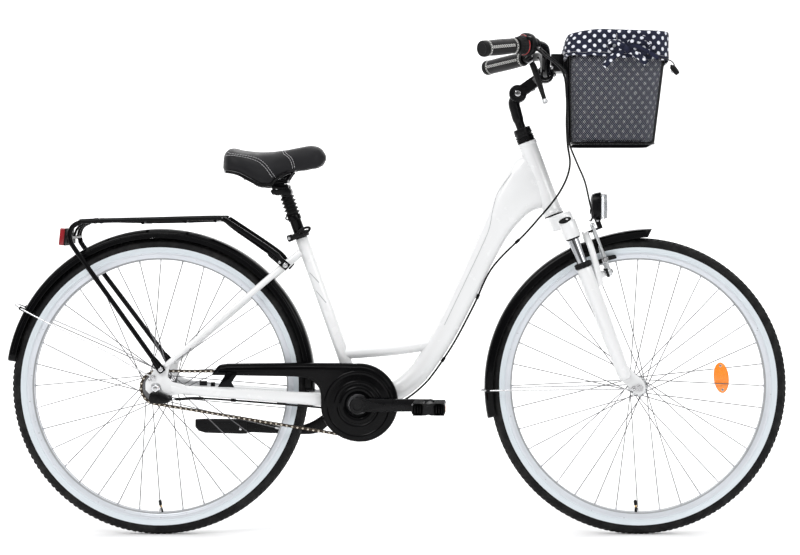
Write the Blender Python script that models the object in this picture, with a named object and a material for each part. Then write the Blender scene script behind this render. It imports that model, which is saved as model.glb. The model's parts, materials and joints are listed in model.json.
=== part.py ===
"""City bike with a low step-through frame, front basket and rear rack.

Metres, +X forward, +Y to the rider's left, +Z up.  The origin is on the ground
under the middle of the bike's outline.  Most side-view positions below are
written from the point midway between the two axles and moved forward by DX.
"""
import math

import bmesh
import bpy
from mathutils import Matrix, Vector

# ---------------------------------------------------------------- dimensions
DX = 0.0052                    # axle midpoint to the outline's middle
AXLE_Z = 0.351                 # both wheels: 28 inch, 351 mm outer radius
FRONT_X = 0.566 + DX
REAR_X = -0.566 + DX
GAP = 0.0003

TYRE_R = 0.351
RIM_IN = 0.302
SPOKES = 36
FRONT_FLANGE_Y, FRONT_FLANGE_HOLES = 0.030, 0.0195
REAR_FLANGE_Y, REAR_FLANGE_HOLES = 0.030, 0.0315
AXLE_R = 0.005

BB_X, BB_Z = -0.0935 + DX, 0.3115      # crank axis
CRANK = 0.170
CHAIN_Y = -0.049
RING_R, COG_R = 0.0770, 0.0386         # 38 and 19 teeth of 12.7 mm pitch

HEAD_BOT = (0.366 + DX, 0.7585)        # lower end of the head tube
HEAD_TOP = (0.302 + DX, 0.929)
STEER_U = (0.3514, -0.9362)            # down the steering axis, in X and Z
STEER_N = (0.9362, 0.3514)             # square to it, forward
FORK_TRAVEL = 0.035

SEAT_V = (-0.3355, 0.9421)             # up the seat tube, in X and Z
BAR_R = 0.0112

WHITE = (0.86, 0.87, 0.88)
BLACK = (0.012, 0.012, 0.014)
RUBBER = (0.025, 0.025, 0.027)
STEEL = (0.62, 0.63, 0.65)
ALLOY = (0.55, 0.56, 0.58)
CHROME = (0.80, 0.81, 0.83)


# ------------------------------------------------------------------- helpers
def clear():
    for ob in list(bpy.data.objects):
        bpy.data.objects.remove(ob, do_unlink=True)
    for me in list(bpy.data.meshes):
        bpy.data.meshes.remove(me)


def material(name, colour, rough=0.4, metal=0.0):
    m = bpy.data.materials.new(name)
    m.use_nodes = True
    s = m.node_tree.nodes["Principled BSDF"]
    s.inputs["Base Color"].default_value = (*colour, 1.0)
    s.inputs["Roughness"].default_value = rough
    s.inputs["Metallic"].default_value = metal
    return m


def V(x, y, z):
    return Vector((x, y, z))


def steer(s, p, y=0.0):
    """Point at s down the steering axis from the head tube's lower end, p in
    front of that axis."""
    return V(HEAD_BOT[0] + STEER_U[0] * s + STEER_N[0] * p, y,
             HEAD_BOT[1] + STEER_U[1] * s + STEER_N[1] * p)


def seat(s, p=0.0, y=0.0):
    """Point at s up the seat tube from the crank axis, p in front of it."""
    return V(BB_X + SEAT_V[0] * s + SEAT_V[1] * p, y,
             BB_Z + SEAT_V[1] * s - SEAT_V[0] * p)


def mesh_of(verts, faces):
    bm = bmesh.new()
    vs = [bm.verts.new(v) for v in verts]
    for f in faces:
        try:
            bm.faces.new([vs[i] for i in f])
        except ValueError:
            pass
    bmesh.ops.remove_doubles(bm, verts=bm.verts, dist=1e-6)
    bmesh.ops.recalc_face_normals(bm, faces=bm.faces)
    if bm.calc_volume(signed=True) < 0:
        bmesh.ops.reverse_faces(bm, faces=bm.faces)
    me = bpy.data.meshes.new("shape")
    bm.to_mesh(me)
    bm.free()
    return me


def loft(rings, closed=False, caps=True):
    """Skin of equal rings of points; open lofts get flat or fan caps."""
    n = len(rings[0])
    verts = [p for r in rings for p in r]
    faces = []
    m = len(rings)
    for i in range(m if closed else m - 1):
        a, b = i * n, ((i + 1) % m) * n
        for k in range(n):
            j = (k + 1) % n
            faces.append((a + k, a + j, b + j, b + k))
    if not closed and caps:
        faces.append(tuple(range(n)))
        faces.append(tuple((m - 1) * n + k for k in range(n)))
    return mesh_of(verts, faces)


def frame_of(axis):
    z = Vector(axis).normalized()
    ref = V(0, 1, 0) if abs(z.y) < 0.9 else V(1, 0, 0)
    x = ref.cross(z).normalized()
    return x, z.cross(x).normalized(), z


def turned(profile, origin, axis, seg=24, phase=0.0, closed=True):
    """Solid of revolution.  profile holds (radius, distance along the axis);
    a closed profile makes a ring, an open one that starts and ends at radius
    zero makes a solid plug."""
    x, y, z = frame_of(axis)
    o = Vector(origin)
    bm = bmesh.new()
    rows = []
    for r, h in profile:
        if r < 1e-7:
            v = bm.verts.new(o + z * h)
            rows.append([v] * seg)
            continue
        row = []
        for k in range(seg):
            a = phase + 2 * math.pi * k / seg
            row.append(bm.verts.new(o + z * h + x * (r * math.cos(a)) + y * (r * math.sin(a))))
        rows.append(row)
    m = len(rows)
    for i in range(m if closed else m - 1):
        a, b = rows[i], rows[(i + 1) % m]
        for k in range(seg):
            j = (k + 1) % seg
            quad = []
            for v in (a[k], a[j], b[j], b[k]):
                if v not in quad:
                    quad.append(v)
            if len(quad) >= 3:
                bm.faces.new(quad)
    bmesh.ops.recalc_face_normals(bm, faces=bm.faces)
    if bm.calc_volume(signed=True) < 0:
        bmesh.ops.reverse_faces(bm, faces=bm.faces)
    me = bpy.data.meshes.new("turned")
    bm.to_mesh(me)
    bm.free()
    return me


def rod(p, q, r, r2=None, seg=16, phase=0.0):
    p, q = Vector(p), Vector(q)
    h = (q - p).length
    r2 = r if r2 is None else r2
    return turned([(0, 0), (r, 0), (r2, h), (0, h)], p, q - p, seg, phase, closed=False)


def pipe(p, q, r_out, r_in, seg=24):
    p, q = Vector(p), Vector(q)
    h = (q - p).length
    return turned([(r_in, 0), (r_out, 0), (r_out, h), (r_in, h)], p, q - p, seg)


def smooth_path(points, step=None, per=6, closed=False):
    """Catmull-Rom curve through the points."""
    pts = [Vector(p) for p in points]
    n = len(pts)
    out = []
    spans = n if closed else n - 1
    for i in range(spans):
        if closed:
            a, b, c, d = (pts[(i + k) % n] for k in (-1, 0, 1, 2))
        else:
            b, c = pts[i], pts[i + 1]
            a = pts[i - 1] if i else b + (b - c)
            d = pts[i + 2] if i + 2 < n else c + (c - b)
        k = per if step is None else max(1, int(round((c - b).length / step)))
        for j in range(k):
            t = j / k
            out.append(0.5 * ((2 * b) + (c - a) * t + (2 * a - 5 * b + 4 * c - d) * t * t
                              + (3 * b - a - 3 * c + d) * t * t * t))
    if not closed:
        out.append(pts[-1])
    return out


def sweep(path, sections, up=None, closed=False):
    """Loft of a section carried along a path.  sections is one list of (side,
    up) points, or a function of the position 0..1 that gives one."""
    path = [Vector(p) for p in path]
    n = len(path)
    rings = []
    prev = None
    for i, p in enumerate(path):
        a = path[i - 1] if (i or closed) else p
        b = path[(i + 1) % n] if (i < n - 1 or closed) else p
        t = (b - a).normalized()
        if up is not None:
            side = Vector(up).cross(t).normalized()
        elif prev is None:
            side = frame_of(t)[0]
        else:
            side = (prev - t * prev.dot(t)).normalized()
        prev = side
        nrm = t.cross(side).normalized()
        sec = sections(i / max(1, n - 1)) if callable(sections) else sections
        # a mitred joint keeps the section's width square to the run
        rings.append([p + side * u + nrm * w for u, w in sec])
    return loft(rings, closed=closed)


def round_section(r, seg=8, rw=None):
    rw = r if rw is None else rw
    return [(r * math.cos(2 * math.pi * (k + 0.5) / seg), rw * math.sin(2 * math.pi * (k + 0.5) / seg))
            for k in range(seg)]


def tube(path, r, seg=8, closed=False, r_of=None):
    if r_of is None:
        return sweep(path, round_section(r, seg), closed=closed)
    return sweep(path, lambda t: round_section(r_of(t), seg), closed=closed)


def prism(outline, a, b, plane="xz"):
    """Outline extruded from a to b along the axis square to its plane."""
    def place(u, w, h):
        if plane == "xz":
            return V(u, h, w)
        if plane == "xy":
            return V(u, w, h)
        return V(h, u, w)
    lo = [place(u, w, a) for u, w in outline]
    hi = [place(u, w, b) for u, w in outline]
    return loft([lo, hi])


def box(lo, hi):
    (x0, y0, z0), (x1, y1, z1) = lo, hi
    return prism([(x0, z0), (x1, z0), (x1, z1), (x0, z1)], y0, y1)


def block(centre, ax, ay, az, sx, sy, sz, bevel=0.0):
    """Box of full sizes sx, sy, sz about a centre, along three unit axes."""
    c, ax, ay, az = Vector(centre), Vector(ax), Vector(ay), Vector(az)
    def corner(i, j, k):
        return c + ax * (sx / 2 * i) + ay * (sy / 2 * j) + az * (sz / 2 * k)
    me = loft([[corner(i, j, k) for i, j in ((-1, -1), (1, -1), (1, 1), (-1, 1))] for k in (-1, 1)])
    if bevel:
        bm = bmesh.new()
        bm.from_mesh(me)
        bmesh.ops.bevel(bm, geom=list(bm.edges), offset=bevel, segments=1, affect="EDGES", profile=0.5)
        bm.to_mesh(me)
        bm.free()
    return me


def circle2(cx, cz, r, a0, a1, n):
    """Points on a side-view arc, degrees from +X towards +Z."""
    return [(cx + r * math.cos(math.radians(a0 + (a1 - a0) * i / n)),
             cz + r * math.sin(math.radians(a0 + (a1 - a0) * i / n))) for i in range(n + 1)]


def boolean(base, tools, how="UNION"):
    """Join or cut one mesh with others and return the new mesh."""
    ob = bpy.data.objects.new("work", base)
    bpy.context.scene.collection.objects.link(ob)
    others = []
    for i, t in enumerate(tools):
        o = bpy.data.objects.new("tool", t)
        bpy.context.scene.collection.objects.link(o)
        others.append(o)
        m = ob.modifiers.new("m%d" % i, "BOOLEAN")
        m.operation = how
        m.solver = "EXACT"
        m.object = o
    bpy.context.view_layer.update()
    deps = bpy.context.evaluated_depsgraph_get()
    me = bpy.data.meshes.new_from_object(ob.evaluated_get(deps))
    for o in [ob] + others:
        bpy.data.objects.remove(o, do_unlink=True)
    bm = bmesh.new()
    bm.from_mesh(me)
    bmesh.ops.remove_doubles(bm, verts=bm.verts, dist=1e-6)
    loose = [e for e in bm.edges if len(e.link_faces) == 1]
    if loose:
        bmesh.ops.holes_fill(bm, edges=loose, sides=6)
        bmesh.ops.recalc_face_normals(bm, faces=bm.faces)
    bm.to_mesh(me)
    bm.free()
    return me


def union(*meshes):
    return boolean(meshes[0], list(meshes[1:]), "UNION")


def cut(base, *tools):
    return boolean(base, list(tools), "DIFFERENCE")


def mirrored(me, across="y"):
    new = me.copy()
    s = {"x": (-1, 1, 1), "y": (1, -1, 1)}[across]
    new.transform(Matrix.Diagonal((*s, 1.0)))
    new.flip_normals()
    return new


PIVOTS = {}


def pivot(name, at, parent=None):
    """Empty on a joint's axis that carries the pieces of one moving body."""
    e = bpy.data.objects.new("pivot_" + name, None)
    e.empty_display_size = 0.03
    bpy.context.scene.collection.objects.link(e)
    if parent:
        e.parent = PIVOTS[parent][0]
        e.location = Vector(at) - PIVOTS[parent][1]
    else:
        e.location = Vector(at)
    PIVOTS[name] = (e, Vector(at))
    return e


def add(name, me, mat, body=None, sharp=35):
    """Place a finished shape, given in world positions, as a named object."""
    me.name = name
    me.materials.clear()
    me.materials.append(mat)
    ob = bpy.data.objects.new(name, me)
    bpy.context.scene.collection.objects.link(ob)
    if body:
        e, at = PIVOTS[body]
        me.transform(Matrix.Translation(-at))
        ob.parent = e
    me.shade_smooth()
    me.set_sharp_from_angle(angle=math.radians(sharp))
    return ob


clear()

# ----------------------------------------------------------------- materials
M_FRAME = material("frame_paint", WHITE, 0.22)
M_BLACK = material("black_gloss", BLACK, 0.18)
M_MATT = material("black_matt", RUBBER, 0.6)
M_RUBBER = material("rubber", (0.03, 0.03, 0.032), 0.75)
M_STEEL = material("steel", STEEL, 0.28, 1.0)
M_ALLOY = material("alloy", ALLOY, 0.32, 1.0)
M_CHROME = material("chrome", CHROME, 0.1, 1.0)
M_RIM = material("rim_alloy", (0.78, 0.79, 0.80), 0.3, 1.0)
M_LEATHER = material("leather", (0.05, 0.045, 0.045), 0.55)
M_CHAIN = material("chain_bronze", (0.30, 0.22, 0.13), 0.35, 1.0)
M_ORANGE = material("reflector_orange", (0.95, 0.35, 0.03), 0.2)
M_RED = material("reflector_red", (0.6, 0.02, 0.02), 0.2)
M_LENS = material("lamp_lens", (0.85, 0.87, 0.9), 0.05)
M_CLOTH = material("basket_cloth", (0.02, 0.03, 0.07), 0.85)
M_CABLE = material("cable_sheath", (0.015, 0.015, 0.015), 0.45)


def X(x):
    return x + DX


# --------------------------------------------------------------------- frame
HEAD_LEN = (Vector(HEAD_TOP) - Vector(HEAD_BOT)).length
UP = V(-STEER_U[0], 0, -STEER_U[1])
FWD = V(STEER_N[0], 0, STEER_N[1])
SV = V(SEAT_V[0], 0, SEAT_V[1])

add("head_tube", turned([(0.0155, 0), (0.0235, 0), (0.0235, 0.006), (0.022, 0.0085),
                         (0.022, HEAD_LEN - 0.0085), (0.0235, HEAD_LEN - 0.006),
                         (0.0235, HEAD_LEN), (0.0155, HEAD_LEN)],
                        steer(0, 0), UP, 22), M_FRAME)

head_cutter = rod(steer(0.05, 0), steer(-0.24, 0), 0.0235 + GAP, seg=22)
shell_cutter = rod(V(BB_X, -0.05, BB_Z), V(BB_X, 0.05, BB_Z), 0.021 + GAP, seg=20)
seat_cutter = rod(seat(-0.01), seat(0.45), 0.015 + GAP, seg=24)

# wide moulded main tube: half height in side view, half width across
MAIN = [(0.338, 0.846, 0.060, 0.018), (0.3120, 0.834, 0.066, 0.020), (0.2850, 0.8065, 0.052, 0.021),
        (0.2629, 0.7771, 0.043, 0.021), (0.2296, 0.7223, 0.0325, 0.020), (0.1915, 0.6462, 0.0285, 0.019),
        (0.1487, 0.5558, 0.027, 0.019), (0.1059, 0.4725, 0.026, 0.020), (0.0642, 0.4071, 0.025, 0.020),
        (0.0364, 0.3726, 0.0245, 0.021), (-0.0012, 0.3428, 0.024, 0.021), (-0.0488, 0.3226, 0.0225, 0.022),
        (-0.0860, 0.3135, 0.0200, 0.022)]


def main_rings(grow=0.0, seg=12):
    mid = smooth_path([V(X(a), 0, b) for a, b, _, _ in MAIN], per=1)
    hh = smooth_path([V(c, d, 0) for _, _, c, d in MAIN], per=1)
    rings = []
    for i, p in enumerate(mid):
        a, b = mid[max(0, i - 1)], mid[min(len(mid) - 1, i + 1)]
        t = (b - a).normalized()
        up = V(-t.z, 0, t.x) if t.x < 0 else V(t.z, 0, -t.x)
        if up.z < 0:
            up = -up
        h, w = hh[i].x + grow, hh[i].y + grow
        if i < 3:
            # the flared root stands along the head tube
            up = (up * (i / 3) + UP * (1 - i / 3)).normalized()
        ring = []
        for k in range(seg):
            ang = 2 * math.pi * (k + 0.5) / seg
            c, s = math.cos(ang), math.sin(ang)
            ring.append(p + up * (h * math.copysign(abs(s) ** 0.9, s))
                        + V(0, w * math.copysign(abs(c) ** 0.8, c), 0))
        rings.append(ring)
    return rings


add("main_tube", cut(loft(main_rings()), head_cutter, shell_cutter, seat_cutter), M_FRAME)

cross = smooth_path([V(X(-0.1345), 0, 0.4275), V(X(-0.0393), 0, 0.4344), V(X(0.0226), 0, 0.4416),
                     V(X(0.0900), 0, 0.4530)], per=2)
add("cross_tube", cut(tube(cross, 0.0138, 12), seat_cutter, loft(main_rings(GAP))), M_FRAME)

add("seat_tube", cut(pipe(seat(0.006), seat(0.4280), 0.015, 0.014, 24), shell_cutter), M_FRAME)

# ------------------------------------------------- chainstays with the shell
STAY = [(-0.0935, 0.3135, 0.024, 0.0160), (-0.1400, 0.3180, 0.029, 0.0160), (-0.1900, 0.3222, 0.0372, 0.0155),
        (-0.2600, 0.3275, 0.0445, 0.0140), (-0.3870, 0.3370, 0.0550, 0.0122), (-0.4700, 0.3435, 0.0625, 0.0115),
        (-0.5300, 0.3485, 0.0685, 0.0112)]


def stay_mesh(side, grow=0.0):
    path = smooth_path([V(X(a), side * y, z) for a, z, y, _ in STAY], per=1)
    hs = smooth_path([V(h, 0, 0) for *_, h in STAY], per=1)
    rings = []
    for i, p in enumerate(path):
        h, w = hs[i].x + grow, 0.0078 + grow
        if i >= len(path) - 2:
            w = 0.0055 + grow
        ring = []
        for k in range(10):
            ang = 2 * math.pi * (k + 0.5) / 10
            c, s = math.cos(ang), math.sin(ang)
            ring.append(p + V(0, w * math.copysign(abs(c) ** 0.75, c), h * math.copysign(abs(s) ** 0.85, s)))
        rings.append(ring)
    return loft(rings)


DROP = [(-0.5690, 0.3960), (-0.5790, 0.3800), (-0.5906, 0.3660), (-0.5906, 0.3470), (-0.5813, 0.3375),
        (-0.5601, 0.3345), (-0.5367, 0.3345), (-0.5085, 0.3360), (-0.4968, 0.3420), (-0.4968, 0.3580),
        (-0.5273, 0.3651), (-0.5390, 0.3780), (-0.5340, 0.4060), (-0.5560, 0.4075)]


def dropout(side, grow=0.0):
    a, b = 0.066 - grow, 0.072 + grow
    pts = [(X(x), z) for x, z in DROP]
    if grow:
        cx = sum(p[0] for p in pts) / len(pts)
        cz = sum(p[1] for p in pts) / len(pts)
        pts = [(cx + (x - cx) * 1.02, cz + (z - cz) * 1.02) for x, z in pts]
    return prism(pts, side * a, side * b)


shell = rod(V(BB_X, -0.034, BB_Z), V(BB_X, 0.034, BB_Z), 0.021, seg=20)
bridge = rod(V(X(-0.166), -0.036, 0.3200), V(X(-0.166), 0.036, 0.3200), 0.0075, seg=12)
stand_plate = block(V(X(-0.156), 0.0305, 0.296), (1, 0, 0), (0, 1, 0), (0, 0, 1), 0.034, 0.0180, 0.034)
chainstays = union(shell, stay_mesh(-1), stay_mesh(1), bridge, stand_plate, dropout(-1), dropout(1))
chainstays = cut(chainstays,
                 rod(V(BB_X, -0.05, BB_Z), V(BB_X, 0.05, BB_Z), 0.0175, seg=20),
                 rod(V(REAR_X, -0.09, AXLE_Z), V(REAR_X, 0.09, AXLE_Z), 0.0054, seg=16))
add("chainstays", chainstays, M_FRAME)

# ----------------------------------------------------------------- seatstays
SEATSTAY = [(-0.2330, 0.6686, 0.0245, 0.0080), (-0.2608, 0.6453, 0.0300, 0.0080), (-0.3010, 0.6110, 0.0378, 0.0078),
            (-0.4170, 0.5117, 0.0525, 0.0070), (-0.5327, 0.4128, 0.0680, 0.0062), (-0.5420, 0.4010, 0.0690, 0.0058)]


def seatstay(side, grow=0.0):
    pts = [V(X(a), side * y, z) for a, z, y, _ in SEATSTAY]
    rs = [r for *_, r in SEATSTAY]
    rings = []
    for i, p in enumerate(pts):
        a, b = pts[max(0, i - 1)], pts[min(len(pts) - 1, i + 1)]
        t = (b - a).normalized()
        u = V(0, 1, 0).cross(t).normalized()
        w = t.cross(u)
        rings.append([p + u * ((rs[i] + grow) * math.cos(2 * math.pi * k / 12))
                      + w * ((rs[i] + grow) * math.sin(2 * math.pi * k / 12)) for k in range(12)])
    return loft(rings)


stay_bridge = rod(V(X(-0.2762), -0.034, 0.632), V(X(-0.2762), 0.034, 0.632), 0.0065, seg=12)
add("seatstays", cut(union(seatstay(-1), stay_bridge, seatstay(1)), seat_cutter, dropout(-1, GAP), dropout(1, GAP)),
    M_FRAME)

add("bottom_bracket", turned([(0.0095, -0.038), (0.0185, -0.038), (0.0185, -0.0344), (0.0171, -0.0344),
                              (0.0171, 0.0344), (0.0185, 0.0344), (0.0185, 0.038), (0.0095, 0.038)],
                             V(BB_X, 0, BB_Z), (0, 1, 0), 16), M_STEEL)

# -------------------------------------------------------------------- pivots
pivot("steering", steer(0, 0))
pivot("fork_slide", steer(0.3, 0.022), "steering")
pivot("front_wheel", V(FRONT_X, 0, AXLE_Z), "fork_slide")
pivot("rear_wheel", V(REAR_X, 0, AXLE_Z))
pivot("cog", V(REAR_X, CHAIN_Y, AXLE_Z))
pivot("crank", V(BB_X, 0, BB_Z))
PEDAL_R = V(BB_X + CRANK, -0.135, BB_Z)
PEDAL_L = V(BB_X - CRANK, 0.135, BB_Z)
pivot("pedal_r", PEDAL_R, "crank")
pivot("pedal_l", PEDAL_L, "crank")

# -------------------------------------------------------------------- wheels
WSEG = 36
TYRE = [(0.3115, 0.0090), (0.3185, 0.0126), (0.3290, 0.0195), (0.3430, 0.0165), (0.3510, 0.0050)]
TYRE = [(r, -y) for r, y in TYRE] + [(r, y) for r, y in reversed(TYRE)]
RIM = [(0.3165, -0.0125), (0.3108, -0.0097), (0.3108, 0.0097), (0.3165, 0.0125), (0.3020, 0.0095),
       (0.3020, -0.0095)]


def laced(cx, profile, flange_y, holes):
    hub = turned(profile, V(cx, 0, AXLE_Z), (0, 1, 0), 18)
    bars = []
    for i in range(SPOKES):
        th = 2 * math.pi * i / SPOKES
        side = -1 if i % 2 == 0 else 1
        lead = i % 4 < 2
        ph = th + math.radians(60 if lead else -60)
        fy = side * (flange_y + (0.0012 if lead else -0.0012))
        a = V(cx + holes * math.cos(ph), fy, AXLE_Z + holes * math.sin(ph))
        b = V(cx + 0.2998 * math.cos(th), -side * (0.0010 if lead else 0.0040), AXLE_Z + 0.2998 * math.sin(th))
        bars.append(rod(a, b, 0.0010, seg=3))
    return boolean(hub, bars)


def flange(y, r, body, half=0.0022):
    return [(body, y - half), (r, y - half), (r, y + half), (body, y + half)]


front_hub = ([(0.0055, -0.036), (0.014, -0.036)] + flange(-FRONT_FLANGE_Y, 0.0225, 0.014)
             + flange(FRONT_FLANGE_Y, 0.0225, 0.014) + [(0.014, 0.036), (0.0055, 0.036)])
rear_hub = ([(0.0055, -0.040), (0.026, -0.040)] + flange(-REAR_FLANGE_Y, 0.0345, 0.0285)
            + flange(REAR_FLANGE_Y, 0.0345, 0.0285) + [(0.0285, 0.043), (0.022, 0.050), (0.0055, 0.050)])
for who, cx, prof, fy, holes in (("front", FRONT_X, front_hub, FRONT_FLANGE_Y, FRONT_FLANGE_HOLES),
                                 ("rear", REAR_X, rear_hub, REAR_FLANGE_Y, REAR_FLANGE_HOLES)):
    c = V(cx, 0, AXLE_Z)
    add(who + "_tyre", turned(TYRE, c, (0, 1, 0), WSEG), M_RUBBER, who + "_wheel")
    add(who + "_rim", turned(RIM, c, (0, 1, 0), WSEG), M_RIM, who + "_wheel")
    add(who + "_hub_with_spokes", laced(cx, prof, fy, holes), M_STEEL, who + "_wheel")

ra = math.radians(5.5)
rc = V(FRONT_X + 0.199 * math.cos(ra), 0, AXLE_Z + 0.199 * math.sin(ra))
ellipse = []
for k in range(20):
    t = 2 * math.pi * k / 20
    a, b = 0.018 * math.cos(t), 0.0365 * math.sin(t)
    ellipse.append((rc.x + a * math.cos(ra) - b * math.sin(ra), rc.z + a * math.sin(ra) + b * math.cos(ra)))
add("wheel_reflector", prism(ellipse, -0.0045, 0.0045), M_ORANGE, "front_wheel")


def stepped_axle(steps, end):
    """Half profile (distance, radius) steps mirrored both ways about zero."""
    prof = []
    r0 = AXLE_R
    for d0, d1, r in steps:
        prof += [(r0, d0), (r, d0), (r, d1), (r0, d1)]
    prof += [(r0, end), (0, end)]
    return [(r, -d) for r, d in reversed(prof)] + prof


add("front_axle", turned(stepped_axle([(0.038, 0.0497, 0.009), (0.0573, 0.0655, 0.0095)], 0.0705),
                         V(FRONT_X, 0, AXLE_Z), (0, 1, 0), 10, closed=False), M_STEEL, "fork_slide")
rear_r = [(0.0608, 0.0657, 0.0100), (0.0724, 0.0810, 0.0095)]
rear_l = [(0.0503, 0.0530, 0.0180), (0.0530, 0.0657, 0.0100), (0.0724, 0.0810, 0.0095)]
prof_l = [(0.0050, 0.0503), (0.0200, 0.0503), (0.0200, 0.0530), (0.0100, 0.0530), (0.0100, 0.0657),
          (0.0050, 0.0657), (0.0050, 0.0724), (0.0095, 0.0724), (0.0095, 0.0810), (0.0050, 0.0810),
          (0.0050, 0.0850), (0, 0.0850)]
prof_r = [(0.0050, 0.0608), (0.0100, 0.0608), (0.0100, 0.0657), (0.0050, 0.0657), (0.0050, 0.0724),
          (0.0095, 0.0724), (0.0095, 0.0810), (0.0050, 0.0810), (0.0050, 0.0850), (0, 0.0850)]
axle_solid = turned([(r, -d) for r, d in reversed(prof_r)] + prof_l, V(REAR_X, 0, AXLE_Z), (0, 1, 0), 10, closed=False)
click_box = prism([(X(-0.5760), 0.3430), (X(-0.5810), 0.3200), (X(-0.5740), 0.3165), (X(-0.5380), 0.3165), (X(-0.5310), 0.3250),
                   (X(-0.5400), 0.3360), (X(-0.5550), 0.3430)], -0.0735, -0.0900)
add("rear_axle", union(axle_solid, click_box), M_STEEL)

# --------------------------------------------------------------- drive train
def teeth(cx, cz, n, tip, root, y0, y1):
    pts = []
    for k in range(n):
        for r, f in ((root, -0.25), (tip, 0.25)):
            a = 2 * math.pi * (k + f) / n
            pts.append((cx + r * math.cos(a), cz + r * math.sin(a)))
    return prism(pts, y0, y1)


cog = union(teeth(REAR_X, AXLE_Z, 19, 0.0418, 0.0365, CHAIN_Y - 0.0011, CHAIN_Y + 0.0011),
            rod(V(REAR_X, -0.0412, AXLE_Z), V(REAR_X, -0.0600, AXLE_Z), 0.0165, seg=20))
add("rear_sprocket", cut(cog, rod(V(REAR_X, -0.03, AXLE_Z), V(REAR_X, -0.07, AXLE_Z), 0.0104, seg=20)), M_STEEL, "cog")

D = Vector((BB_X - REAR_X, BB_Z - AXLE_Z))
beta = math.atan2(D.y, D.x)
alpha = math.acos((COG_R - RING_R) / D.length)
loop = []
for k in range(13):
    a = beta + alpha + (2 * math.pi - 2 * alpha) * k / 12
    loop.append(V(REAR_X + COG_R * math.cos(a), CHAIN_Y, AXLE_Z + COG_R * math.sin(a)))
for k in range(21):
    a = beta - alpha + 2 * alpha * k / 20
    loop.append(V(BB_X + RING_R * math.cos(a), CHAIN_Y, BB_Z + RING_R * math.sin(a)))
rings = []
n = len(loop)
for i, p in enumerate(loop):
    t = (loop[(i + 1) % n] - loop[i - 1]).normalized()
    out = V(-t.z, 0, t.x)
    if i <= 12:
        c = V(REAR_X, CHAIN_Y, AXLE_Z)
    else:
        c = V(BB_X, CHAIN_Y, BB_Z)
    out = (p - c).normalized()
    rings.append([p + out * (o / 1000) + V(0, w / 1000, 0) for o, w in
                  ((5, -3.5), (5, 3.5), (-4.3, 3.5), (-4.3, 1.9), (4.1, 1.9), (4.1, -1.9), (-4.3, -1.9), (-4.3, -3.5))])
add("chain", loft(rings, closed=True), M_CHAIN)

# chain case: a tray open towards the wheel, with mouths for the chain
CASE = [(-0.4373, 0.3803), (-0.4298, 0.3939), (-0.4200, 0.4045), (-0.4005, 0.4075), (-0.2290, 0.4094),
        (-0.1221, 0.4085)]
CASE += circle2(-0.0925, 0.3155, 0.0925, 96, -80, 12)
CASE += [(-0.1120, 0.2264), (-0.1510, 0.2438), (-0.1745, 0.2750), (-0.1815, 0.3063), (-0.1815, 0.3335),
         (-0.1902, 0.3568), (-0.2095, 0.3704), (-0.2445, 0.3770), (-0.3070, 0.3781)]


def inset(pts, d):
    """Outline moved inward by d, corner by corner."""
    out = []
    m = len(pts)
    for i in range(m):
        a, b, c = Vector(pts[i - 1]), Vector(pts[i]), Vector(pts[(i + 1) % m])
        e, f = (b - a).normalized(), (c - b).normalized()
        ne, nf = Vector((e.y, -e.x)), Vector((f.y, -f.x))
        h = (ne + nf)
        h = h / max(0.3, h.length_squared / 2)
        out.append(tuple(b + h * d))
    return out


case_out = [(X(x), z) for x, z in CASE]
tray = cut(prism(case_out, -0.063, -0.046), prism(inset(case_out, 0.002), -0.061, -0.040))
dome = turned([(0.0250, -0.0615), (0.0450, -0.0615), (0.0440, -0.0650), (0.0290, -0.0668), (0.0250, -0.0668)],
              V(BB_X, 0, BB_Z), (0, 1, 0), 20)
tab = prism([(X(x), z) for x, z in ((-0.4010, 0.3830), (-0.3751, 0.3830), (-0.3800, 0.3520), (-0.4150, 0.3520))],
            -0.0630, -0.0610)
case = union(tray, tab, turned([(0.012, -0.0625), (0.0430, -0.0625), (0.0430, -0.0612), (0.012, -0.0612)],
                               V(BB_X, 0, BB_Z), (0, 1, 0), 20), dome)
case = cut(case, rod(V(BB_X, -0.08, BB_Z), V(BB_X, -0.055, BB_Z), 0.0246, seg=20),
           box((X(-0.4500), -0.0605, 0.3830), (X(-0.4200), -0.0400, 0.3965)),
           box((X(-0.1960), -0.0605, 0.2330), (X(-0.1200), -0.0400, 0.2640)))
add("chain_case", case, M_BLACK)


# -------------------------------------------------------------------- cranks
def capsule(ax, az, ra_, bx, bz, rb, n=6):
    """Outline round two ends of different size, the first towards -X."""
    s = 1 if bx > ax else -1
    lo = [(ax - s * ra_ * math.cos(t), az + ra_ * math.sin(t))
          for t in (math.pi / 2 - math.pi * k / n for k in range(n + 1))]
    hi = [(bx + s * rb * math.cos(t), bz + rb * math.sin(t))
          for t in (-math.pi / 2 + math.pi * k / n for k in range(n + 1))]
    return lo + hi


def crank(side, reach, inner, with_ring):
    arm = prism(capsule(BB_X, BB_Z, 0.0155, BB_X + reach, BB_Z, 0.0140), side * 0.068, side * 0.0815)
    boss = rod(V(BB_X, side * inner, BB_Z), V(BB_X, side * 0.083, BB_Z), 0.018, seg=18)
    parts = [arm]
    if with_ring:
        parts.append(teeth(BB_X, BB_Z, 38, 0.0803, 0.0750, CHAIN_Y - 0.0011, CHAIN_Y + 0.0011))
    whole = union(boss, *parts)
    tools = [rod(V(BB_X, side * 0.03, BB_Z), V(BB_X, side * 0.0778, BB_Z), 0.009, seg=20),
             rod(V(BB_X + reach, side * 0.06, BB_Z), V(BB_X + reach, side * 0.09, BB_Z), 0.0075, seg=16)]
    return cut(whole, *tools)


add("right_crank", crank(-1, CRANK, 0.0445, True), M_BLACK, "crank")
add("left_crank", crank(1, -CRANK, 0.0420, False), M_BLACK, "crank")
add("crank_spindle", rod(V(BB_X, -0.0772, BB_Z), V(BB_X, 0.0772, BB_Z), 0.0086, seg=20), M_STEEL, "crank")


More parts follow.
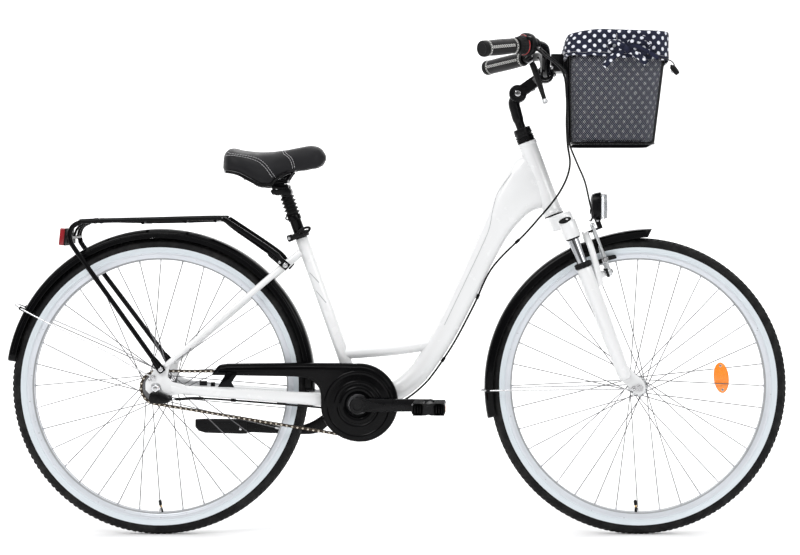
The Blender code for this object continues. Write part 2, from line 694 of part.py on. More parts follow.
def pedal(c, side):
    body = block(c + V(0, side * 0.0005, 0), (1, 0, 0), (0, 1, 0), (0, 0, 1), 0.078, 0.096, 0.029, bevel=0.005)
    pin = rod(V(c.x, side * 0.0690, c.z), V(c.x, side * 0.110, c.z), 0.0070, seg=14)
    collar = rod(V(c.x, side * 0.0822, c.z), V(c.x, side * 0.092, c.z), 0.0105, seg=14)
    return union(body, pin, collar)


add("right_pedal", pedal(PEDAL_R, -1), M_MATT, "pedal_r")
add("left_pedal", pedal(PEDAL_L, 1), M_MATT, "pedal_l")

# ----------------------------------------------------------------- kickstand
KICK = V(X(-0.156), 0.0400, 0.291)
KICK_OUT = V(0, 0.968, 0.25).normalized()
pivot("kickstand", KICK)
hub = rod(KICK + KICK_OUT * 0.0050, KICK + KICK_OUT * 0.0170, 0.0165, seg=16)
# leg: position, middle height, half height, distance from the middle, half width
LEG = [(-0.1600, 0.2790, 0.0150, 0.0528, 0.0055), (-0.1750, 0.2690, 0.0180, 0.0560, 0.0060),
       (-0.1925, 0.2540, 0.0190, 0.0585, 0.0062), (-0.2120, 0.2455, 0.0150, 0.0592, 0.0062),
       (-0.2310, 0.2412, 0.0115, 0.0594, 0.0060), (-0.2600, 0.2392, 0.0088, 0.0590, 0.0060),
       (-0.2890, 0.2395, 0.0082, 0.0595, 0.0060), (-0.3200, 0.2440, 0.0115, 0.0600, 0.0062),
       (-0.3562, 0.2487, 0.0142, 0.0605, 0.0065), (-0.3700, 0.2485, 0.0165, 0.0608, 0.0072),
       (-0.3852, 0.2484, 0.0177, 0.0610, 0.0078), (-0.4300, 0.2492, 0.0173, 0.0612, 0.0078),
       (-0.4780, 0.2500, 0.0165, 0.0615, 0.0078), (-0.4935, 0.2550, 0.0105, 0.0615, 0.0070)]
leg = loft([[V(X(x_), yc + a * hw, zc + b * hh) for a, b in ((1, 0.75), (0.6, 1), (-0.6, 1), (-1, 0.75), (-1, -0.75),
                                                            (-0.6, -1), (0.6, -1), (1, -0.75))]
            for x_, zc, hh, yc, hw in LEG])
add("kickstand_leg", union(hub, leg), M_BLACK, "kickstand")

# ------------------------------------------------------- fork and steering
FX, FY = 0.022, 0.058                 # leg offset in front of the axis, leg spacing


crown_out = [(-0.017, -0.030), (-0.017, 0.030), (0.006, 0.060), (0.022, 0.0785), (0.036, 0.070), (0.040, 0.050),
             (0.040, -0.050), (0.036, -0.070), (0.022, -0.0785), (0.006, -0.060)]
crown_rings = []
for s, k in ((0.004, 0.90), (0.009, 1.0), (0.034, 1.0), (0.0395, 0.93)):
    crown_rings.append([steer(s, 0.012 + (p - 0.012) * k, y * k) for p, y in crown_out])
crown = loft(crown_rings)
clamps = [rod(steer(0.026, FX, sy * FY), steer(0.068, FX, sy * FY), 0.0200, seg=12) for sy in (-1, 1)]
steerer = rod(steer(0.020, 0), steer(-0.2040, 0), 0.0143, seg=20)
stanchions = [rod(steer(0.060, FX, sy * FY), steer(0.268, FX, sy * FY), 0.0125, seg=14) for sy in (-1, 1)]
quill_bore = rod(steer(-0.120, 0), steer(-0.230, 0), 0.0114, seg=20)
add("fork_crown", cut(union(crown, steerer, *clamps, *stanchions), quill_bore), M_FRAME, "steering")

TOP = -HEAD_LEN
add("headset_locknut", turned([(0.0147, 0.0008), (0.0215, 0.0008), (0.0215, 0.0160), (0.0200, 0.0185), (0.0210, 0.0210),
                               (0.0200, 0.0350), (0.0122, 0.0350), (0.0122, 0.0225), (0.0147, 0.0225)],
                              steer(TOP, 0), UP, 16), M_MATT, "steering")

# stem: quill, cranked post up to the tilting joint, arm and bar clamp
PIV = V(X(0.281), 0, 1.044)
CLAMP = V(X(0.3457), 0, 1.0897)
quill_path = smooth_path([steer(-0.125, 0), steer(-0.200, 0), steer(-0.235, 0.0), V(X(0.2768), 0, 1.001),
                          V(X(0.2722), 0, 1.024), PIV], per=3)
quill = sweep(quill_path, lambda t: round_section(0.0110 if t < 0.36 or t > 0.79 else 0.0132, 12))
knuckle = rod(PIV + V(0, -0.0110, 0), PIV + V(0, 0.0110, 0), 0.0200, seg=20)
add("stem_quill", union(quill, knuckle), M_MATT, "steering")
arm_dir = (CLAMP - PIV).normalized()
cheeks = [rod(PIV + V(0, sy * 0.0113, 0), PIV + V(0, sy * 0.0205, 0), 0.0205, seg=16) for sy in (-1, 1)]
cheek_arm = [block(PIV + arm_dir * 0.0270 + V(0, sy * 0.0160, 0), arm_dir, (0, 1, 0), arm_dir.cross(V(0, 1, 0)),
                   0.0440, 0.0085, 0.0250) for sy in (-1, 1)]
beam = block(PIV + arm_dir * 0.0480, arm_dir, (0, 1, 0), arm_dir.cross(V(0, 1, 0)), 0.0420, 0.0380, 0.0270, bevel=0.004)
ring = rod(CLAMP + V(0, -0.0205, 0), CLAMP + V(0, 0.0205, 0), 0.0205, seg=20)
stem_arm = cut(union(beam, ring, *cheeks, *cheek_arm),
               rod(CLAMP + V(0, -0.05, 0), CLAMP + V(0, 0.05, 0), BAR_R + 0.0006, seg=20),
               rod(PIV + V(0, -0.0113, 0), PIV + V(0, 0.0113, 0), 0.0209, seg=20))
add("stem_arm", stem_arm, M_BLACK, "steering")

BAR = [(0.3457, 0.0, 1.0897), (0.3457, 0.022, 1.0897), (0.3457, 0.042, 1.0897), (0.3457, 0.075, 1.1020), (0.345, 0.115, 1.1300),
       (0.338, 0.155, 1.1440), (0.3075, 0.2014, 1.1445), (0.2550, 0.2510, 1.1360), (0.2030, 0.3000, 1.1270)]
half = smooth_path([V(X(a), -y, z) for a, y, z in BAR], per=2)
bar_path = [V(p.x, -p.y, p.z) for p in reversed(half)] + half[1:]
add("handlebar", tube(bar_path, BAR_R, 10), M_BLACK, "steering")


def on_bar(d, side):
    """Point and inward direction at distance d along the bar from its end."""
    pts = list(reversed(half)) if side < 0 else [V(p.x, -p.y, p.z) for p in reversed(half)]
    for i in range(len(pts) - 1):
        seg_len = (pts[i + 1] - pts[i]).length
        if d <= seg_len:
            t = (pts[i + 1] - pts[i]).normalized()
            return pts[i] + t * d, t
        d -= seg_len
    return pts[-1], (pts[-1] - pts[-2]).normalized()


def sleeve(side, d0, d1, r_of, seg=16, bore=BAR_R + 0.0015, stops=3):
    """Cup that follows the bar from its closed end d0 to d1; r_of gives its
    radius."""
    ins, outs = [], []
    for k in range(stops + 1):
        p, t = on_bar(d0 + (d1 - d0) * k / stops, side)
        deep = p + t * (0.0026 if k == 0 else 0.0)
        x = V(0, 0, 1).cross(t).normalized()
        y = t.cross(x)
        ro = r_of(k / stops)
        for lst, o, r in ((outs, p, ro), (ins, deep, bore)):
            lst.append([o + x * (r * math.cos(2 * math.pi * j / seg)) + y * (r * math.sin(2 * math.pi * j / seg))
                        for j in range(seg)])
    p, t = on_bar(d0, side)
    lid = [p + (q - p) * 0.86 - t * 0.0015 for q in outs[0]]
    return loft([lid] + outs + list(reversed(ins)))


grip = sleeve(-1, -0.0030, 0.1000, lambda t: 0.0170 + 0.0012 * math.sin(math.pi * t), seg=12)
add("right_grip", grip, M_LEATHER, "steering")
grip_l = sleeve(1, -0.0030, 0.1300, lambda t: 0.0170 + 0.0012 * math.sin(math.pi * t), seg=12)
add("left_grip", grip_l, M_LEATHER, "steering")
p0, t0 = on_bar(0.1150, -1)
pivot("shifter", p0, "steering")
shift_r = lambda t: 0.0185 + 0.0050 * t
add("shift_grip", turned([(BAR_R + 0.0016, -0.0122), (0.0185, -0.0122), (0.0190, -0.0020), (0.0235, 0.0110),
                          (0.0235, 0.0125), (BAR_R + 0.0016, 0.0125)], p0, t0, 16), M_MATT, "shifter")


def collar(side, stops, seg=14, bore=BAR_R + 0.0016):
    """Open ring that follows the bar; stops holds (distance, radius)."""
    ins, outs = [], []
    for d, ro in stops:
        p, t = on_bar(d, side)
        x = V(0, 0, 1).cross(t).normalized()
        y = t.cross(x)
        for lst, r in ((outs, ro), (ins, bore)):
            lst.append([p + x * (r * math.cos(2 * math.pi * j / seg)) + y * (r * math.sin(2 * math.pi * j / seg))
                        for j in range(seg)])
    return loft(outs + list(reversed(ins)), closed=True)


LEVER_PIV = V(X(0.3075), -0.1860, 1.1150)
LEVER_TIP = V(X(0.3453), -0.2500, 1.0108)
GRIP_MID = V(X(0.2500), -0.2560, 1.1350)
lever_dir = (LEVER_TIP - LEVER_PIV).normalized()
LEVER_AXIS = lever_dir.cross((GRIP_MID - LEVER_TIP).normalized()).normalized()
pull = LEVER_AXIS.cross(lever_dir)
pivot("lever", LEVER_PIV, "steering")
bp, bt = on_bar(0.1600, -1)
down_ = (LEVER_PIV - bp)
down_ = (down_ - bt * down_.dot(bt)).normalized()
housing = collar(-1, [(0.1290, 0.0240), (0.1325, 0.0268), (0.1425, 0.0268), (0.1460, 0.0230), (0.1500, 0.0160),
                      (0.1660, 0.0160)])
lug_c = LEVER_PIV - down_ * 0.0155
neck = block(lug_c, bt, down_.cross(bt), down_, 0.0140, 0.0120, 0.0150)
relief = rod(LEVER_PIV - LEVER_AXIS * 0.0500, LEVER_PIV + LEVER_AXIS * 0.0500, 0.0076, seg=14)
relief2 = rod(LEVER_PIV, LEVER_PIV + lever_dir * 0.0400, 0.0110, seg=8)
bar_room = collar(-1, [(0.1450, BAR_R + 0.0017), (0.1700, BAR_R + 0.0017)], bore=0.0005)
add("control_clamp", cut(union(housing, neck), bar_room, relief, relief2), M_MATT, "steering")
blade_path = smooth_path([LEVER_PIV, LEVER_PIV + lever_dir * 0.030 - pull * 0.004, LEVER_PIV + lever_dir * 0.075 - pull * 0.001,
                          LEVER_TIP + pull * 0.004], per=2)
blade2 = sweep(blade_path, lambda t: [(a * (0.0050 + 0.0030 * math.sin(math.pi * min(1, t * 1.1))), b * (0.0045 - 0.0018 * t))
                                      for a, b in ((-1, -0.4), (-0.6, -1), (0.6, -1), (1, -0.4), (1, 0.4), (0.6, 1), (-0.6, 1), (-1, 0.4))],
               up=pull)
boss2 = rod(LEVER_PIV - LEVER_AXIS * 0.0080, LEVER_PIV + LEVER_AXIS * 0.0080, 0.0068, seg=12)
add("brake_lever", union(boss2, blade2), M_BLACK, "lever")

# ---------------------------------------------------- fork lowers and fender
def leg_profile():
    prof = [(0.0176, 0.1430), (0.0180, 0.1700), (0.0170, 0.2700), (0.0158, 0.3600), (0.0148, 0.4150), (0.0, 0.4240)]
    return [(0.0136, 0.1430)] + prof + [(0.0, 0.3300), (0.0136, 0.3300)]


lowers = []
for sy in (-1, 1):
    o = steer(0, FX, sy * FY)
    prof = leg_profile()
    lowers.append(turned(prof, o, -UP, 14, closed=True))
DOWN = -UP
AX = steer(0.4504, 0.044)
for sy in (-1, 1):
    plate = []
    for s, p in ((0.395, 0.008), (0.395, 0.036), (0.425, 0.050), (0.438, 0.0585), (0.452, 0.0600), (0.466, 0.0530),
                 (0.470, 0.042), (0.464, 0.031), (0.448, 0.026), (0.425, 0.012)):
        q = steer(s, p)
        plate.append((q.x, q.z))
    lowers.append(prism(plate, sy * 0.0500, sy * 0.0570))
arch_pts = [(0.196, 0.0580, 0.0442), (0.160, 0.0585, 0.0485), (0.120, 0.0575, 0.0520), (0.094, 0.0500, 0.0535),
            (0.076, 0.0340, 0.0535), (0.069, 0.0150, 0.0535), (0.068, 0.0, 0.0535)]
arch_half = [steer(s, p, -y) for s, y, p in arch_pts]
arch_path = smooth_path(arch_half + [V(q.x, -q.y, q.z) for q in reversed(arch_half[:-1])], per=1)
arch_rings = []
for i, p in enumerate(arch_path):
    a, b = arch_path[max(0, i - 1)], arch_path[min(len(arch_path) - 1, i + 1)]
    t = (b - a)
    t = (t - FWD * t.dot(FWD)).normalized()
    w = FWD.cross(t)
    hp, hw = 0.0070, 0.0062
    arch_rings.append([p + FWD * (hp * c) + w * (hw * s) for c, s in
                       ((-1, -0.5), (-0.6, -1), (0.6, -1), (1, -0.5), (1, 0.5), (0.6, 1), (-0.6, 1), (-1, 0.5))])
lowers.append(loft(arch_rings))
for sy in (-1, 1):
    # cantilever bosses for the brake arms
    lowers.append(rod(steer(0.174, 0.0368, sy * 0.0490), steer(0.174, 0.0615, sy * 0.0400), 0.0080, 0.0062, seg=12))
    # lug behind the arch that the fender hangs from
lug = block(steer(0.0735, 0.0530), FWD, (0, 1, 0), UP, 0.0090, 0.0260, 0.0210)
lowers.append(lug)
body = union(*lowers)
holes = [rod(V(FRONT_X, -0.08, AXLE_Z), V(FRONT_X, 0.08, AXLE_Z), 0.0054, seg=16)]
add("fork_lowers", cut(body, *holes), M_FRAME, "fork_slide", sharp=40)


LIP = 0.0215


def fender(cx, cz, R, a0, a1, n, rise=0.0, slant=0.0):
    sec = [(R - LIP, -0.0270), (R - 0.0060, -0.0260), (R, -0.0110), (R, 0.0110), (R - 0.0060, 0.0260), (R - LIP, 0.0270)]
    t = 0.0018
    inner = [(R - LIP, 0.0270 - t), (R - 0.0068, 0.0260 - t), (R - t, 0.0104), (R - t, -0.0104),
             (R - 0.0068, -0.0260 + t), (R - LIP, -0.0270 + t)]
    prof = sec + inner
    rings = []
    for i in range(n + 1):
        lift = rise * max(0.0, 1.0 - i * abs(a1 - a0) / n / 20.0) ** 1.3
        ring_ = []
        for r, y in prof:
            a = math.radians(a0 + (a1 - a0) * i / n) + (slant * (R - r) / R if i == 0 else 0.0)
            ring_.append(V(cx + (r + lift) * math.cos(a), y, cz + (r + lift) * math.sin(a)))
        rings.append(ring_)
    return loft(rings)


add("front_fender", fender(FRONT_X, AXLE_Z, 0.3650, 84.9, 192.0, 18, rise=0.0100, slant=0.4), M_BLACK, "fork_slide")
rear_f = fender(REAR_X, AXLE_Z + 0.006, 0.3665, -3.0, 171.3, 29)
tongue = box((X(-0.2010), -0.0060, 0.3400), (X(-0.1745), 0.0060, 0.3425))
foot_tab = box((X(-0.1765), -0.0060, 0.3200), (X(-0.1741), 0.0060, 0.3420))
add("rear_fender", union(rear_f, tongue, foot_tab), M_BLACK)


def wire(points, r, seg=6, step=0.05):
    return tube(smooth_path(points, step=step), r, seg)


# stay wires: one bent wire each, from dropout to dropout round the fender
fs = [V(FRONT_X - 0.012, -0.0610, AXLE_Z - 0.002), V(FRONT_X - 0.060, -0.0600, AXLE_Z - 0.004),
      V(X(0.300), -0.0420, 0.3440), V(X(0.2080), -0.0300, 0.3415), V(X(0.1960), -0.0200, 0.3410),
      V(X(0.1930), 0.0, 0.3410)]
fs = fs + [V(q.x, -q.y, q.z) for q in reversed(fs[:-1])]
add("front_fender_stay", wire(fs, 0.0018), M_BLACK, "fork_slide")
rs = [V(X(-0.5715), -0.0745, 0.3765), V(X(-0.6100), -0.0735, 0.3960), V(X(-0.7000), -0.0620, 0.4450),
      V(X(-0.8300), -0.0440, 0.5050), V(X(-0.8950), -0.0300, 0.5370), V(X(-0.9070), -0.0200, 0.5430),
      V(X(-0.9120), 0.0, 0.5460)]
rs = rs + [V(q.x, -q.y, q.z) for q in reversed(rs[:-1])]
add("rear_fender_stay", wire(rs, 0.0018), M_BLACK)

# ---------------------------------------------------------- brakes and lamp
for name, sy in (("right_brake_arm", -1), ("left_brake_arm", 1)):
    piv = steer(0.174, 0.0700, sy * 0.0400)
    pivot(name, piv, "fork_slide")
    disc = rod(steer(0.174, 0.0650, sy * 0.0400), steer(0.174, 0.0800, sy * 0.0400), 0.0090, seg=10)
    arm_rings = []
    for s, y, w in ((0.174, 0.0400, 0.0070), (0.145, 0.0400, 0.0068), (0.115, 0.0425, 0.0062), (0.085, 0.0450, 0.0055),
                    (0.055, 0.0462, 0.0048)):
        arm_rings.append([steer(s, 0.0760 + a * 0.0042, sy * (y + b * w)) for a, b in
                          ((-1, -1), (1, -1), (1, 1), (-1, 1))])
    bolt = rod(steer(0.1430, 0.0755, sy * 0.0470), steer(0.1430, 0.0755, sy * 0.0200), 0.0040, seg=6)
    pad = block(steer(0.1430, 0.0740, sy * 0.0185), FWD, (0, 1, 0), UP, 0.0560, 0.0070, 0.0100, bevel=0.0015)
    add(name, union(disc, loft(arm_rings), bolt, pad), M_ALLOY, name)

LAMP = steer(0.019, 0.103)
lamp_bracket = block(steer(0.0690, 0.0780), FWD, (0, 1, 0), UP, 0.0340, 0.0140, 0.0050)
lamp_neck = block(steer(0.0580, 0.0920), FWD, (0, 1, 0), UP, 0.0120, 0.0140, 0.0270)
shape = []
for d, h, w in ((-0.013, 0.020, 0.018), (-0.010, 0.029, 0.027), (0.004, 0.033, 0.030), (0.0135, 0.034, 0.031)):
    ring_ = []
    for k in range(20):
        a = 2 * math.pi * k / 20
        c, sn = math.cos(a), math.sin(a)
        ring_.append(LAMP + V(d, 0, 0) + V(0.0, w * math.copysign(abs(c) ** 0.6, c),
                                          h * math.copysign(abs(sn) ** 0.6, sn)))
    shape.append(ring_)
lens = []
for d, k_ in ((0.010, 0.90), (0.020, 0.88), (0.026, 0.78), (0.0285, 0.55)):
    lens.append([LAMP + V(d, 0.031 * k_ * math.copysign(abs(math.cos(2 * math.pi * k / 20)) ** 0.6, math.cos(2 * math.pi * k / 20)),
                          0.034 * k_ * math.copysign(abs(math.sin(2 * math.pi * k / 20)) ** 0.6, math.sin(2 * math.pi * k / 20)))
                 for k in range(20)])
add("headlight", union(loft(shape), loft(lens), lamp_neck, lamp_bracket), M_BLACK, "fork_slide")

# --------------------------------------------------------------- seat parts
SB = Vector((SEAT_V[1], 0.0, -SEAT_V[0]))        # forward, square to the seat tube
clamp = turned([(0.0153, 0.4155), (0.0200, 0.4155), (0.0205, 0.4175), (0.0205, 0.4275), (0.0200, 0.4295),
                (0.0153, 0.4295)], seat(0), SV, 20)
ears = [block(seat(0.4225, -0.0235, sy * 0.0075), SB, (0, 1, 0), SV, 0.0130, 0.0080, 0.0120, bevel=0.001) for sy in (-1, 1)]
slot_ = block(seat(0.4225, -0.0225), SB, (0, 1, 0), SV, 0.0200, 0.0040, 0.0300)
web = block(seat(0.4225, -0.0280), SB, (0, 1, 0), SV, 0.0050, 0.0230, 0.0110)
add("seat_clamp", union(cut(union(clamp, *ears), slot_), web), M_BLACK)
QR = seat(0.4225, -0.0235, -0.0215)
pivot("seat_lever", QR)
barrel = rod(seat(0.4145, -0.0235, -0.0185), seat(0.4305, -0.0235, -0.0185), 0.0060, seg=14)
lp = smooth_path([seat(0.4225, -0.0235, -0.0215), seat(0.4235, -0.0080, -0.0262), seat(0.4255, 0.0100, -0.0285),
                  seat(0.4285, 0.0290, -0.0295)], per=2)
blade = sweep(lp, lambda t: [(a * 0.0042, b * (0.0022 + 0.0018 * (1 - t))) for a, b in
                             ((-1, -0.4), (-0.5, -1), (0.5, -1), (1, -0.4), (1, 0.4), (0.5, 1), (-0.5, 1), (-1, 0.4))],
              up=(0, 1, 0))
add("seat_clamp_lever", union(barrel, blade), M_BLACK, "seat_lever")

pivot("seatpost", seat(0.4280))
post = turned([(0.0113, 0.300), (0.0136, 0.300), (0.0136, 0.4590), (0.0158, 0.4605), (0.0158, 0.4705), (0.0150, 0.4720),
               (0.0113, 0.4720)], seat(0), SV, 16)
add("seatpost", post, M_BLACK, "seatpost")
pivot("saddle_slide", seat(0.4720), "seatpost")
HEAD_C = V(X(-0.2784), 0, 0.8200)
plunger = rod(seat(0.350), seat(0.5350), 0.0110, seg=14)
head_stem = rod(seat(0.5250), HEAD_C + V(0, 0, 0.006), 0.0120, 0.0105, seg=10)
lower_jaw = block(HEAD_C + V(0, 0, 0.0045), (1, 0, 0), (0, 1, 0), (0, 0, 1), 0.0360, 0.0560, 0.0090, bevel=0.002)
barrel2 = rod(HEAD_C + V(0.0, -0.0200, -0.0060), HEAD_C + V(0.0, 0.0200, -0.0060), 0.0125, seg=12)
add("seatpost_plunger", union(plunger, head_stem, barrel2, lower_jaw), M_BLACK, "saddle_slide")
RIBS = 5
BEL0, BEL1 = 0.4727, 0.5201
outer = []
for k in range(RIBS):
    h0 = BEL0 + k * (BEL1 - BEL0) / RIBS
    outer += [(0.0132, h0), (0.0176, h0 + (BEL1 - BEL0) / RIBS / 2)]
outer += [(0.0132, BEL1)]
add("seatpost_bellows", turned([(0.0118, BEL0)] + outer + [(0.0118, BEL1)], seat(0), SV, 16), M_RUBBER, "saddle_slide")

rail_z = 0.8340
rail_parts = []
for sy in (-1, 1):
    pts_ = [V(X(-0.3760), sy * 0.0360, 0.8550), V(X(-0.3500), sy * 0.0300, 0.8460), V(X(-0.3200), sy * 0.0230, rail_z + 0.0005),
            V(X(-0.2784), sy * 0.0220, rail_z), V(X(-0.2670), sy * 0.0210, 0.8380), V(X(-0.2580), sy * 0.0180, 0.8500),
            V(X(-0.2500), sy * 0.0130, 0.8620)]
    rail_parts.append(tube(smooth_path(pts_, per=1), 0.0035, 6))
nose_bar = rod(V(X(-0.2500), -0.0150, 0.8615), V(X(-0.2500), 0.0150, 0.8615), 0.0042, seg=6)
tail_bar = rod(V(X(-0.3745), -0.0380, 0.8550), V(X(-0.3745), 0.0380, 0.8550), 0.0042, seg=6)
top_jaw = block(HEAD_C + V(0, 0, 0.0160), (1, 0, 0), (0, 1, 0), (0, 0, 1), 0.0300, 0.0540, 0.0090, bevel=0.002)
add("saddle_rails", union(*rail_parts, nose_bar, tail_bar, top_jaw), M_BLACK, "saddle_slide")

# saddle: sections from tail to nose, each with its side flaps hanging lower
# than its middle; position, top, flap edge, underside, half width, flap inside
SADDLE = [(-0.4150, 0.8800, 0.8600, 0.8680, 0.050, 0.030), (-0.4080, 0.8960, 0.8580, 0.8660, 0.080, 0.046),
          (-0.3938, 0.9080, 0.8570, 0.8660, 0.097, 0.052), (-0.3700, 0.9032, 0.8520, 0.8660, 0.103, 0.054),
          (-0.3450, 0.9012, 0.8390, 0.8660, 0.099, 0.054), (-0.3207, 0.9008, 0.8270, 0.8660, 0.087, 0.052),
          (-0.3014, 0.9016, 0.8270, 0.8660, 0.075, 0.048), (-0.2890, 0.9028, 0.8389, 0.8665, 0.064, 0.043),
          (-0.2653, 0.9060, 0.8532, 0.8680, 0.050, 0.036), (-0.2415, 0.9103, 0.8590, 0.8690, 0.042, 0.030),
          (-0.2041, 0.9160, 0.8640, 0.8720, 0.036, 0.024), (-0.1849, 0.9127, 0.8690, 0.8760, 0.027, 0.017),
          (-0.1715, 0.8980, 0.8800, 0.8830, 0.014, 0.008)]
sad = []
for x_, top_, edge_, under_, w_, in_ in SADDLE:
    low_ = edge_ + (top_ - edge_) * 0.30
    half_ = [(0.0, top_), (w_ * 0.38, top_ - (top_ - edge_) * 0.04), (w_ * 0.72, top_ - (top_ - edge_) * 0.15),
             (w_ * 0.94, top_ - (top_ - edge_) * 0.38), (w_, low_), (w_ * 0.97, edge_ + 0.0015),
             (w_ * 0.90, edge_), (in_ + 0.003, edge_ + 0.0030), (in_, under_ - (under_ - edge_) * 0.15), (in_ * 0.7, under_)]
    right_ = [V(X(x_), -y, z) for y, z in half_]
    left_ = [V(X(x_), y, z) for y, z in reversed(half_[1:])]
    sad.append(right_ + left_)
add("saddle", loft(sad), M_LEATHER, "saddle_slide")

# ---------------------------------------------------------------- rear rack
side_path = [V(X(-0.5560), -0.0778, 0.3990), V(X(-0.5800), -0.0755, 0.4320), V(X(-0.7560), -0.0562, 0.6725),
             V(X(-0.7700), -0.0550, 0.6980), V(X(-0.7710), -0.0550, 0.7140), V(X(-0.7637), -0.0550, 0.7297),
             V(X(-0.7480), -0.0550, 0.7388), V(X(-0.7300), -0.0550, 0.7422), V(X(-0.4300), -0.0550, 0.7497),
             V(X(-0.4126), -0.0550, 0.7470), V(X(-0.3950), -0.0540, 0.7370), V(X(-0.2950), -0.0485, 0.6700),
             V(X(-0.2700), -0.0448, 0.6430)]
rack = []
for sy in (-1, 1):
    pts_ = [V(q.x, q.y * -sy, q.z) for q in side_path]
    rack.append(tube(pts_, 0.0048, 6))
    rack.append(tube(pts_[1:-2], 0.0056, 6))
    rack.append(rod(V(X(-0.5534), sy * 0.0757, 0.3957), V(X(-0.5534), sy * 0.0805, 0.3957), 0.0085, seg=10))
    rack.append(rod(V(X(-0.2660), sy * 0.0420, 0.6380), V(X(-0.2660), sy * 0.0468, 0.6380), 0.0085, seg=10))
for x_, z_ in ((-0.7150, 0.7426), (-0.6000, 0.7383), (-0.5000, 0.7408), (-0.4300, 0.7427)):
    rack.append(rod(V(X(x_), -0.0550, z_), V(X(x_), 0.0550, z_), 0.0040, seg=6, phase=math.pi / 6))
rack.append(rod(V(X(-0.7690), -0.0550, 0.7040), V(X(-0.7690), 0.0550, 0.7040), 0.0040, seg=6))
rack.append(block(V(X(-0.7780), 0, 0.7020), (1, 0, 0), (0, 1, 0), (0, 0, 1), 0.0160, 0.0260, 0.0260))
add("rear_rack", union(*rack), M_BLACK)

light = block(V(X(-0.7935), 0, 0.7046), (1, 0, 0), (0, 1, 0), (0, 0, 1), 0.0142, 0.0900, 0.0426, bevel=0.004)
add("rear_light", light, M_RED)

HINGE = V(X(-0.7150), 0, 0.7426)
pivot("clip", HINGE)
clip_half = [V(X(-0.7100), -0.0350, 0.7480), V(X(-0.6950), -0.0350, 0.7455), V(X(-0.5200), -0.0340, 0.7483),
             V(X(-0.4900), -0.0300, 0.7488), V(X(-0.4750), -0.0200, 0.7492), V(X(-0.4710), -0.0080, 0.7493)]
clip_path = clip_half + [V(q.x, -q.y, q.z) for q in reversed(clip_half)]
eyes = [pipe(V(HINGE.x, sy * 0.0300, HINGE.z), V(HINGE.x, sy * 0.0400, HINGE.z), 0.0085, 0.0046, 12) for sy in (-1, 1)]
add("rack_clip", union(tube(clip_path, 0.0028, 6), *eyes), M_BLACK, "clip")

# -------------------------------------------------------------- bell, basket
BELL_AX = V(-0.75, 0, 0.66).normalized()
BELL_C = V(X(0.3125), 0.0610, 1.0729)
bd, bdt = None, None
for d_ in range(400):
    q, qt = on_bar(d_ * 0.0015, 1)
    if q.y <= 0.0600:
        bd, bdt = q, qt
        break
ring_b = pipe(bd - bdt * 0.0050, bd + bdt * 0.0050, 0.0176, BAR_R + 0.0024, 14)
post_b = sweep([bd + V(-0.0170, 0, -0.0040), BELL_C - BELL_AX * 0.0115 + V(0.004, 0, 0.002), BELL_C - BELL_AX * 0.0050],
               round_section(0.0055, 8))
dome_b = turned([(0, -0.0080), (0.0275, -0.0080), (0.0280, -0.0060), (0.0270, -0.0010), (0.0215, 0.0060),
                 (0.0110, 0.0098), (0, 0.0110)], BELL_C, BELL_AX, 18, closed=False)
add("bell", union(ring_b, post_b, dome_b), M_CHROME, "steering")
pivot("bell_thumb", BELL_C, "steering")
by = V(0, 1, 0)
bx = by.cross(BELL_AX)
thumb = block(BELL_C + by * 0.0260 - BELL_AX * 0.0100, by, bx, BELL_AX, 0.0260, 0.0100, 0.0024)
thumb_tip = block(BELL_C + by * 0.0370 - BELL_AX * 0.0060, by, bx, BELL_AX, 0.0080, 0.0140, 0.0110, bevel=0.0015)
add("bell_lever", union(thumb, thumb_tip), M_MATT, "bell_thumb")

block_b = box((X(0.3620), -0.0430, 1.0960), (X(0.3912), 0.0430, 1.1340))
plate_b = box((X(0.3880), -0.0400, 1.0880), (X(0.3984), 0.0400, 1.1190))
ears_b = []
for sy in (-1, 1):
    ears_b.append(rod(V(X(0.3457), sy * 0.0260, 1.0897), V(X(0.3457), sy * 0.0380, 1.0897), 0.0168, seg=16))
    ears_b.append(box((X(0.3480), min(sy * 0.0262, sy * 0.0378), 1.0950), (X(0.3660), max(sy * 0.0262, sy * 0.0378), 1.1080)))
bracket_b = cut(union(block_b, plate_b, *ears_b),
                rod(V(X(0.3457), -0.06, 1.0893), V(X(0.3457), 0.06, 1.0893), BAR_R + 0.0012, seg=16),
                rod(V(X(0.3457), -0.0225, 1.0897), V(X(0.3457), 0.0225, 1.0897), 0.0218, seg=16))
add("basket_bracket", bracket_b, M_BLACK, "steering")

BK_Z0, BK_Z1 = 0.920, 1.160


def basket_ring(z, out, n=4):
    k = (z - BK_Z0) / (BK_Z1 - BK_Z0)
    x0, x1 = 0.404 - 0.005 * k - out, 0.598 + 0.028 * k + out
    yh = 0.140 + 0.030 * k + out
    r = 0.034 + out
    pts = []
    for cx, cy, a0 in ((x1 - r, yh - r, 0), (x0 + r, yh - r, 90), (x0 + r, -yh + r, 180), (x1 - r, -yh + r, 270)):
        for i in range(n):
            a = math.radians(a0 + 90 * i / (n - 1))
            pts.append(V(X(cx + r * math.cos(a)), cy + r * math.sin(a), z))
    return pts


add("basket", loft([basket_ring(BK_Z0, 0.0), basket_ring(BK_Z1, 0.0), basket_ring(BK_Z1, -0.003),
                    basket_ring(BK_Z0 + 0.003, -0.003)]), M_MATT, "steering")
liner = [(0.9285, -0.0045), (1.1640, -0.0045), (1.1640, 0.0010), (1.1230, 0.0010), (1.1230, 0.0050), (1.1780, 0.0060),
         (1.1870, 0.0000), (1.1780, -0.0060), (0.9320, -0.0080)]
add("basket_liner", loft([basket_ring(z, o) for z, o in liner]), M_CLOTH, "steering")

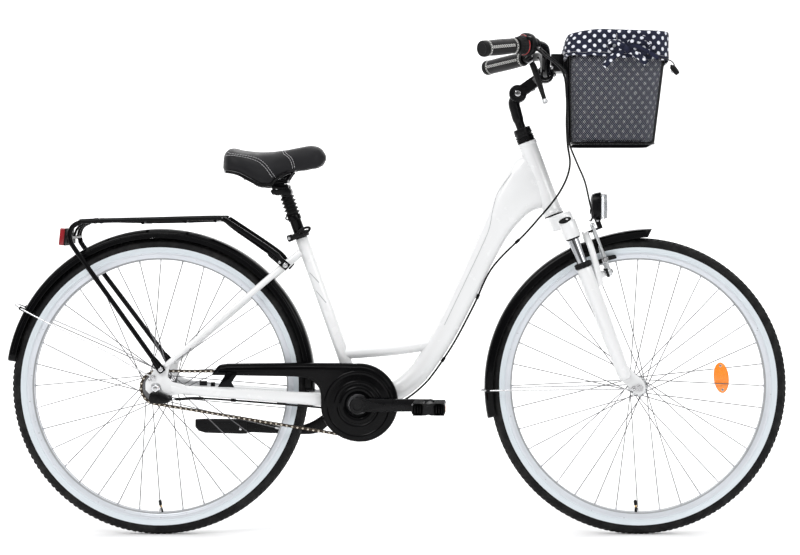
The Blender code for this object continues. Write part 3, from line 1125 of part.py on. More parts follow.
# --------------------------------------------------------------- the cables
def cable(name, pts, r, per_m, body=None):
    """Tube along one smooth curve, with straight-sided facets and end caps."""
    fine = smooth_path(pts, step=0.004)
    total = [0.0]
    for a, b in zip(fine, fine[1:]):
        total.append(total[-1] + (b - a).length)
    count = max(8, int(total[-1] * per_m))
    out, j = [], 0
    for k in range(count + 1):
        d = total[-1] * k / count
        while j < len(fine) - 2 and total[j + 1] < d:
            j += 1
        t = (d - total[j]) / max(1e-9, total[j + 1] - total[j])
        out.append(fine[j].lerp(fine[j + 1], min(1.0, t)))
    cu = bpy.data.curves.new(name, "CURVE")
    cu.dimensions = "3D"
    sp = cu.splines.new("POLY")
    sp.points.add(len(out) - 1)
    at = PIVOTS[body][1] if body else V(0, 0, 0)
    for q, p in zip(sp.points, out):
        q.co = (*(p - at), 1.0)
    cu.bevel_depth = r
    cu.bevel_resolution = 1
    cu.use_fill_caps = True
    cu.materials.append(M_CABLE)
    ob = bpy.data.objects.new(name, cu)
    bpy.context.scene.collection.objects.link(ob)
    if body:
        ob.parent = PIVOTS[body][0]
    return ob


def under(i, extra, y):
    """Point just below the main tube's lower edge at its station i."""
    x0, z0, h, _ = MAIN[i]
    a, b = MAIN[i - 1], MAIN[i + 1]
    t = Vector((b[0] - a[0], b[1] - a[1])).normalized()
    nrm = Vector((-t.y, t.x))
    if nrm.y > 0:
        nrm = -nrm
    return V(X(x0 + nrm.x * (h + extra)), y, z0 + nrm.y * (h + extra))


gp, gt = on_bar(0.1375, -1)
fwd_g = (V(1, 0, -0.25) - gt * V(1, 0, -0.25).dot(gt)).normalized()
gear_pts = [gp + fwd_g * 0.0275, gp + fwd_g * 0.0480 + V(0, 0, -0.004), V(X(0.3830), -0.1820, 1.0850),
            V(X(0.3930), -0.1740, 1.0250), V(X(0.3930), -0.1640, 0.9650), V(X(0.3960), -0.1450, 0.9180),
            V(X(0.4020), -0.1180, 0.8800), V(X(0.3970), -0.0900, 0.8480), V(X(0.3820), -0.0640, 0.8150),
            V(X(0.3600), -0.0440, 0.7830), V(X(0.3300), -0.0320, 0.7480), V(X(0.2980), -0.0220, 0.7120)]
gear_pts += [under(5, 0.0040, -0.0100)] + [under(i, 0.0040, -0.0060) for i in (6, 7, 8, 9, 10)]
gear_pts += [V(X(-0.0440), -0.0080, 0.2950), V(X(-0.0935), -0.0140, 0.2850), V(X(-0.1400), -0.0270, 0.2960),
             V(X(-0.1900), -0.0360, 0.3030), V(X(-0.2600), -0.0440, 0.3100), V(X(-0.3870), -0.0550, 0.3212),
             V(X(-0.4700), -0.0640, 0.3270), V(X(-0.5050), -0.0770, 0.3262), V(X(-0.5305), -0.0820, 0.3260)]
cable("gear_cable", gear_pts, 0.0024, 34)

cp, ct = on_bar(0.1640, -1)
fwd_c = (V(1, 0, -0.55) - ct * V(1, 0, -0.55).dot(ct)).normalized()
arm_top = steer(0.0455, 0.0765)
brake_pts = [cp + fwd_c * 0.0180, cp + fwd_c * 0.0400, V(X(0.3910), -0.1620, 1.0850), V(X(0.3940), -0.1560, 1.0250),
             V(X(0.3940), -0.1500, 0.9700), V(X(0.4010), -0.1340, 0.9200), V(X(0.4180), -0.1120, 0.8780),
             V(X(0.4370), -0.0920, 0.8350), V(X(0.4480), -0.0800, 0.7900), V(X(0.4560), -0.0720, 0.7560),
             arm_top + V(0, -0.0560, 0.0020), arm_top + V(0, -0.0300, 0.0), arm_top + V(0, 0.0, 0.0),
             arm_top + V(0, 0.0480, 0.0)]
cable("brake_cable", brake_pts, 0.0022, 34, "steering")
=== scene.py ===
"""Looks of the city bike: finishes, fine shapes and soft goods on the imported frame."""
import json
import math
import random

import bmesh
import bpy
from mathutils import Matrix, Vector
from mathutils.bvhtree import BVHTree


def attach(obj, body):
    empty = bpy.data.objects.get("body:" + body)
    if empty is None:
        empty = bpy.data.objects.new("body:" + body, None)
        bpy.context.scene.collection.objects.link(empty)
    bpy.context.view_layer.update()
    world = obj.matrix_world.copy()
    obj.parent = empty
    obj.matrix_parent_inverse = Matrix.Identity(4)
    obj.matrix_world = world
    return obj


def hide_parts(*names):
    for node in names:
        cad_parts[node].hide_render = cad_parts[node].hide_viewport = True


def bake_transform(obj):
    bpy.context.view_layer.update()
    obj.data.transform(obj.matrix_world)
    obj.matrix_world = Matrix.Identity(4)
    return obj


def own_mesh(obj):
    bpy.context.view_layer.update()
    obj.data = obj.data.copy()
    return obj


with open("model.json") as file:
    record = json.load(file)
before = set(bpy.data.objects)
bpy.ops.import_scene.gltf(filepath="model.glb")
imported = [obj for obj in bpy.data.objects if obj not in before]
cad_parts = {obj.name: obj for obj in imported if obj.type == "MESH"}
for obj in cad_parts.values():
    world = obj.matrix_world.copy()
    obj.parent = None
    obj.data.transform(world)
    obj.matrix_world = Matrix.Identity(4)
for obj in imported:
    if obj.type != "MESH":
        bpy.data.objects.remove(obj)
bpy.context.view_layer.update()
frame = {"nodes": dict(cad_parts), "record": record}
NODES = frame["nodes"]

# ------------------------------------------------------- camera and studio
DX = 0.0052
SCN = bpy.context.scene
cam = bpy.data.objects.new("camera", bpy.data.cameras.new("camera"))
SCN.collection.objects.link(cam)
cam.location = (0.2843 + DX, -4.9, 0.7556)
cam.rotation_euler = (math.radians(90), 0, 0)
cam.data.lens = 92.85
cam.data.shift_x = -0.1490
cam.data.shift_y = -0.0777
cam.data.sensor_width = 36.0
cam.data.sensor_fit = "HORIZONTAL"
cam.data.clip_end = 60
SCN.camera = cam


def V(x, y, z):
    return Vector((x, y, z))


def X(x):
    return x + DX


def area(name, at, to, size, power, colour=(1, 1, 1), size_y=None):
    li = bpy.data.lights.new(name, "AREA")
    li.energy = power
    li.color = colour
    li.shape = "RECTANGLE"
    li.size = size
    li.size_y = size_y or size
    ob = bpy.data.objects.new(name, li)
    ob.location = at
    ob.rotation_euler = (Vector(to) - Vector(at)).to_track_quat("-Z", "Y").to_euler()
    SCN.collection.objects.link(ob)
    return ob


area("key", (-1.7, -2.7, 3.1), (0, 0, 0.5), 2.0, 58, size_y=1.4)
area("fill", (2.7, -2.5, 2.2), (0.2, 0, 0.6), 1.8, 27, size_y=1.2)
area("back", (0.4, 2.9, 2.8), (0, 0, 0.6), 2.6, 21, size_y=1.2)
area("top", (0.0, 0.1, 3.6), (0, 0, 0), 2.8, 25, size_y=1.4)

world = bpy.data.worlds.new("studio")
world.use_nodes = True
wt = world.node_tree
way = wt.nodes.new("ShaderNodeSeparateXYZ")
wt.links.new(wt.nodes.new("ShaderNodeTexCoord").outputs["Generated"], way.inputs["Vector"])


def sky(axis, a, b, lo, hi):
    r = wt.nodes.new("ShaderNodeMapRange")
    r.interpolation_type = "SMOOTHSTEP"
    for n, v in zip(("From Min", "From Max", "To Min", "To Max"), (a, b, lo, hi)):
        r.inputs[n].default_value = v
    wt.links.new(way.outputs[axis], r.inputs["Value"])
    return r.outputs["Result"]


def join(kind, a, b):
    n = wt.nodes.new("ShaderNodeMath")
    n.operation = kind
    for k, v in enumerate((a, b)):
        if isinstance(v, float):
            n.inputs[k].default_value = v
        else:
            wt.links.new(v, n.inputs[k])
    return n.outputs["Value"]


# a pale ceiling, a dim room in front and paler sides
glow = join("ADD", sky("Z", 0.05, 0.75, 0.0, 0.68), sky("Y", -0.75, 0.35, 0.13, 0.39))
wt.links.new(glow, wt.nodes["Background"].inputs["Strength"])
wt.nodes["Background"].inputs["Color"].default_value = (1.0, 1.0, 1.0, 1)
SCN.world = world
SCN.view_settings.view_transform = "Standard"
SCN.view_settings.look = "None"
SCN.view_settings.exposure = 0.20
SCN.view_settings.gamma = 1.0


# ------------------------------------------------------------------- finishes
def tree(name):
    m = bpy.data.materials.new(name)
    m.use_nodes = True
    nt = m.node_tree
    return m, nt, nt.nodes["Principled BSDF"]


def node(nt, kind, **kw):
    n = nt.nodes.new(kind)
    for k, v in kw.items():
        if k in n.inputs:
            n.inputs[k].default_value = v
        else:
            setattr(n, k, v)
    return n


def coords(nt, stretch=None):
    tc = nt.nodes.new("ShaderNodeTexCoord")
    if stretch is None:
        return tc.outputs["Object"]
    mp = nt.nodes.new("ShaderNodeMapping")
    mp.inputs["Scale"].default_value = stretch
    nt.links.new(tc.outputs["Object"], mp.inputs["Vector"])
    return mp.outputs["Vector"]


def noise(nt, vec, scale, detail=3.0, rough=0.55):
    n = nt.nodes.new("ShaderNodeTexNoise")
    n.inputs["Scale"].default_value = scale
    n.inputs["Detail"].default_value = detail
    n.inputs["Roughness"].default_value = rough
    nt.links.new(vec, n.inputs["Vector"])
    return n.outputs["Fac"]


def ramp(nt, fac, stops, interp="LINEAR"):
    r = nt.nodes.new("ShaderNodeValToRGB")
    r.color_ramp.interpolation = interp
    e = r.color_ramp.elements
    while len(e) < len(stops):
        e.new(0.5)
    for el, (p, c) in zip(e, stops):
        el.position = p
        el.color = (*c, 1) if len(c) == 3 else c
    nt.links.new(fac, r.inputs["Fac"])
    return r.outputs["Color"]


def span(nt, fac, lo, hi, a=0.3, b=0.7):
    r = nt.nodes.new("ShaderNodeMapRange")
    r.inputs["From Min"].default_value = a
    r.inputs["From Max"].default_value = b
    r.inputs["To Min"].default_value = lo
    r.inputs["To Max"].default_value = hi
    nt.links.new(fac, r.inputs["Value"])
    return r.outputs["Result"]


def bump(nt, bsdf, height, strength, dist=0.001, normal=None):
    b = nt.nodes.new("ShaderNodeBump")
    b.inputs["Strength"].default_value = strength
    b.inputs["Distance"].default_value = dist
    nt.links.new(height, b.inputs["Height"])
    if normal is not None:
        nt.links.new(normal, b.inputs["Normal"])
    if bsdf is not None:
        nt.links.new(b.outputs["Normal"], bsdf.inputs["Normal"])
    return b.outputs["Normal"]


def mul(c, k):
    return tuple(min(1.0, x * k) for x in c)


def finish_of(name, colour, rough=0.4, metal=0.0, var=0.06, vscale=22, rvar=0.06, rscale=70, bscale=500, bstr=0.04,
              bdist=0.0004, coat=0.0, coat_rough=0.06, spec=0.5, stretch=None, sheen=0.0, grime=None):
    """Painted, moulded or metal surface with cloudy colour, uneven gloss and a
    fine surface texture."""
    m, nt, b = tree(name)
    vec = coords(nt, stretch)
    base = ramp(nt, noise(nt, vec, vscale, 4), [(0.25, mul(colour, 1 - var)), (0.75, mul(colour, 1 + var))])
    if grime:
        mix = nt.nodes.new("ShaderNodeMix")
        mix.data_type = "RGBA"
        nt.links.new(span(nt, noise(nt, vec, grime[1], 6, 0.7), 0.0, grime[2], 0.45, 0.75), mix.inputs["Factor"])
        nt.links.new(base, mix.inputs["A"])
        mix.inputs["B"].default_value = (*grime[0], 1)
        base = mix.outputs["Result"]
    nt.links.new(base, b.inputs["Base Color"])
    nt.links.new(span(nt, noise(nt, vec, rscale, 4), max(0.02, rough - rvar), min(1.0, rough + rvar)), b.inputs["Roughness"])
    b.inputs["Metallic"].default_value = metal
    b.inputs["Specular IOR Level"].default_value = spec
    if coat:
        b.inputs["Coat Weight"].default_value = coat
        b.inputs["Coat Roughness"].default_value = coat_rough
    if sheen:
        b.inputs["Sheen Weight"].default_value = sheen
        b.inputs["Sheen Roughness"].default_value = 0.5
    if bstr:
        bump(nt, b, noise(nt, vec, bscale, 3), bstr, bdist)
    return m


WHITE = (0.72, 0.725, 0.73)
M = {}
M["paint"] = finish_of("frame_white", WHITE, 0.24, var=0.015, vscale=9, rvar=0.05, rscale=40, bscale=90, bstr=0.02,
                       bdist=0.0006, coat=0.6, coat_rough=0.05)
M["black"] = finish_of("black_paint", (0.0020, 0.0020, 0.0023), 0.10, spec=0.10, var=0.25, vscale=14, rvar=0.07, rscale=55, bscale=140,
                       bstr=0.03, bdist=0.0004)
M["satin"] = finish_of("black_satin", (0.0030, 0.0030, 0.0035), 0.30, spec=0.15, var=0.2, rvar=0.08, bscale=900, bstr=0.12, bdist=0.0002)
M["matt"] = finish_of("black_moulding", (0.006, 0.006, 0.0065), 0.48, spec=0.16, var=0.2, rvar=0.08, bscale=1400, bstr=0.3, bdist=0.0002)
M["rubber"] = finish_of("tyre_rubber", (0.005, 0.005, 0.0055), 0.62, spec=0.14, var=0.25, vscale=60, rvar=0.1, bscale=1500, bstr=0.5,
                        bdist=0.0003, grime=((0.035, 0.034, 0.032), 30, 0.5))
M["wall"] = finish_of("tyre_sidewall", (0.60, 0.65, 0.685), 0.48, var=0.02, vscale=30, rvar=0.06, bscale=1200, bstr=0.2,
                      bdist=0.0002)
M["rim"] = finish_of("rim_silver", (0.62, 0.645, 0.685), 0.34, metal=0.35, var=0.03, rvar=0.07, rscale=120, bscale=900,
                     bstr=0.06, bdist=0.0002)
M["steel"] = finish_of("bright_steel", (0.62, 0.62, 0.63), 0.25, metal=1.0, var=0.08, rvar=0.09, bscale=700, bstr=0.08)
M["dark"] = finish_of("dark_steel", (0.16, 0.16, 0.165), 0.34, metal=1.0, var=0.2, rvar=0.1, bscale=600, bstr=0.12)
M["chrome"] = finish_of("chrome_plate", (0.84, 0.85, 0.87), 0.07, metal=1.0, var=0.02, rvar=0.035, bscale=300, bstr=0.01)
M["stanchion"] = finish_of("fork_tube_chrome", (0.42, 0.43, 0.45), 0.10, metal=1.0, var=0.03, rvar=0.04, bscale=300, bstr=0.01)
M["alloy"] = finish_of("satin_alloy", (0.58, 0.59, 0.60), 0.33, metal=1.0, var=0.06, rvar=0.08, bscale=800, bstr=0.12,
                       stretch=(1, 1, 4))
M["spoke"] = finish_of("spoke_wire", (0.12, 0.12, 0.125), 0.34, metal=0.7, var=0.08, rvar=0.08, bstr=0.0)
M["brass"] = finish_of("brass", (0.72, 0.50, 0.22), 0.25, metal=1.0, var=0.06, rvar=0.08, bstr=0.05)
M["bronze"] = finish_of("chain_bronze", (0.060, 0.048, 0.038), 0.36, metal=1.0, var=0.25, vscale=220, rvar=0.1, bstr=0.15,
                        grime=((0.05, 0.04, 0.03), 160, 0.6))
M["link"] = finish_of("chain_link", (0.60, 0.55, 0.47), 0.28, metal=1.0, var=0.2, vscale=220, rvar=0.1, bstr=0.12)
M["wire"] = finish_of("basket_wire", (0.004, 0.004, 0.0045), 0.85, spec=0.0, var=0.2, rvar=0.06, bscale=900, bstr=0.2, bdist=0.0002)
M["cable"] = finish_of("cable_sheath", (0.003, 0.003, 0.0035), 0.36, spec=0.2, var=0.2, rvar=0.06, bscale=1500, bstr=0.15, bdist=0.0002)
M["grey"] = finish_of("grey_line", (0.30, 0.31, 0.32), 0.4, var=0.05, bstr=0.02)
M["pad"] = finish_of("brake_pad", (0.03, 0.03, 0.032), 0.75, var=0.2, bscale=900, bstr=0.5)
M["red"] = finish_of("red_lens", (0.45, 0.012, 0.012), 0.14, var=0.15, vscale=60, rvar=0.05, bscale=260, bstr=0.2, coat=0.8)
M["lamp_red"] = finish_of("rear_lamp_red", (0.26, 0.010, 0.016), 0.16, var=0.15, vscale=60, rvar=0.05, bscale=260, bstr=0.2, coat=0.7)
M["shell_red"] = M["red"]


def plain(m, **kw):
    b = m.node_tree.nodes["Principled BSDF"]
    for k, v in kw.items():
        b.inputs[k].default_value = v
    return m


def orange_lens():
    m, nt, b = tree("orange_reflector")
    vec = coords(nt)
    vo = node(nt, "ShaderNodeTexVoronoi", Scale=420.0)
    vo.feature = "F1"
    nt.links.new(vec, vo.inputs["Vector"])
    nt.links.new(ramp(nt, vo.outputs["Distance"], [(0.0, (1.0, 0.36, 0.02)), (0.55, (0.92, 0.22, 0.005))]),
                 b.inputs["Base Color"])
    nt.links.new(span(nt, noise(nt, vec, 90), 0.12, 0.24), b.inputs["Roughness"])
    b.inputs["Coat Weight"].default_value = 0.8
    b.inputs["Coat Roughness"].default_value = 0.04
    bump(nt, b, vo.outputs["Distance"], 0.5, 0.0008)
    return m


def lamp_lens():
    m, nt, b = tree("clear_lens")
    vec = coords(nt)
    w = node(nt, "ShaderNodeTexWave", Scale=95.0)
    w.bands_direction = "Y"
    nt.links.new(vec, w.inputs["Vector"])
    nt.links.new(ramp(nt, w.outputs["Fac"], [(0.0, (0.78, 0.81, 0.84)), (1.0, (0.93, 0.95, 0.97))]), b.inputs["Base Color"])
    nt.links.new(span(nt, noise(nt, vec, 150), 0.04, 0.12), b.inputs["Roughness"])
    b.inputs["Transmission Weight"].default_value = 0.75
    b.inputs["IOR"].default_value = 1.49
    bump(nt, b, w.outputs["Fac"], 0.35, 0.001)
    return m


def leather():
    m, nt, b = tree("saddle_leather")
    vec = coords(nt)
    vo = node(nt, "ShaderNodeTexVoronoi", Scale=520.0)
    vo.feature = "DISTANCE_TO_EDGE"
    nt.links.new(vec, vo.inputs["Vector"])
    big = noise(nt, vec, 14, 5)
    nt.links.new(ramp(nt, big, [(0.3, (0.0055, 0.0055, 0.0066)), (0.7, (0.0100, 0.0100, 0.0116))]), b.inputs["Base Color"])
    nt.links.new(span(nt, noise(nt, vec, 60, 5), 0.42, 0.58), b.inputs["Roughness"])
    b.inputs["Specular IOR Level"].default_value = 0.16
    b.inputs["Sheen Weight"].default_value = 0.06
    b.inputs["Sheen Roughness"].default_value = 0.45
    n1 = bump(nt, None, vo.outputs["Distance"], 0.28, 0.0004)
    bump(nt, b, noise(nt, vec, 90, 5), 0.16, 0.0008, n1)
    return m


def grip_hide():
    m, nt, b = tree("grip_leather")
    vec = coords(nt)
    vo = node(nt, "ShaderNodeTexVoronoi", Scale=700.0)
    vo.feature = "DISTANCE_TO_EDGE"
    nt.links.new(vec, vo.inputs["Vector"])
    nt.links.new(ramp(nt, noise(nt, vec, 40, 5), [(0.3, (0.006, 0.006, 0.0065)), (0.7, (0.012, 0.0115, 0.0115))]),
                 b.inputs["Base Color"])
    nt.links.new(span(nt, noise(nt, vec, 120, 4), 0.36, 0.54), b.inputs["Roughness"])
    b.inputs["Specular IOR Level"].default_value = 0.22
    bump(nt, b, vo.outputs["Distance"], 0.35, 0.0003)
    return m


def cloth(name, base, dot, pitch=0.0, backlit_to=0.0):
    """Woven cotton, with white dots where a pitch is given: the dots come from
    the piece's own flat pattern, kept on the mesh as its UV map."""
    m, nt, b = tree(name)
    vec = coords(nt)
    uv = nt.nodes.new("ShaderNodeUVMap")
    uv.uv_map = "flat"
    wx = node(nt, "ShaderNodeTexWave", Scale=420.0)
    wx.bands_direction = "X"
    wy = node(nt, "ShaderNodeTexWave", Scale=420.0)
    wy.bands_direction = "Y"
    nt.links.new(uv.outputs["UV"], wx.inputs["Vector"])
    nt.links.new(uv.outputs["UV"], wy.inputs["Vector"])
    add_ = node(nt, "ShaderNodeMath", operation="ADD")
    nt.links.new(wx.outputs["Fac"], add_.inputs[0])
    nt.links.new(wy.outputs["Fac"], add_.inputs[1])
    col = ramp(nt, noise(nt, vec, 40, 4), [(0.3, mul(base, 0.8)), (0.7, mul(base, 1.25))])
    if pitch:
        sep = nt.nodes.new("ShaderNodeSeparateXYZ")
        nt.links.new(uv.outputs["UV"], sep.inputs[0])

        def op(kind, a, bb=None):
            n = nt.nodes.new("ShaderNodeMath")
            n.operation = kind
            for i, v in ((0, a), (1, bb)):
                if v is None:
                    continue
                if isinstance(v, (int, float)):
                    n.inputs[i].default_value = v
                else:
                    nt.links.new(v, n.inputs[i])
            return n.outputs[0]
        u = op("MULTIPLY", sep.outputs[0], 1.0 / pitch)
        v = op("MULTIPLY", sep.outputs[1], 1.0 / pitch)
        masks = []
        for du in (0.0, 0.5):
            a = op("SUBTRACT", op("FRACT", op("ADD", u, du)), 0.5)
            c = op("SUBTRACT", op("FRACT", op("ADD", v, du)), 0.5)
            d = op("SQRT", op("ADD", op("MULTIPLY", a, a), op("MULTIPLY", c, c)))
            masks.append(op("LESS_THAN", d, dot / pitch / 2))
        mask = op("MAXIMUM", masks[0], masks[1])
        mix = nt.nodes.new("ShaderNodeMix")
        mix.data_type = "RGBA"
        nt.links.new(mask, mix.inputs["Factor"])
        nt.links.new(col, mix.inputs["A"])
        mix.inputs["B"].default_value = (0.72, 0.74, 0.80, 1)
        col = mix.outputs["Result"]
        if backlit_to:
            # below the cuff the cloth is one thin layer that light comes through; that light is painted into the colour
            # as a paler navy with paler dots
            backlit_mix = nt.nodes.new("ShaderNodeMix")
            backlit_mix.data_type = "RGBA"
            nt.links.new(mask, backlit_mix.inputs["Factor"])
            backlit_mix.inputs["A"].default_value = (0.30, 0.31, 0.38, 1)
            backlit_mix.inputs["B"].default_value = (0.78, 0.80, 0.84, 1)
            both_ = nt.nodes.new("ShaderNodeMix")
            both_.data_type = "RGBA"
            nt.links.new(op("MULTIPLY", op("LESS_THAN", sep.outputs[1], backlit_to), op("GREATER_THAN", sep.outputs[1], 0.078)), both_.inputs["Factor"])
            nt.links.new(col, both_.inputs["A"])
            nt.links.new(backlit_mix.outputs["Result"], both_.inputs["B"])
            col = both_.outputs["Result"]
    nt.links.new(col, b.inputs["Base Color"])
    nt.links.new(span(nt, noise(nt, vec, 90, 3), 0.78, 0.92), b.inputs["Roughness"])
    b.inputs["Specular IOR Level"].default_value = 0.2
    b.inputs["Sheen Weight"].default_value = 0.06
    b.inputs["Sheen Roughness"].default_value = 0.5
    n1 = bump(nt, None, add_.outputs[0], 0.22, 0.0003)
    bump(nt, b, noise(nt, vec, 70, 4), 0.25, 0.0012, n1)
    return m


def clear_rubber():
    m, nt, b = tree("clear_bumper")
    vec = coords(nt)
    nt.links.new(ramp(nt, noise(nt, vec, 120), [(0.3, (0.42, 0.44, 0.46)), (0.7, (0.62, 0.64, 0.66))]), b.inputs["Base Color"])
    nt.links.new(span(nt, noise(nt, vec, 200), 0.2, 0.35), b.inputs["Roughness"])
    b.inputs["Transmission Weight"].default_value = 0.5
    return m


M["orange"] = orange_lens()
M["lens"] = lamp_lens()
M["leather"] = leather()
M["hide"] = grip_hide()
M["dots"] = cloth("dotted_cotton", (0.012, 0.014, 0.030), 0.0078, 0.0220)
M["lining"] = cloth("lining_cotton", (0.012, 0.014, 0.030), 0.0078, 0.0220, 0.293)
M["navy"] = cloth("navy_cotton", (0.010, 0.012, 0.030), 0.0)
M["clear"] = clear_rubber()
M["thread"] = finish_of("stitching", (0.42, 0.42, 0.43), 0.7, var=0.12, vscale=400, bscale=1800, bstr=0.4)
M["lace"] = finish_of("lacing", (0.60, 0.60, 0.58), 0.6, var=0.12, vscale=300, bscale=1800, bstr=0.4)
M["floor"] = finish_of("studio_floor", (0.85, 0.85, 0.855), 0.7, var=0.006, vscale=2, bscale=30, bstr=0.02, spec=0.2)
_nt = M["floor"].node_tree
_sp = _nt.nodes.new("ShaderNodeSeparateXYZ")
_nt.links.new(coords(_nt), _sp.inputs["Vector"])
_b = _nt.nodes["Principled BSDF"]
_b.inputs["Emission Color"].default_value = (1, 1, 1, 1)
_nt.links.new(span(_nt, _sp.outputs["Y"], 0.05, 0.50, 0.4, 3.6), _b.inputs["Emission Strength"])


# --------------------------------------------------------------- mesh helpers
FRONT_X, REAR_X, AXLE_Z = 0.566 + DX, -0.566 + DX, 0.351
BB_X, BB_Z = -0.0935 + DX, 0.3115
CRANK, CHAIN_Y = 0.170, -0.049
RING_R, COG_R = 0.0770, 0.0386
HEAD_BOT, HEAD_TOP = (0.366 + DX, 0.7585), (0.302 + DX, 0.929)
STEER_U, STEER_N = (0.3514, -0.9362), (0.9362, 0.3514)
SEAT_V = (-0.3355, 0.9421)
BAR_R = 0.0112
HEAD_LEN = (Vector(HEAD_TOP) - Vector(HEAD_BOT)).length
UP, FWD = V(-STEER_U[0], 0, -STEER_U[1]), V(STEER_N[0], 0, STEER_N[1])
SV = V(SEAT_V[0], 0, SEAT_V[1])
SB = V(SEAT_V[1], 0, -SEAT_V[0])
YY = V(0, 1, 0)
pi = math.pi


def steer(s, p, y=0.0):
    return V(HEAD_BOT[0] + STEER_U[0] * s + STEER_N[0] * p, y, HEAD_BOT[1] + STEER_U[1] * s + STEER_N[1] * p)


def seat(s, p=0.0, y=0.0):
    return V(BB_X + SEAT_V[0] * s + SEAT_V[1] * p, y, BB_Z + SEAT_V[1] * s - SEAT_V[0] * p)


def out_mesh(bm, name="shape"):
    bmesh.ops.recalc_face_normals(bm, faces=bm.faces)
    if bm.calc_volume(signed=True) < 0:
        bmesh.ops.reverse_faces(bm, faces=bm.faces)
    me = bpy.data.meshes.new(name)
    bm.to_mesh(me)
    bm.free()
    return me


def loft(rings, closed=False, caps=True):
    n = len(rings[0])
    bm = bmesh.new()
    rows = [[bm.verts.new(p) for p in r] for r in rings]
    m = len(rings)
    for i in range(m if closed else m - 1):
        a, b = rows[i], rows[(i + 1) % m]
        for k in range(n):
            j = (k + 1) % n
            bm.faces.new((a[k], a[j], b[j], b[k]))
    if not closed and caps:
        bm.faces.new(rows[0])
        bm.faces.new(rows[-1])
    bmesh.ops.remove_doubles(bm, verts=bm.verts, dist=1e-7)
    return out_mesh(bm)


def frame_of(axis):
    z = Vector(axis).normalized()
    ref = V(0, 1, 0) if abs(z.y) < 0.9 else V(1, 0, 0)
    x = ref.cross(z).normalized()
    return x, z.cross(x).normalized(), z


def fillet(pts, r=0.0008, n=2, closed=False):
    """Corners of a polyline rounded off, so edges catch the light."""
    P = [Vector(p) for p in pts]
    m = len(P)
    out = []
    for i in range(m):
        if not closed and i in (0, m - 1):
            out.append(tuple(P[i]))
            continue
        a, b, c = P[i - 1], P[i], P[(i + 1) % m]
        u, w = a - b, c - b
        lu, lw = u.length, w.length
        if lu < 1e-9 or lw < 1e-9 or u.normalized().dot(w.normalized()) < -0.985:
            out.append(tuple(b))
            continue
        d = min(r, lu * 0.45, lw * 0.45)
        s, e = b + u * (d / lu), b + w * (d / lw)
        for k in range(n + 1):
            t = k / n
            out.append(tuple(s * (1 - t) ** 2 + b * (2 * t * (1 - t)) + e * t * t))
    return out


def turned(profile, origin, axis, seg=48, closed=True, fil=0.0006, phase=0.0):
    """Solid of revolution from (radius, distance) with its corners eased."""
    if fil:
        profile = fillet(profile, fil, 2, closed)
    x, y, z = frame_of(axis)
    o = Vector(origin)
    bm = bmesh.new()
    rows = []
    for r, h in profile:
        if r < 1e-7:
            rows.append([bm.verts.new(o + z * h)] * seg)
            continue
        rows.append([bm.verts.new(o + z * h + x * (r * math.cos(phase + 2 * pi * k / seg))
                                  + y * (r * math.sin(phase + 2 * pi * k / seg))) for k in range(seg)])
    m = len(rows)
    for i in range(m if closed else m - 1):
        a, b = rows[i], rows[(i + 1) % m]
        for k in range(seg):
            j = (k + 1) % seg
            quad = []
            for v in (a[k], a[j], b[j], b[k]):
                if v not in quad:
                    quad.append(v)
            if len(quad) >= 3:
                bm.faces.new(quad)
    return out_mesh(bm)


def rod(p, q, r, r2=None, seg=32, fil=0.0008):
    p, q = Vector(p), Vector(q)
    h = (q - p).length
    r2 = r if r2 is None else r2
    return turned([(0, 0), (r, 0), (r2, h), (0, h)], p, q - p, seg, closed=False, fil=fil)


def pipe(p, q, r_out, r_in, seg=40, fil=0.0006):
    p, q = Vector(p), Vector(q)
    h = (q - p).length
    return turned([(r_in, 0), (r_out, 0), (r_out, h), (r_in, h)], p, q - p, seg, fil=fil)


def hexa(p, q, r):
    """Hexagonal nut or bolt head with turned-down corners."""
    p, q = Vector(p), Vector(q)
    h = (q - p).length
    rows = [(0, 0), (r * 0.94, 0), (r, h * 0.12), (r, h * 0.86), (r * 0.90, h), (0, h)]
    return turned(rows, p, q - p, 6, closed=False, fil=0)


def smooth_path(points, step=None, per=6, closed=False):
    pts = [Vector(p) for p in points]
    n = len(pts)
    out = []
    for i in range(n if closed else n - 1):
        if closed:
            a, b, c, d = (pts[(i + k) % n] for k in (-1, 0, 1, 2))
        else:
            b, c = pts[i], pts[i + 1]
            a = pts[i - 1] if i else b + (b - c)
            d = pts[i + 2] if i + 2 < n else c + (c - b)
        k = per if step is None else max(1, int(round((c - b).length / step)))
        for j in range(k):
            t = j / k
            out.append(0.5 * ((2 * b) + (c - a) * t + (2 * a - 5 * b + 4 * c - d) * t * t
                              + (3 * b - a - 3 * c + d) * t * t * t))
    if not closed:
        out.append(pts[-1])
    return out


def sweep(path, sections, up=None, closed=False):
    path = [Vector(p) for p in path]
    n = len(path)
    rings, prev = [], None
    for i, p in enumerate(path):
        a = path[i - 1] if (i or closed) else p
        b = path[(i + 1) % n] if (i < n - 1 or closed) else p
        t = (b - a).normalized()
        if up is not None:
            side = Vector(up).cross(t).normalized()
        elif prev is None:
            side = frame_of(t)[0]
        else:
            side = (prev - t * prev.dot(t)).normalized()
        prev = side
        nrm = t.cross(side).normalized()
        sec = sections(i / max(1, n - 1)) if callable(sections) else sections
        rings.append([p + side * u + nrm * w for u, w in sec])
    return loft(rings, closed=closed)


def round_section(r, seg=16, rw=None):
    rw = r if rw is None else rw
    return [(r * math.cos(2 * pi * (k + 0.5) / seg), rw * math.sin(2 * pi * (k + 0.5) / seg)) for k in range(seg)]


def soft_box(w, h, r=0.25, n=5):
    """Rounded rectangle section, half sizes w and h."""
    pts = []
    rr = r * min(w, h) * 2
    for cx, cy, a0 in ((w - rr, h - rr, 0), (-w + rr, h - rr, 90), (-w + rr, -h + rr, 180), (w - rr, -h + rr, 270)):
        for i in range(n):
            a = math.radians(a0 + 90 * i / (n - 1))
            pts.append((cx + rr * math.cos(a), cy + rr * math.sin(a)))
    return pts


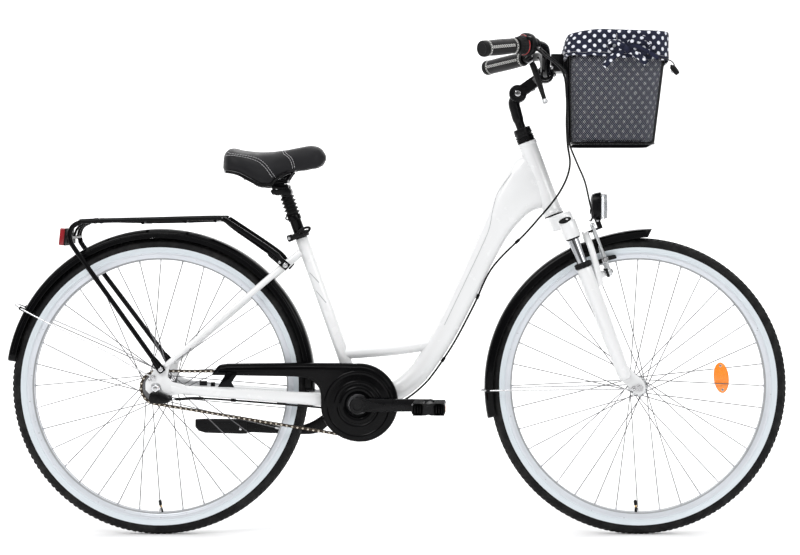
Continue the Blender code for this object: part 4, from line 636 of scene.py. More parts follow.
def tube(path, r, seg=16, closed=False, r_of=None, ends=True):
    """Round bar; its two ends are slightly domed."""
    path = [Vector(p) for p in path]
    f = r_of if r_of else (lambda t: r)
    if closed or not ends:
        return sweep(path, lambda t: round_section(f(t), seg), closed=closed)
    a = (path[1] - path[0]).normalized()
    b = (path[-1] - path[-2]).normalized()
    r0, r1 = f(0.0), f(1.0)
    full = [path[0], path[0] + a * r0 * 0.12] + path[1:-1] + [path[-1] - b * r1 * 0.12, path[-1]]
    n = len(full)

    def rr(t):
        i = round(t * (n - 1))
        return f(t) * (0.86 if i in (0, n - 1) else 1.0)
    return sweep(full, lambda t: round_section(rr(t), seg))


def prism(outline, a, b, plane="xz", fil=0.0, edge=0.0):
    """Outline pulled out from a to b; fil rounds its corners in the plane and
    edge eases the rim of both faces."""
    if fil:
        outline = fillet(outline, fil, 3, True)

    def place(u, w, h):
        return V(u, h, w) if plane == "xz" else (V(u, w, h) if plane == "xy" else V(h, u, w))
    rows = [(a, 0.0), (b, 0.0)]
    if edge:
        s = 1 if b > a else -1
        rows = [(a, 1.0), (a + s * edge * 0.3, 0.3), (a + s * edge, 0.0), (b - s * edge, 0.0), (b - s * edge * 0.3, 0.3), (b, 1.0)]
    rings = []
    for h, k in rows:
        pts = inset(outline, edge * k) if k else outline
        rings.append([place(u, w, h) for u, w in pts])
    return loft(rings)


def inset(pts, d):
    """Outline moved inward by d whichever way round it runs."""
    m = len(pts)
    P = [Vector(p) for p in pts]
    turn = sum(P[i - 1].x * P[i].y - P[i].x * P[i - 1].y for i in range(m))
    s = -1 if turn > 0 else 1
    out = []
    for i in range(m):
        a, b, c = P[i - 1], P[i], P[(i + 1) % m]
        e, f = (b - a), (c - b)
        e = e.normalized() if e.length > 1e-9 else f.normalized()
        f = f.normalized() if f.length > 1e-9 else e
        h = Vector((e.y, -e.x)) + Vector((f.y, -f.x))
        h = h / max(0.5, h.length_squared / 2)
        out.append(tuple(b + h * (d * s)))
    return out


def block(centre, ax, ay, az, sx, sy, sz, bevel=0.0006, segs=2):
    c, ax, ay, az = Vector(centre), Vector(ax), Vector(ay), Vector(az)

    def corner(i, j, k):
        return c + ax * (sx / 2 * i) + ay * (sy / 2 * j) + az * (sz / 2 * k)
    me = loft([[corner(i, j, k) for i, j in ((-1, -1), (1, -1), (1, 1), (-1, 1))] for k in (-1, 1)])
    bm = bmesh.new()
    bm.from_mesh(me)
    bmesh.ops.bevel(bm, geom=list(bm.edges), offset=min(bevel, sx * 0.3, sy * 0.3, sz * 0.3), segments=segs,
                    affect="EDGES", profile=0.6)
    bm.to_mesh(me)
    bm.free()
    return me


def box(lo, hi, bevel=0.0006):
    (x0, y0, z0), (x1, y1, z1) = lo, hi
    return block(((x0 + x1) / 2, (y0 + y1) / 2, (z0 + z1) / 2), (1, 0, 0), (0, 1, 0), (0, 0, 1),
                 abs(x1 - x0), abs(y1 - y0), abs(z1 - z0), bevel)


def circle2(cx, cz, r, a0, a1, n):
    return [(cx + r * math.cos(math.radians(a0 + (a1 - a0) * i / n)),
             cz + r * math.sin(math.radians(a0 + (a1 - a0) * i / n))) for i in range(n + 1)]


def ellipse2(cx, cz, a, b, tilt, n=32):
    c, s = math.cos(tilt), math.sin(tilt)
    return [(cx + a * math.cos(t) * c - b * math.sin(t) * s, cz + a * math.cos(t) * s + b * math.sin(t) * c)
            for t in (2 * pi * k / n for k in range(n))]


def capsule(ax, az, ra_, bx, bz, rb, n=14):
    s = 1 if bx > ax else -1
    lo = [(ax - s * ra_ * math.cos(t), az + ra_ * math.sin(t)) for t in (pi / 2 - pi * k / n for k in range(n + 1))]
    hi = [(bx + s * rb * math.cos(t), bz + rb * math.sin(t)) for t in (-pi / 2 + pi * k / n for k in range(n + 1))]
    return lo + hi


def cutaway(base, *tools):
    """One mesh with others cut out of it."""
    ob = bpy.data.objects.new("work", base)
    SCN.collection.objects.link(ob)
    others = []
    for i, t in enumerate(tools):
        o = bpy.data.objects.new("tool", t)
        SCN.collection.objects.link(o)
        others.append(o)
        md = ob.modifiers.new("m%d" % i, "BOOLEAN")
        md.operation = "DIFFERENCE"
        md.solver = "EXACT"
        md.object = o
    bpy.context.view_layer.update()
    me = bpy.data.meshes.new_from_object(ob.evaluated_get(bpy.context.evaluated_depsgraph_get()))
    for o in [ob] + others:
        bpy.data.objects.remove(o, do_unlink=True)
    return me


def mirrored(me):
    new = me.copy()
    new.transform(Matrix.Diagonal((1, -1, 1, 1)))
    new.flip_normals()
    return new


def both(me):
    return [me, mirrored(me)]


MADE = {}


def put(name, items, body, hide=(), angle=38):
    """One visible piece from (mesh, finish) pairs, riding on a CAD body."""
    bm = bmesh.new()
    mats = []
    for me, mt in items:
        mt = M[mt] if isinstance(mt, str) else mt
        if mt not in mats:
            mats.append(mt)
        n0 = len(bm.faces)
        bm.from_mesh(me)
        bm.faces.ensure_lookup_table()
        for f in bm.faces[n0:]:
            f.material_index = mats.index(mt)
    me = bpy.data.meshes.new(name)
    bm.to_mesh(me)
    bm.free()
    for mt in mats:
        me.materials.append(mt)
    me.shade_smooth()
    me.set_sharp_from_angle(angle=math.radians(angle))
    ob = bpy.data.objects.new(name, me)
    SCN.collection.objects.link(ob)
    if body:
        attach(ob, body)
    for n in ([hide] if isinstance(hide, str) else hide):
        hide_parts(n)
    MADE[name] = ob
    return ob


# --------------------------------------------------------------------- wheels
def tread_blocks(cx):
    """Low blocks across the tyre's crown and its two shoulders."""
    bm = bmesh.new()
    rows = [(0.0034, 0.0030, 0.34900, 0.35085, 156, 0.0, 0.0036), (-0.0034, 0.0030, 0.34900, 0.35085, 156, 0.5, -0.0036),
            (0.0105, 0.0026, 0.34640, 0.34830, 156, 0.25, 0.0045), (-0.0105, 0.0026, 0.34640, 0.34830, 156, 0.75, -0.0045),
            (0.0160, 0.0018, 0.34150, 0.34370, 156, 0.6, 0.0050), (-0.0160, 0.0018, 0.34150, 0.34370, 156, 0.1, -0.0050)]
    for y, hy, r0, r1, n, ph, skew in rows:
        for k in range(n):
            a = 2 * pi * (k + ph) / n
            half = pi / n * 0.60
            vs = []
            for r, g in ((r0, 1.0), (r1, 0.86)):
                for sa, sy in ((-1, -1), (1, -1), (1, 1), (-1, 1)):
                    yy = y + sy * hy * g
                    rr = r - abs(yy) * 0.10 * (1 if abs(y) > 0.008 else 0)
                    aa = a + sa * half * g + sy * skew
                    vs.append(bm.verts.new((cx + rr * math.cos(aa), yy, AXLE_Z + rr * math.sin(aa))))
            for f in ((0, 1, 2, 3), (4, 5, 6, 7), (0, 1, 5, 4), (1, 2, 6, 5), (2, 3, 7, 6), (3, 0, 4, 7)):
                bm.faces.new([vs[i] for i in f])
    return out_mesh(bm)


def wheel(who, cx, body):
    c = V(cx, 0, AXLE_Z)
    crown = [(0.3290, 0.0190), (0.3312, 0.0195), (0.3340, 0.0198), (0.3375, 0.0194), (0.3415, 0.0174), (0.3452, 0.0138), (0.3478, 0.0095),
             (0.3492, 0.0048), (0.3497, 0.0)]
    crown = [(r, -y) for r, y in crown] + [(r, y) for r, y in reversed(crown[:-1])] + [(0.329, 0.0120), (0.329, -0.0120)]
    tread = turned(crown, c, YY, 144, fil=0)
    wall = [(0.3291, 0.0180), (0.3289, 0.0191), (0.3280, 0.0189), (0.3270, 0.0184), (0.3240, 0.0172), (0.3195, 0.0143),
            (0.3188, 0.0146), (0.3178, 0.0142), (0.3160, 0.0126), (0.3145, 0.0112), (0.3145, 0.0096), (0.3280, 0.0150)]
    walls = both(turned(wall, c, YY, 144, fil=0.0003))
    put(who + "_tyre_skin", [(tread, "rubber"), (tread_blocks(cx), "rubber")] + [(w, "wall") for w in walls], body,
        who + "_tyre")
    rim = [(0.3158, 0.0131), (0.3163, 0.0119), (0.3150, 0.0108), (0.3105, 0.0098), (0.3105, -0.0098), (0.3150, -0.0108),
           (0.3163, -0.0119), (0.3158, -0.0131), (0.3120, -0.0133), (0.3085, -0.0128), (0.3078, -0.0121), (0.3052, -0.0117),
           (0.3030, -0.0108), (0.3008, -0.0080), (0.3000, -0.0040), (0.3000, 0.0040), (0.3008, 0.0080), (0.3030, 0.0108),
           (0.3052, 0.0117), (0.3078, 0.0121), (0.3085, 0.0128), (0.3120, 0.0133)]
    # the two thin grey rings on the rim's inner bevels are painted shade: a darker line standing in for the shadow
    # along the rim's inner edge
    rim_shade_and_grip_seam = both(turned([(0.2999, 0.0066), (0.3012, 0.0080), (0.3022, 0.0102), (0.3030, 0.0112), (0.3022, 0.0111), (0.3004, 0.0088), (0.2993, 0.0070)], c, YY, 144,
                       fil=0))
    put(who + "_rim_hoop", [(turned(rim, c, YY, 144, fil=0.0003), "rim")] + [(w, "grey") for w in rim_shade_and_grip_seam], body, who + "_rim")
    items = []
    if who == "front":
        shell = [(0.0055, -0.036), (0.0125, -0.036), (0.0135, -0.0335), (0.0225, -0.0325), (0.0229, -0.0300),
                 (0.0215, -0.0276), (0.0140, -0.0265), (0.0112, -0.0210), (0.0105, 0.0), (0.0112, 0.0210),
                 (0.0140, 0.0265), (0.0215, 0.0276), (0.0229, 0.0300), (0.0225, 0.0325), (0.0135, 0.0335),
                 (0.0125, 0.036), (0.0055, 0.036)]
        fy, holes = 0.030, 0.0195
    else:
        shell = [(0.0055, -0.040), (0.0240, -0.040), (0.0262, -0.0375), (0.0342, -0.0325), (0.0346, -0.0300),
                 (0.0335, -0.0276), (0.0285, -0.0262), (0.0272, -0.0200), (0.0272, 0.0180), (0.0285, 0.0262),
                 (0.0335, 0.0276), (0.0346, 0.0300), (0.0342, 0.0325), (0.0290, 0.0345), (0.0285, 0.0430),
                 (0.0225, 0.0498), (0.0055, 0.0500)]
        fy, holes = 0.030, 0.0315
    items.append((turned(shell, c, YY, 64, fil=0.0010), "alloy" if who == "front" else "steel"))
    for i in range(36):
        th = 2 * pi * i / 36
        side = -1 if i % 2 == 0 else 1
        lead = i % 4 < 2
        ph = th + math.radians(60 if lead else -60)
        y0 = side * (fy + (0.0030 if lead else -0.0030))
        a = V(cx + holes * math.cos(ph), y0, AXLE_Z + holes * math.sin(ph))
        b = V(cx + 0.3004 * math.cos(th), -side * (0.0010 if lead else 0.0040), AXLE_Z + 0.3004 * math.sin(th))
        d = (b - a).normalized()
        items.append((tube([a, a.lerp(b, 0.3), a.lerp(b, 0.65), b], 0.00118, 6), "spoke"))
        head = V(a.x, 0, a.z)
        items.append((rod(head + YY * (side * (fy - 0.0030)), head + YY * (side * (fy + 0.0032)), 0.0011, seg=8, fil=0.0003), "spoke"))
        cap = a.y - (0.0006 if a.y < 0 else -0.0006)
        items.append((rod(V(a.x, cap - 0.0004, a.z), V(a.x, cap + 0.0008, a.z), 0.0019, seg=10, fil=0.0003), "spoke"))
        items.append((turned([(0, 0), (0.0013, 0.0), (0.0016, 0.0012), (0.0019, 0.0016), (0.0021, 0.0125), (0, 0.0125)],
                             b - d * 0.0125, d, 10, closed=False, fil=0.0002), "steel"))
    put(who + "_lacing", items, body, who + "_hub_with_spokes")
    t = math.radians(-90.6 if who == "front" else -89.8)
    o = V(cx + 0.3004 * math.cos(t), 0, AXLE_Z + 0.3004 * math.sin(t))
    lean = V(-math.cos(t) - 0.13, 0, -math.sin(t)).normalized()
    valve = [(turned([(0, -0.002), (0.0046, -0.002), (0.0044, 0.006), (0.0036, 0.0085), (0.0034, 0.0120), (0, 0.0120)],
                     o, lean, 20, closed=False, fil=0.0006), "matt"),
             (turned([(0, 0.0118), (0.0026, 0.0118), (0.0026, 0.0125), (0.0029, 0.0128), (0.0029, 0.0136), (0.0026, 0.0139),
                      (0.0026, 0.0146), (0.0029, 0.0149), (0.0029, 0.0157), (0.0026, 0.0160), (0.0026, 0.0176), (0, 0.0176)],
                     o, lean, 20, closed=False, fil=0.0002), "brass"),
             (turned([(0, 0.0172), (0.0036, 0.0172), (0.0038, 0.0180), (0.0038, 0.0265), (0.0030, 0.0290), (0.0012, 0.0298),
                      (0, 0.0298)], o, lean, 12, closed=False, fil=0.0004), "matt")]
    put(who + "_valve", valve, body)


wheel("front", FRONT_X, "front_wheel")
wheel("rear", REAR_X, "rear_wheel")

ra = math.radians(5.5)
rc = (FRONT_X + 0.199 * math.cos(ra), AXLE_Z + 0.199 * math.sin(ra))
refl = []
for s in (-1, 1):
    refl.append((prism(ellipse2(rc[0], rc[1], 0.0180, 0.0365, ra, 48), s * 0.0008, s * 0.0036, edge=0.0010), "orange"))
    refl.append((prism(ellipse2(rc[0], rc[1], 0.0150, 0.0325, ra, 48), s * 0.0034, s * 0.0044, edge=0.0005), "orange"))
    for i in range(-2, 3):
        for j in range(-4, 5):
            if (i * 0.0056 / 0.0135) ** 2 + (j * 0.0064 / 0.029) ** 2 < 0.9 and not (abs(j) == 4):
                q = V(rc[0] + i * 0.0056 * math.cos(ra) - j * 0.0064 * math.sin(ra), s * 0.0043,
                      rc[1] + i * 0.0056 * math.sin(ra) + j * 0.0064 * math.cos(ra))
                refl.append((turned([(0, 0), (0.0027, 0), (0.0, 0.0006)], q, (0, s, 0), 6, closed=False, fil=0), "orange"))
    for e in (-1, 1):
        q = V(rc[0] - e * 0.0285 * math.sin(ra), s * 0.0038, rc[1] + e * 0.0285 * math.cos(ra))
        refl.append((turned([(0, 0), (0.0032, 0), (0.0030, 0.0009), (0.0016, 0.0011), (0.0014, 0.0006), (0, 0.0006)], q,
                            (0, s, 0), 20, closed=False, fil=0.0002), "steel"))
put("spoke_reflector", refl, "front_wheel", "wheel_reflector")


# ---------------------------------------------------------------------- frame
MAIN = [(0.338, 0.846, 0.060, 0.018), (0.3120, 0.834, 0.066, 0.020), (0.2850, 0.8065, 0.052, 0.021),
        (0.2629, 0.7771, 0.043, 0.021), (0.2296, 0.7223, 0.0325, 0.020), (0.1915, 0.6462, 0.0285, 0.019),
        (0.1487, 0.5558, 0.027, 0.019), (0.1059, 0.4725, 0.026, 0.020), (0.0642, 0.4071, 0.025, 0.020),
        (0.0364, 0.3726, 0.0245, 0.021), (-0.0012, 0.3428, 0.024, 0.021), (-0.0488, 0.3226, 0.0225, 0.022),
        (-0.0860, 0.3135, 0.0200, 0.022)]
PER = 6


def main_stations():
    mid = smooth_path([V(X(a), 0, b) for a, b, _, _ in MAIN], per=PER)
    hh = smooth_path([V(c, d, 0) for _, _, c, d in MAIN], per=PER)
    out = []
    for i, p in enumerate(mid):
        a, b = mid[max(0, i - 1)], mid[min(len(mid) - 1, i + 1)]
        t = (b - a).normalized()
        up = V(-t.z, 0, t.x) if t.x < 0 else V(t.z, 0, -t.x)
        if up.z < 0:
            up = -up
        if i < 3 * PER:
            k = i / (3 * PER)
            up = (up * k + UP * (1 - k)).normalized()
        out.append((p, up, hh[i].x, hh[i].y))
    return out


STATIONS = main_stations()
rings = []
for p, up, h, w in STATIONS:
    ring = []
    for k in range(44):
        ang = 2 * pi * (k + 0.5) / 44
        c, s = math.cos(ang), math.sin(ang)
        ring.append(p + up * (h * math.copysign(abs(s) ** 0.9, s)) + V(0, w * math.copysign(abs(c) ** 0.8, c), 0))
    rings.append(ring)


def on_main(x, z):
    """Point of the main tube's right side above a side-view position."""
    best = min(STATIONS, key=lambda st: (st[0].x - x) ** 2 + (st[0].z - z) ** 2)
    p, up, h, w = best
    v = (V(x, 0, z) - p).dot(up) / h
    s = max(-0.999, min(0.999, v))
    s1 = math.copysign(abs(s) ** (1 / 0.9), s)
    c = math.sqrt(max(0.0, 1 - s1 * s1))
    return V(x, -w * c ** 0.8 - 0.0002, z)


head = turned([(0.0155, 0), (0.0232, 0), (0.0236, 0.0010), (0.0236, 0.0062), (0.0222, 0.0090), (0.0219, 0.0120),
               (0.0219, HEAD_LEN - 0.0120), (0.0222, HEAD_LEN - 0.0090), (0.0236, HEAD_LEN - 0.0062),
               (0.0236, HEAD_LEN - 0.0010), (0.0232, HEAD_LEN), (0.0155, HEAD_LEN)], steer(0, 0), UP, 56)
put("head_tube_shell", [(head, "paint")], "frame", "head_tube")
panel = []
line = smooth_path([V((px - 398.5) / 420.3, 0, (532.6 - pz) / 420.3) for px, pz in
                                       ((512.5, 173), (505, 183), (498, 194), (493.5, 211), (490, 229), (480.6, 251),
                                        (463, 288), (445.5, 324.5))], per=8)
lp = []
for q in line:
    # the picture's side view seen at the tube's near face
    s = 4.9 / (4.9 - 0.018)
    px, pz = q.x * 420.3 + 398.5, 532.6 - q.z * 420.3
    px, pz = 518 + (px - 518) / s, 215 + (pz - 215) / s
    lp.append(on_main((px - 398.5) / 420.3, (532.6 - pz) / 420.3))
for side in (-1, 1):
    panel.append((sweep([V(q.x, -side * q.y, q.z) for q in lp], round_section(0.00055, 6)), "grey"))
put("main_tube_shell", [(loft(rings), "paint")], "frame", "main_tube")
put("panel_lines", panel, "frame")

cross = smooth_path([V(X(-0.1345), 0, 0.4275), V(X(-0.0393), 0, 0.4344), V(X(0.0226), 0, 0.4416), V(X(0.0900), 0, 0.4530)],
                    per=8)
put("cross_tube_shell", [(tube(cross, 0.0138, 40, ends=False), "paint")], "frame", "cross_tube")
st = [(pipe(seat(0.006), seat(0.4135), 0.015, 0.014, 56), "paint")]
for px0, pz0, px1, pz1 in ((311.6, 272, 321, 282), (318, 290, 328, 302)):
    pts = []
    for k in range(9):
        t = k / 8
        px, pz = px0 + (px1 - px0) * t, pz0 + (pz1 - pz0) * t
        x, z = (px - 398.5) / 420.3, (532.6 - pz) / 420.3
        off = (x - BB_X) * SEAT_V[1] - (z - BB_Z) * SEAT_V[0]
        off = max(-0.0148, min(0.0148, off))
        along = (x - BB_X) * SEAT_V[0] + (z - BB_Z) * SEAT_V[1]
        pts.append(seat(along, off, -math.sqrt(0.01505 ** 2 - off ** 2)))
    for side in (1, -1):
        st.append((sweep([V(q.x, side * q.y, q.z) for q in pts], [(a * 0.0009, b * 0.00022) for a, b in
                   ((-1, -1), (1, -1), (1, 1), (-1, 1))], up=(0, 1, 0)), "grey"))
put("seat_tube_shell", st, "frame", "seat_tube")

STAY = [(-0.0935, 0.3135, 0.024, 0.0160), (-0.1400, 0.3180, 0.029, 0.0160), (-0.1900, 0.3222, 0.0372, 0.0155),
        (-0.2600, 0.3275, 0.0445, 0.0140), (-0.3870, 0.3370, 0.0550, 0.0122), (-0.4700, 0.3435, 0.0625, 0.0115),
        (-0.5300, 0.3485, 0.0685, 0.0112)]
DROP = [(-0.5690, 0.3960), (-0.5790, 0.3800), (-0.5906, 0.3660), (-0.5906, 0.3470), (-0.5813, 0.3375),
        (-0.5601, 0.3345), (-0.5367, 0.3345), (-0.5085, 0.3360), (-0.4968, 0.3420), (-0.4968, 0.3580),
        (-0.5273, 0.3651), (-0.5390, 0.3780), (-0.5340, 0.4060), (-0.5560, 0.4075)]
SEATSTAY = [(-0.2330, 0.6686, 0.0245, 0.0080), (-0.2608, 0.6453, 0.0300, 0.0080), (-0.3010, 0.6110, 0.0378, 0.0078),
            (-0.4170, 0.5117, 0.0525, 0.0070), (-0.5327, 0.4128, 0.0680, 0.0062), (-0.5420, 0.4010, 0.0690, 0.0058)]


def chainstay(side):
    path = smooth_path([V(X(a), side * y, z) for a, z, y, _ in STAY], per=6)
    hs = smooth_path([V(h, 0, 0) for *_, h in STAY], per=6)
    rr = []
    for i, p in enumerate(path):
        h, w = hs[i].x, 0.0078
        tail = max(0.0, (i - (len(path) - 9)) / 8)
        w -= 0.0023 * tail
        h *= 1 - 0.10 * tail
        rr.append([p + V(0, w * math.copysign(abs(math.cos(a)) ** 0.8, math.cos(a)),
                         h * math.copysign(abs(math.sin(a)) ** 0.9, math.sin(a)))
                   for a in (2 * pi * (k + 0.5) / 28 for k in range(28))])
    return loft(rr)


def seatstay(side):
    pts = smooth_path([V(X(a), side * y, z) for a, z, y, _ in SEATSTAY], per=5)
    rs = smooth_path([V(r, 0, 0) for *_, r in SEATSTAY], per=5)
    rr = []
    for i, p in enumerate(pts):
        a, b = pts[max(0, i - 1)], pts[min(len(pts) - 1, i + 1)]
        t = (b - a).normalized()
        u = YY.cross(t).normalized()
        w = t.cross(u)
        rr.append([p + u * (rs[i].x * math.cos(2 * pi * k / 24)) + w * (rs[i].x * math.sin(2 * pi * k / 24)) for k in range(24)])
    return loft(rr)


def dropout(side):
    pts = [(X(x), z) for x, z in DROP]
    return prism(pts, side * 0.066, side * 0.072, fil=0.004, edge=0.0007)


shell = pipe(V(BB_X, -0.034, BB_Z), V(BB_X, 0.034, BB_Z), 0.021, 0.0175, 56, fil=0.0012)
low = [(shell, "paint")] + [(m, "paint") for s in (-1, 1) for m in (chainstay(s), dropout(s))]
low.append((rod(V(X(-0.166), -0.036, 0.3200), V(X(-0.166), 0.036, 0.3200), 0.0075, seg=28), "paint"))
low.append((block(V(X(-0.156), 0.0305, 0.296), (1, 0, 0), YY, (0, 0, 1), 0.034, 0.0180, 0.034, 0.003, 3), "paint"))
put("chainstay_set", low, "frame", "chainstays")
put("seatstay_set", [(seatstay(-1), "paint"), (seatstay(1), "paint"),
                     (rod(V(X(-0.2762), -0.034, 0.632), V(X(-0.2762), 0.034, 0.632), 0.0065, seg=24), "paint")],
    "frame", "seatstays")
cup = [(0.0095, 0.0330), (0.0171, 0.0330), (0.0171, 0.0344), (0.0186, 0.0346), (0.0186, 0.0374), (0.0178, 0.0380),
       (0.0125, 0.0380), (0.0115, 0.0366), (0.0095, 0.0366)]
put("bracket_cups", [(m, "steel") for m in both(turned(cup, V(BB_X, 0, BB_Z), YY, 40, fil=0.0004))]
    + [(pipe(V(BB_X, -0.0335, BB_Z), V(BB_X, 0.0335, BB_Z), 0.0170, 0.0096, 32), "dark")], "frame", "bottom_bracket")


# ------------------------------------------------------------------- fenders
def fender(cx, cz, R, a0, a1, n, rise=0.0, slant=0.0):
    half = [(R - 0.0215, 0.0270), (R - 0.0203, 0.0276), (R - 0.0191, 0.0271), (R - 0.0095, 0.0268), (R - 0.0060, 0.0252),
            (R - 0.0030, 0.0215), (R - 0.0012, 0.0165), (R - 0.0002, 0.0105), (R, 0.0050)]
    outer = [(r, -y) for r, y in half] + [(R, 0.0)] + [(r, y) for r, y in reversed(half)]
    t = 0.0016
    inner = [(r - t * 0.8, y * 0.945) for r, y in half[2:]]
    inner = [(R - 0.0215, 0.0252)] + inner + [(R - t, 0.0)]
    inner = inner + [(r, -y) for r, y in reversed(inner[:-1])]
    prof = outer + inner
    rr = []
    span_ = a1 - a0
    for i in range(n + 1):
        f = i / n
        a = math.radians(a0 + span_ * f)
        d = min(f, 1 - f) * abs(math.radians(span_)) * R
        k = 1.0 if d > 0.016 else 0.72 + 0.28 * math.sqrt(max(0.0, 1 - (1 - d / 0.016) ** 2))
        up_ = rise * max(0.0, 1.0 - f * abs(span_) / 20.0) ** 1.3
        lean = slant * max(0.0, 1.0 - f * abs(span_) / 9.0)
        ring_ = []
        for r, y in prof:
            b = a + lean * (R - r) / R
            ring_.append(V(cx + (r + up_) * math.cos(b), y * k, cz + (r + up_) * math.sin(b)))
        rr.append(ring_)
    return loft(rr)


def stay_wire(points, r=0.0018):
    return tube(smooth_path(points, step=0.012), r, 12)


def fender_clip(at, along, w=0.0095):
    """Small plastic clip and screw that hold the stay on the fender."""
    x = Vector(along).normalized()
    z = x.cross(YY).normalized()
    return [(block(at, x, YY, z, 0.016, 0.0060, w, 0.0012, 3), "matt"),
            (rod(at + YY * math.copysign(0.002, at.y), at + YY * math.copysign(0.0044, at.y), 0.0026, seg=16), "steel")]


ff = fender(FRONT_X, AXLE_Z, 0.3650, 84.9, 192.0, 130, rise=0.0100, slant=0.4)
items = [(ff, "black")]
rv = math.radians(86.5)
put("front_fender_shell", items, "fork_lowers", "front_fender", angle=50)
fs = [V(FRONT_X - 0.012, -0.0610, AXLE_Z - 0.002), V(FRONT_X - 0.060, -0.0600, AXLE_Z - 0.004), V(X(0.300), -0.0420, 0.3440),
      V(X(0.2080), -0.0300, 0.3415), V(X(0.1960), -0.0200, 0.3410), V(X(0.1930), 0.0, 0.3410)]
fs = fs + [V(q.x, -q.y, q.z) for q in reversed(fs[:-1])]
items = [(stay_wire(fs), "steel")]
for s in (-1, 1):
    items.append((pipe(V(FRONT_X - 0.012, s * 0.0592, AXLE_Z - 0.002), V(FRONT_X - 0.012, s * 0.0628, AXLE_Z - 0.002), 0.0062, 0.0028, 24), "steel"))
    items.append((rod(V(FRONT_X - 0.012, s * 0.0575, AXLE_Z - 0.002), V(FRONT_X - 0.012, s * 0.0650, AXLE_Z - 0.002), 0.0028, seg=16), "steel"))
    items.append((block(V(X(0.2150), s * 0.0305, 0.3417), (1, 0, 0), YY, (0, 0, 1), 0.018, 0.0052, 0.0085, 0.0015, 3), "matt"))
put("front_stay_wire", items, "fork_lowers", "front_fender_stay")

rf = fender(REAR_X, AXLE_Z + 0.006, 0.3665, -3.0, 171.3, 190)
items = [(rf, "black"), (box((X(-0.2010), -0.0060, 0.3400), (X(-0.1745), 0.0060, 0.3425)), "steel"),
         (box((X(-0.1765), -0.0060, 0.3200), (X(-0.1741), 0.0060, 0.3420)), "steel")]
# thin pressed rib low on each side of the shell
for s in (-1, 1):
    band = []
    for i in range(121):
        a = math.radians(8 + 160 * i / 120)
        r = 0.3665 - 0.0118
        band.append(V(REAR_X + r * math.cos(a), s * 0.02715, AXLE_Z + 0.006 + r * math.sin(a)))
    items.append((sweep(band, round_section(0.0006, 6)), "satin"))
put("rear_fender_shell", items, "frame", "rear_fender", angle=50)
rs = [V(X(-0.5715), -0.0745, 0.3765), V(X(-0.6100), -0.0735, 0.3960), V(X(-0.7000), -0.0620, 0.4450),
      V(X(-0.8300), -0.0440, 0.5050), V(X(-0.8950), -0.0300, 0.5370), V(X(-0.9070), -0.0200, 0.5430), V(X(-0.9120), 0.0, 0.5460)]
rs = rs + [V(q.x, -q.y, q.z) for q in reversed(rs[:-1])]
items = [(stay_wire(rs), "steel")]
for s in (-1, 1):
    c = V(X(-0.5715), s * 0.0745, 0.3765)
    items += [(pipe(c - YY * 0.0018, c + YY * 0.0018, 0.0058, 0.0024, 24), "steel"),
              (hexa(c + YY * (s * 0.0014), c + YY * (s * 0.0048), 0.0044), "steel"),
              (rod(c + YY * (s * 0.0040), c + YY * (s * 0.0056), 0.0022, seg=14), "steel")]
    items.append((block(V(X(-0.8880), s * 0.0300, 0.5335), V(0.87, 0, -0.48), YY, V(0.48, 0, 0.87), 0.018, 0.0052, 0.0085,
                        0.0015, 3), "matt"))
put("rear_stay_wire", items, "frame", "rear_fender_stay")

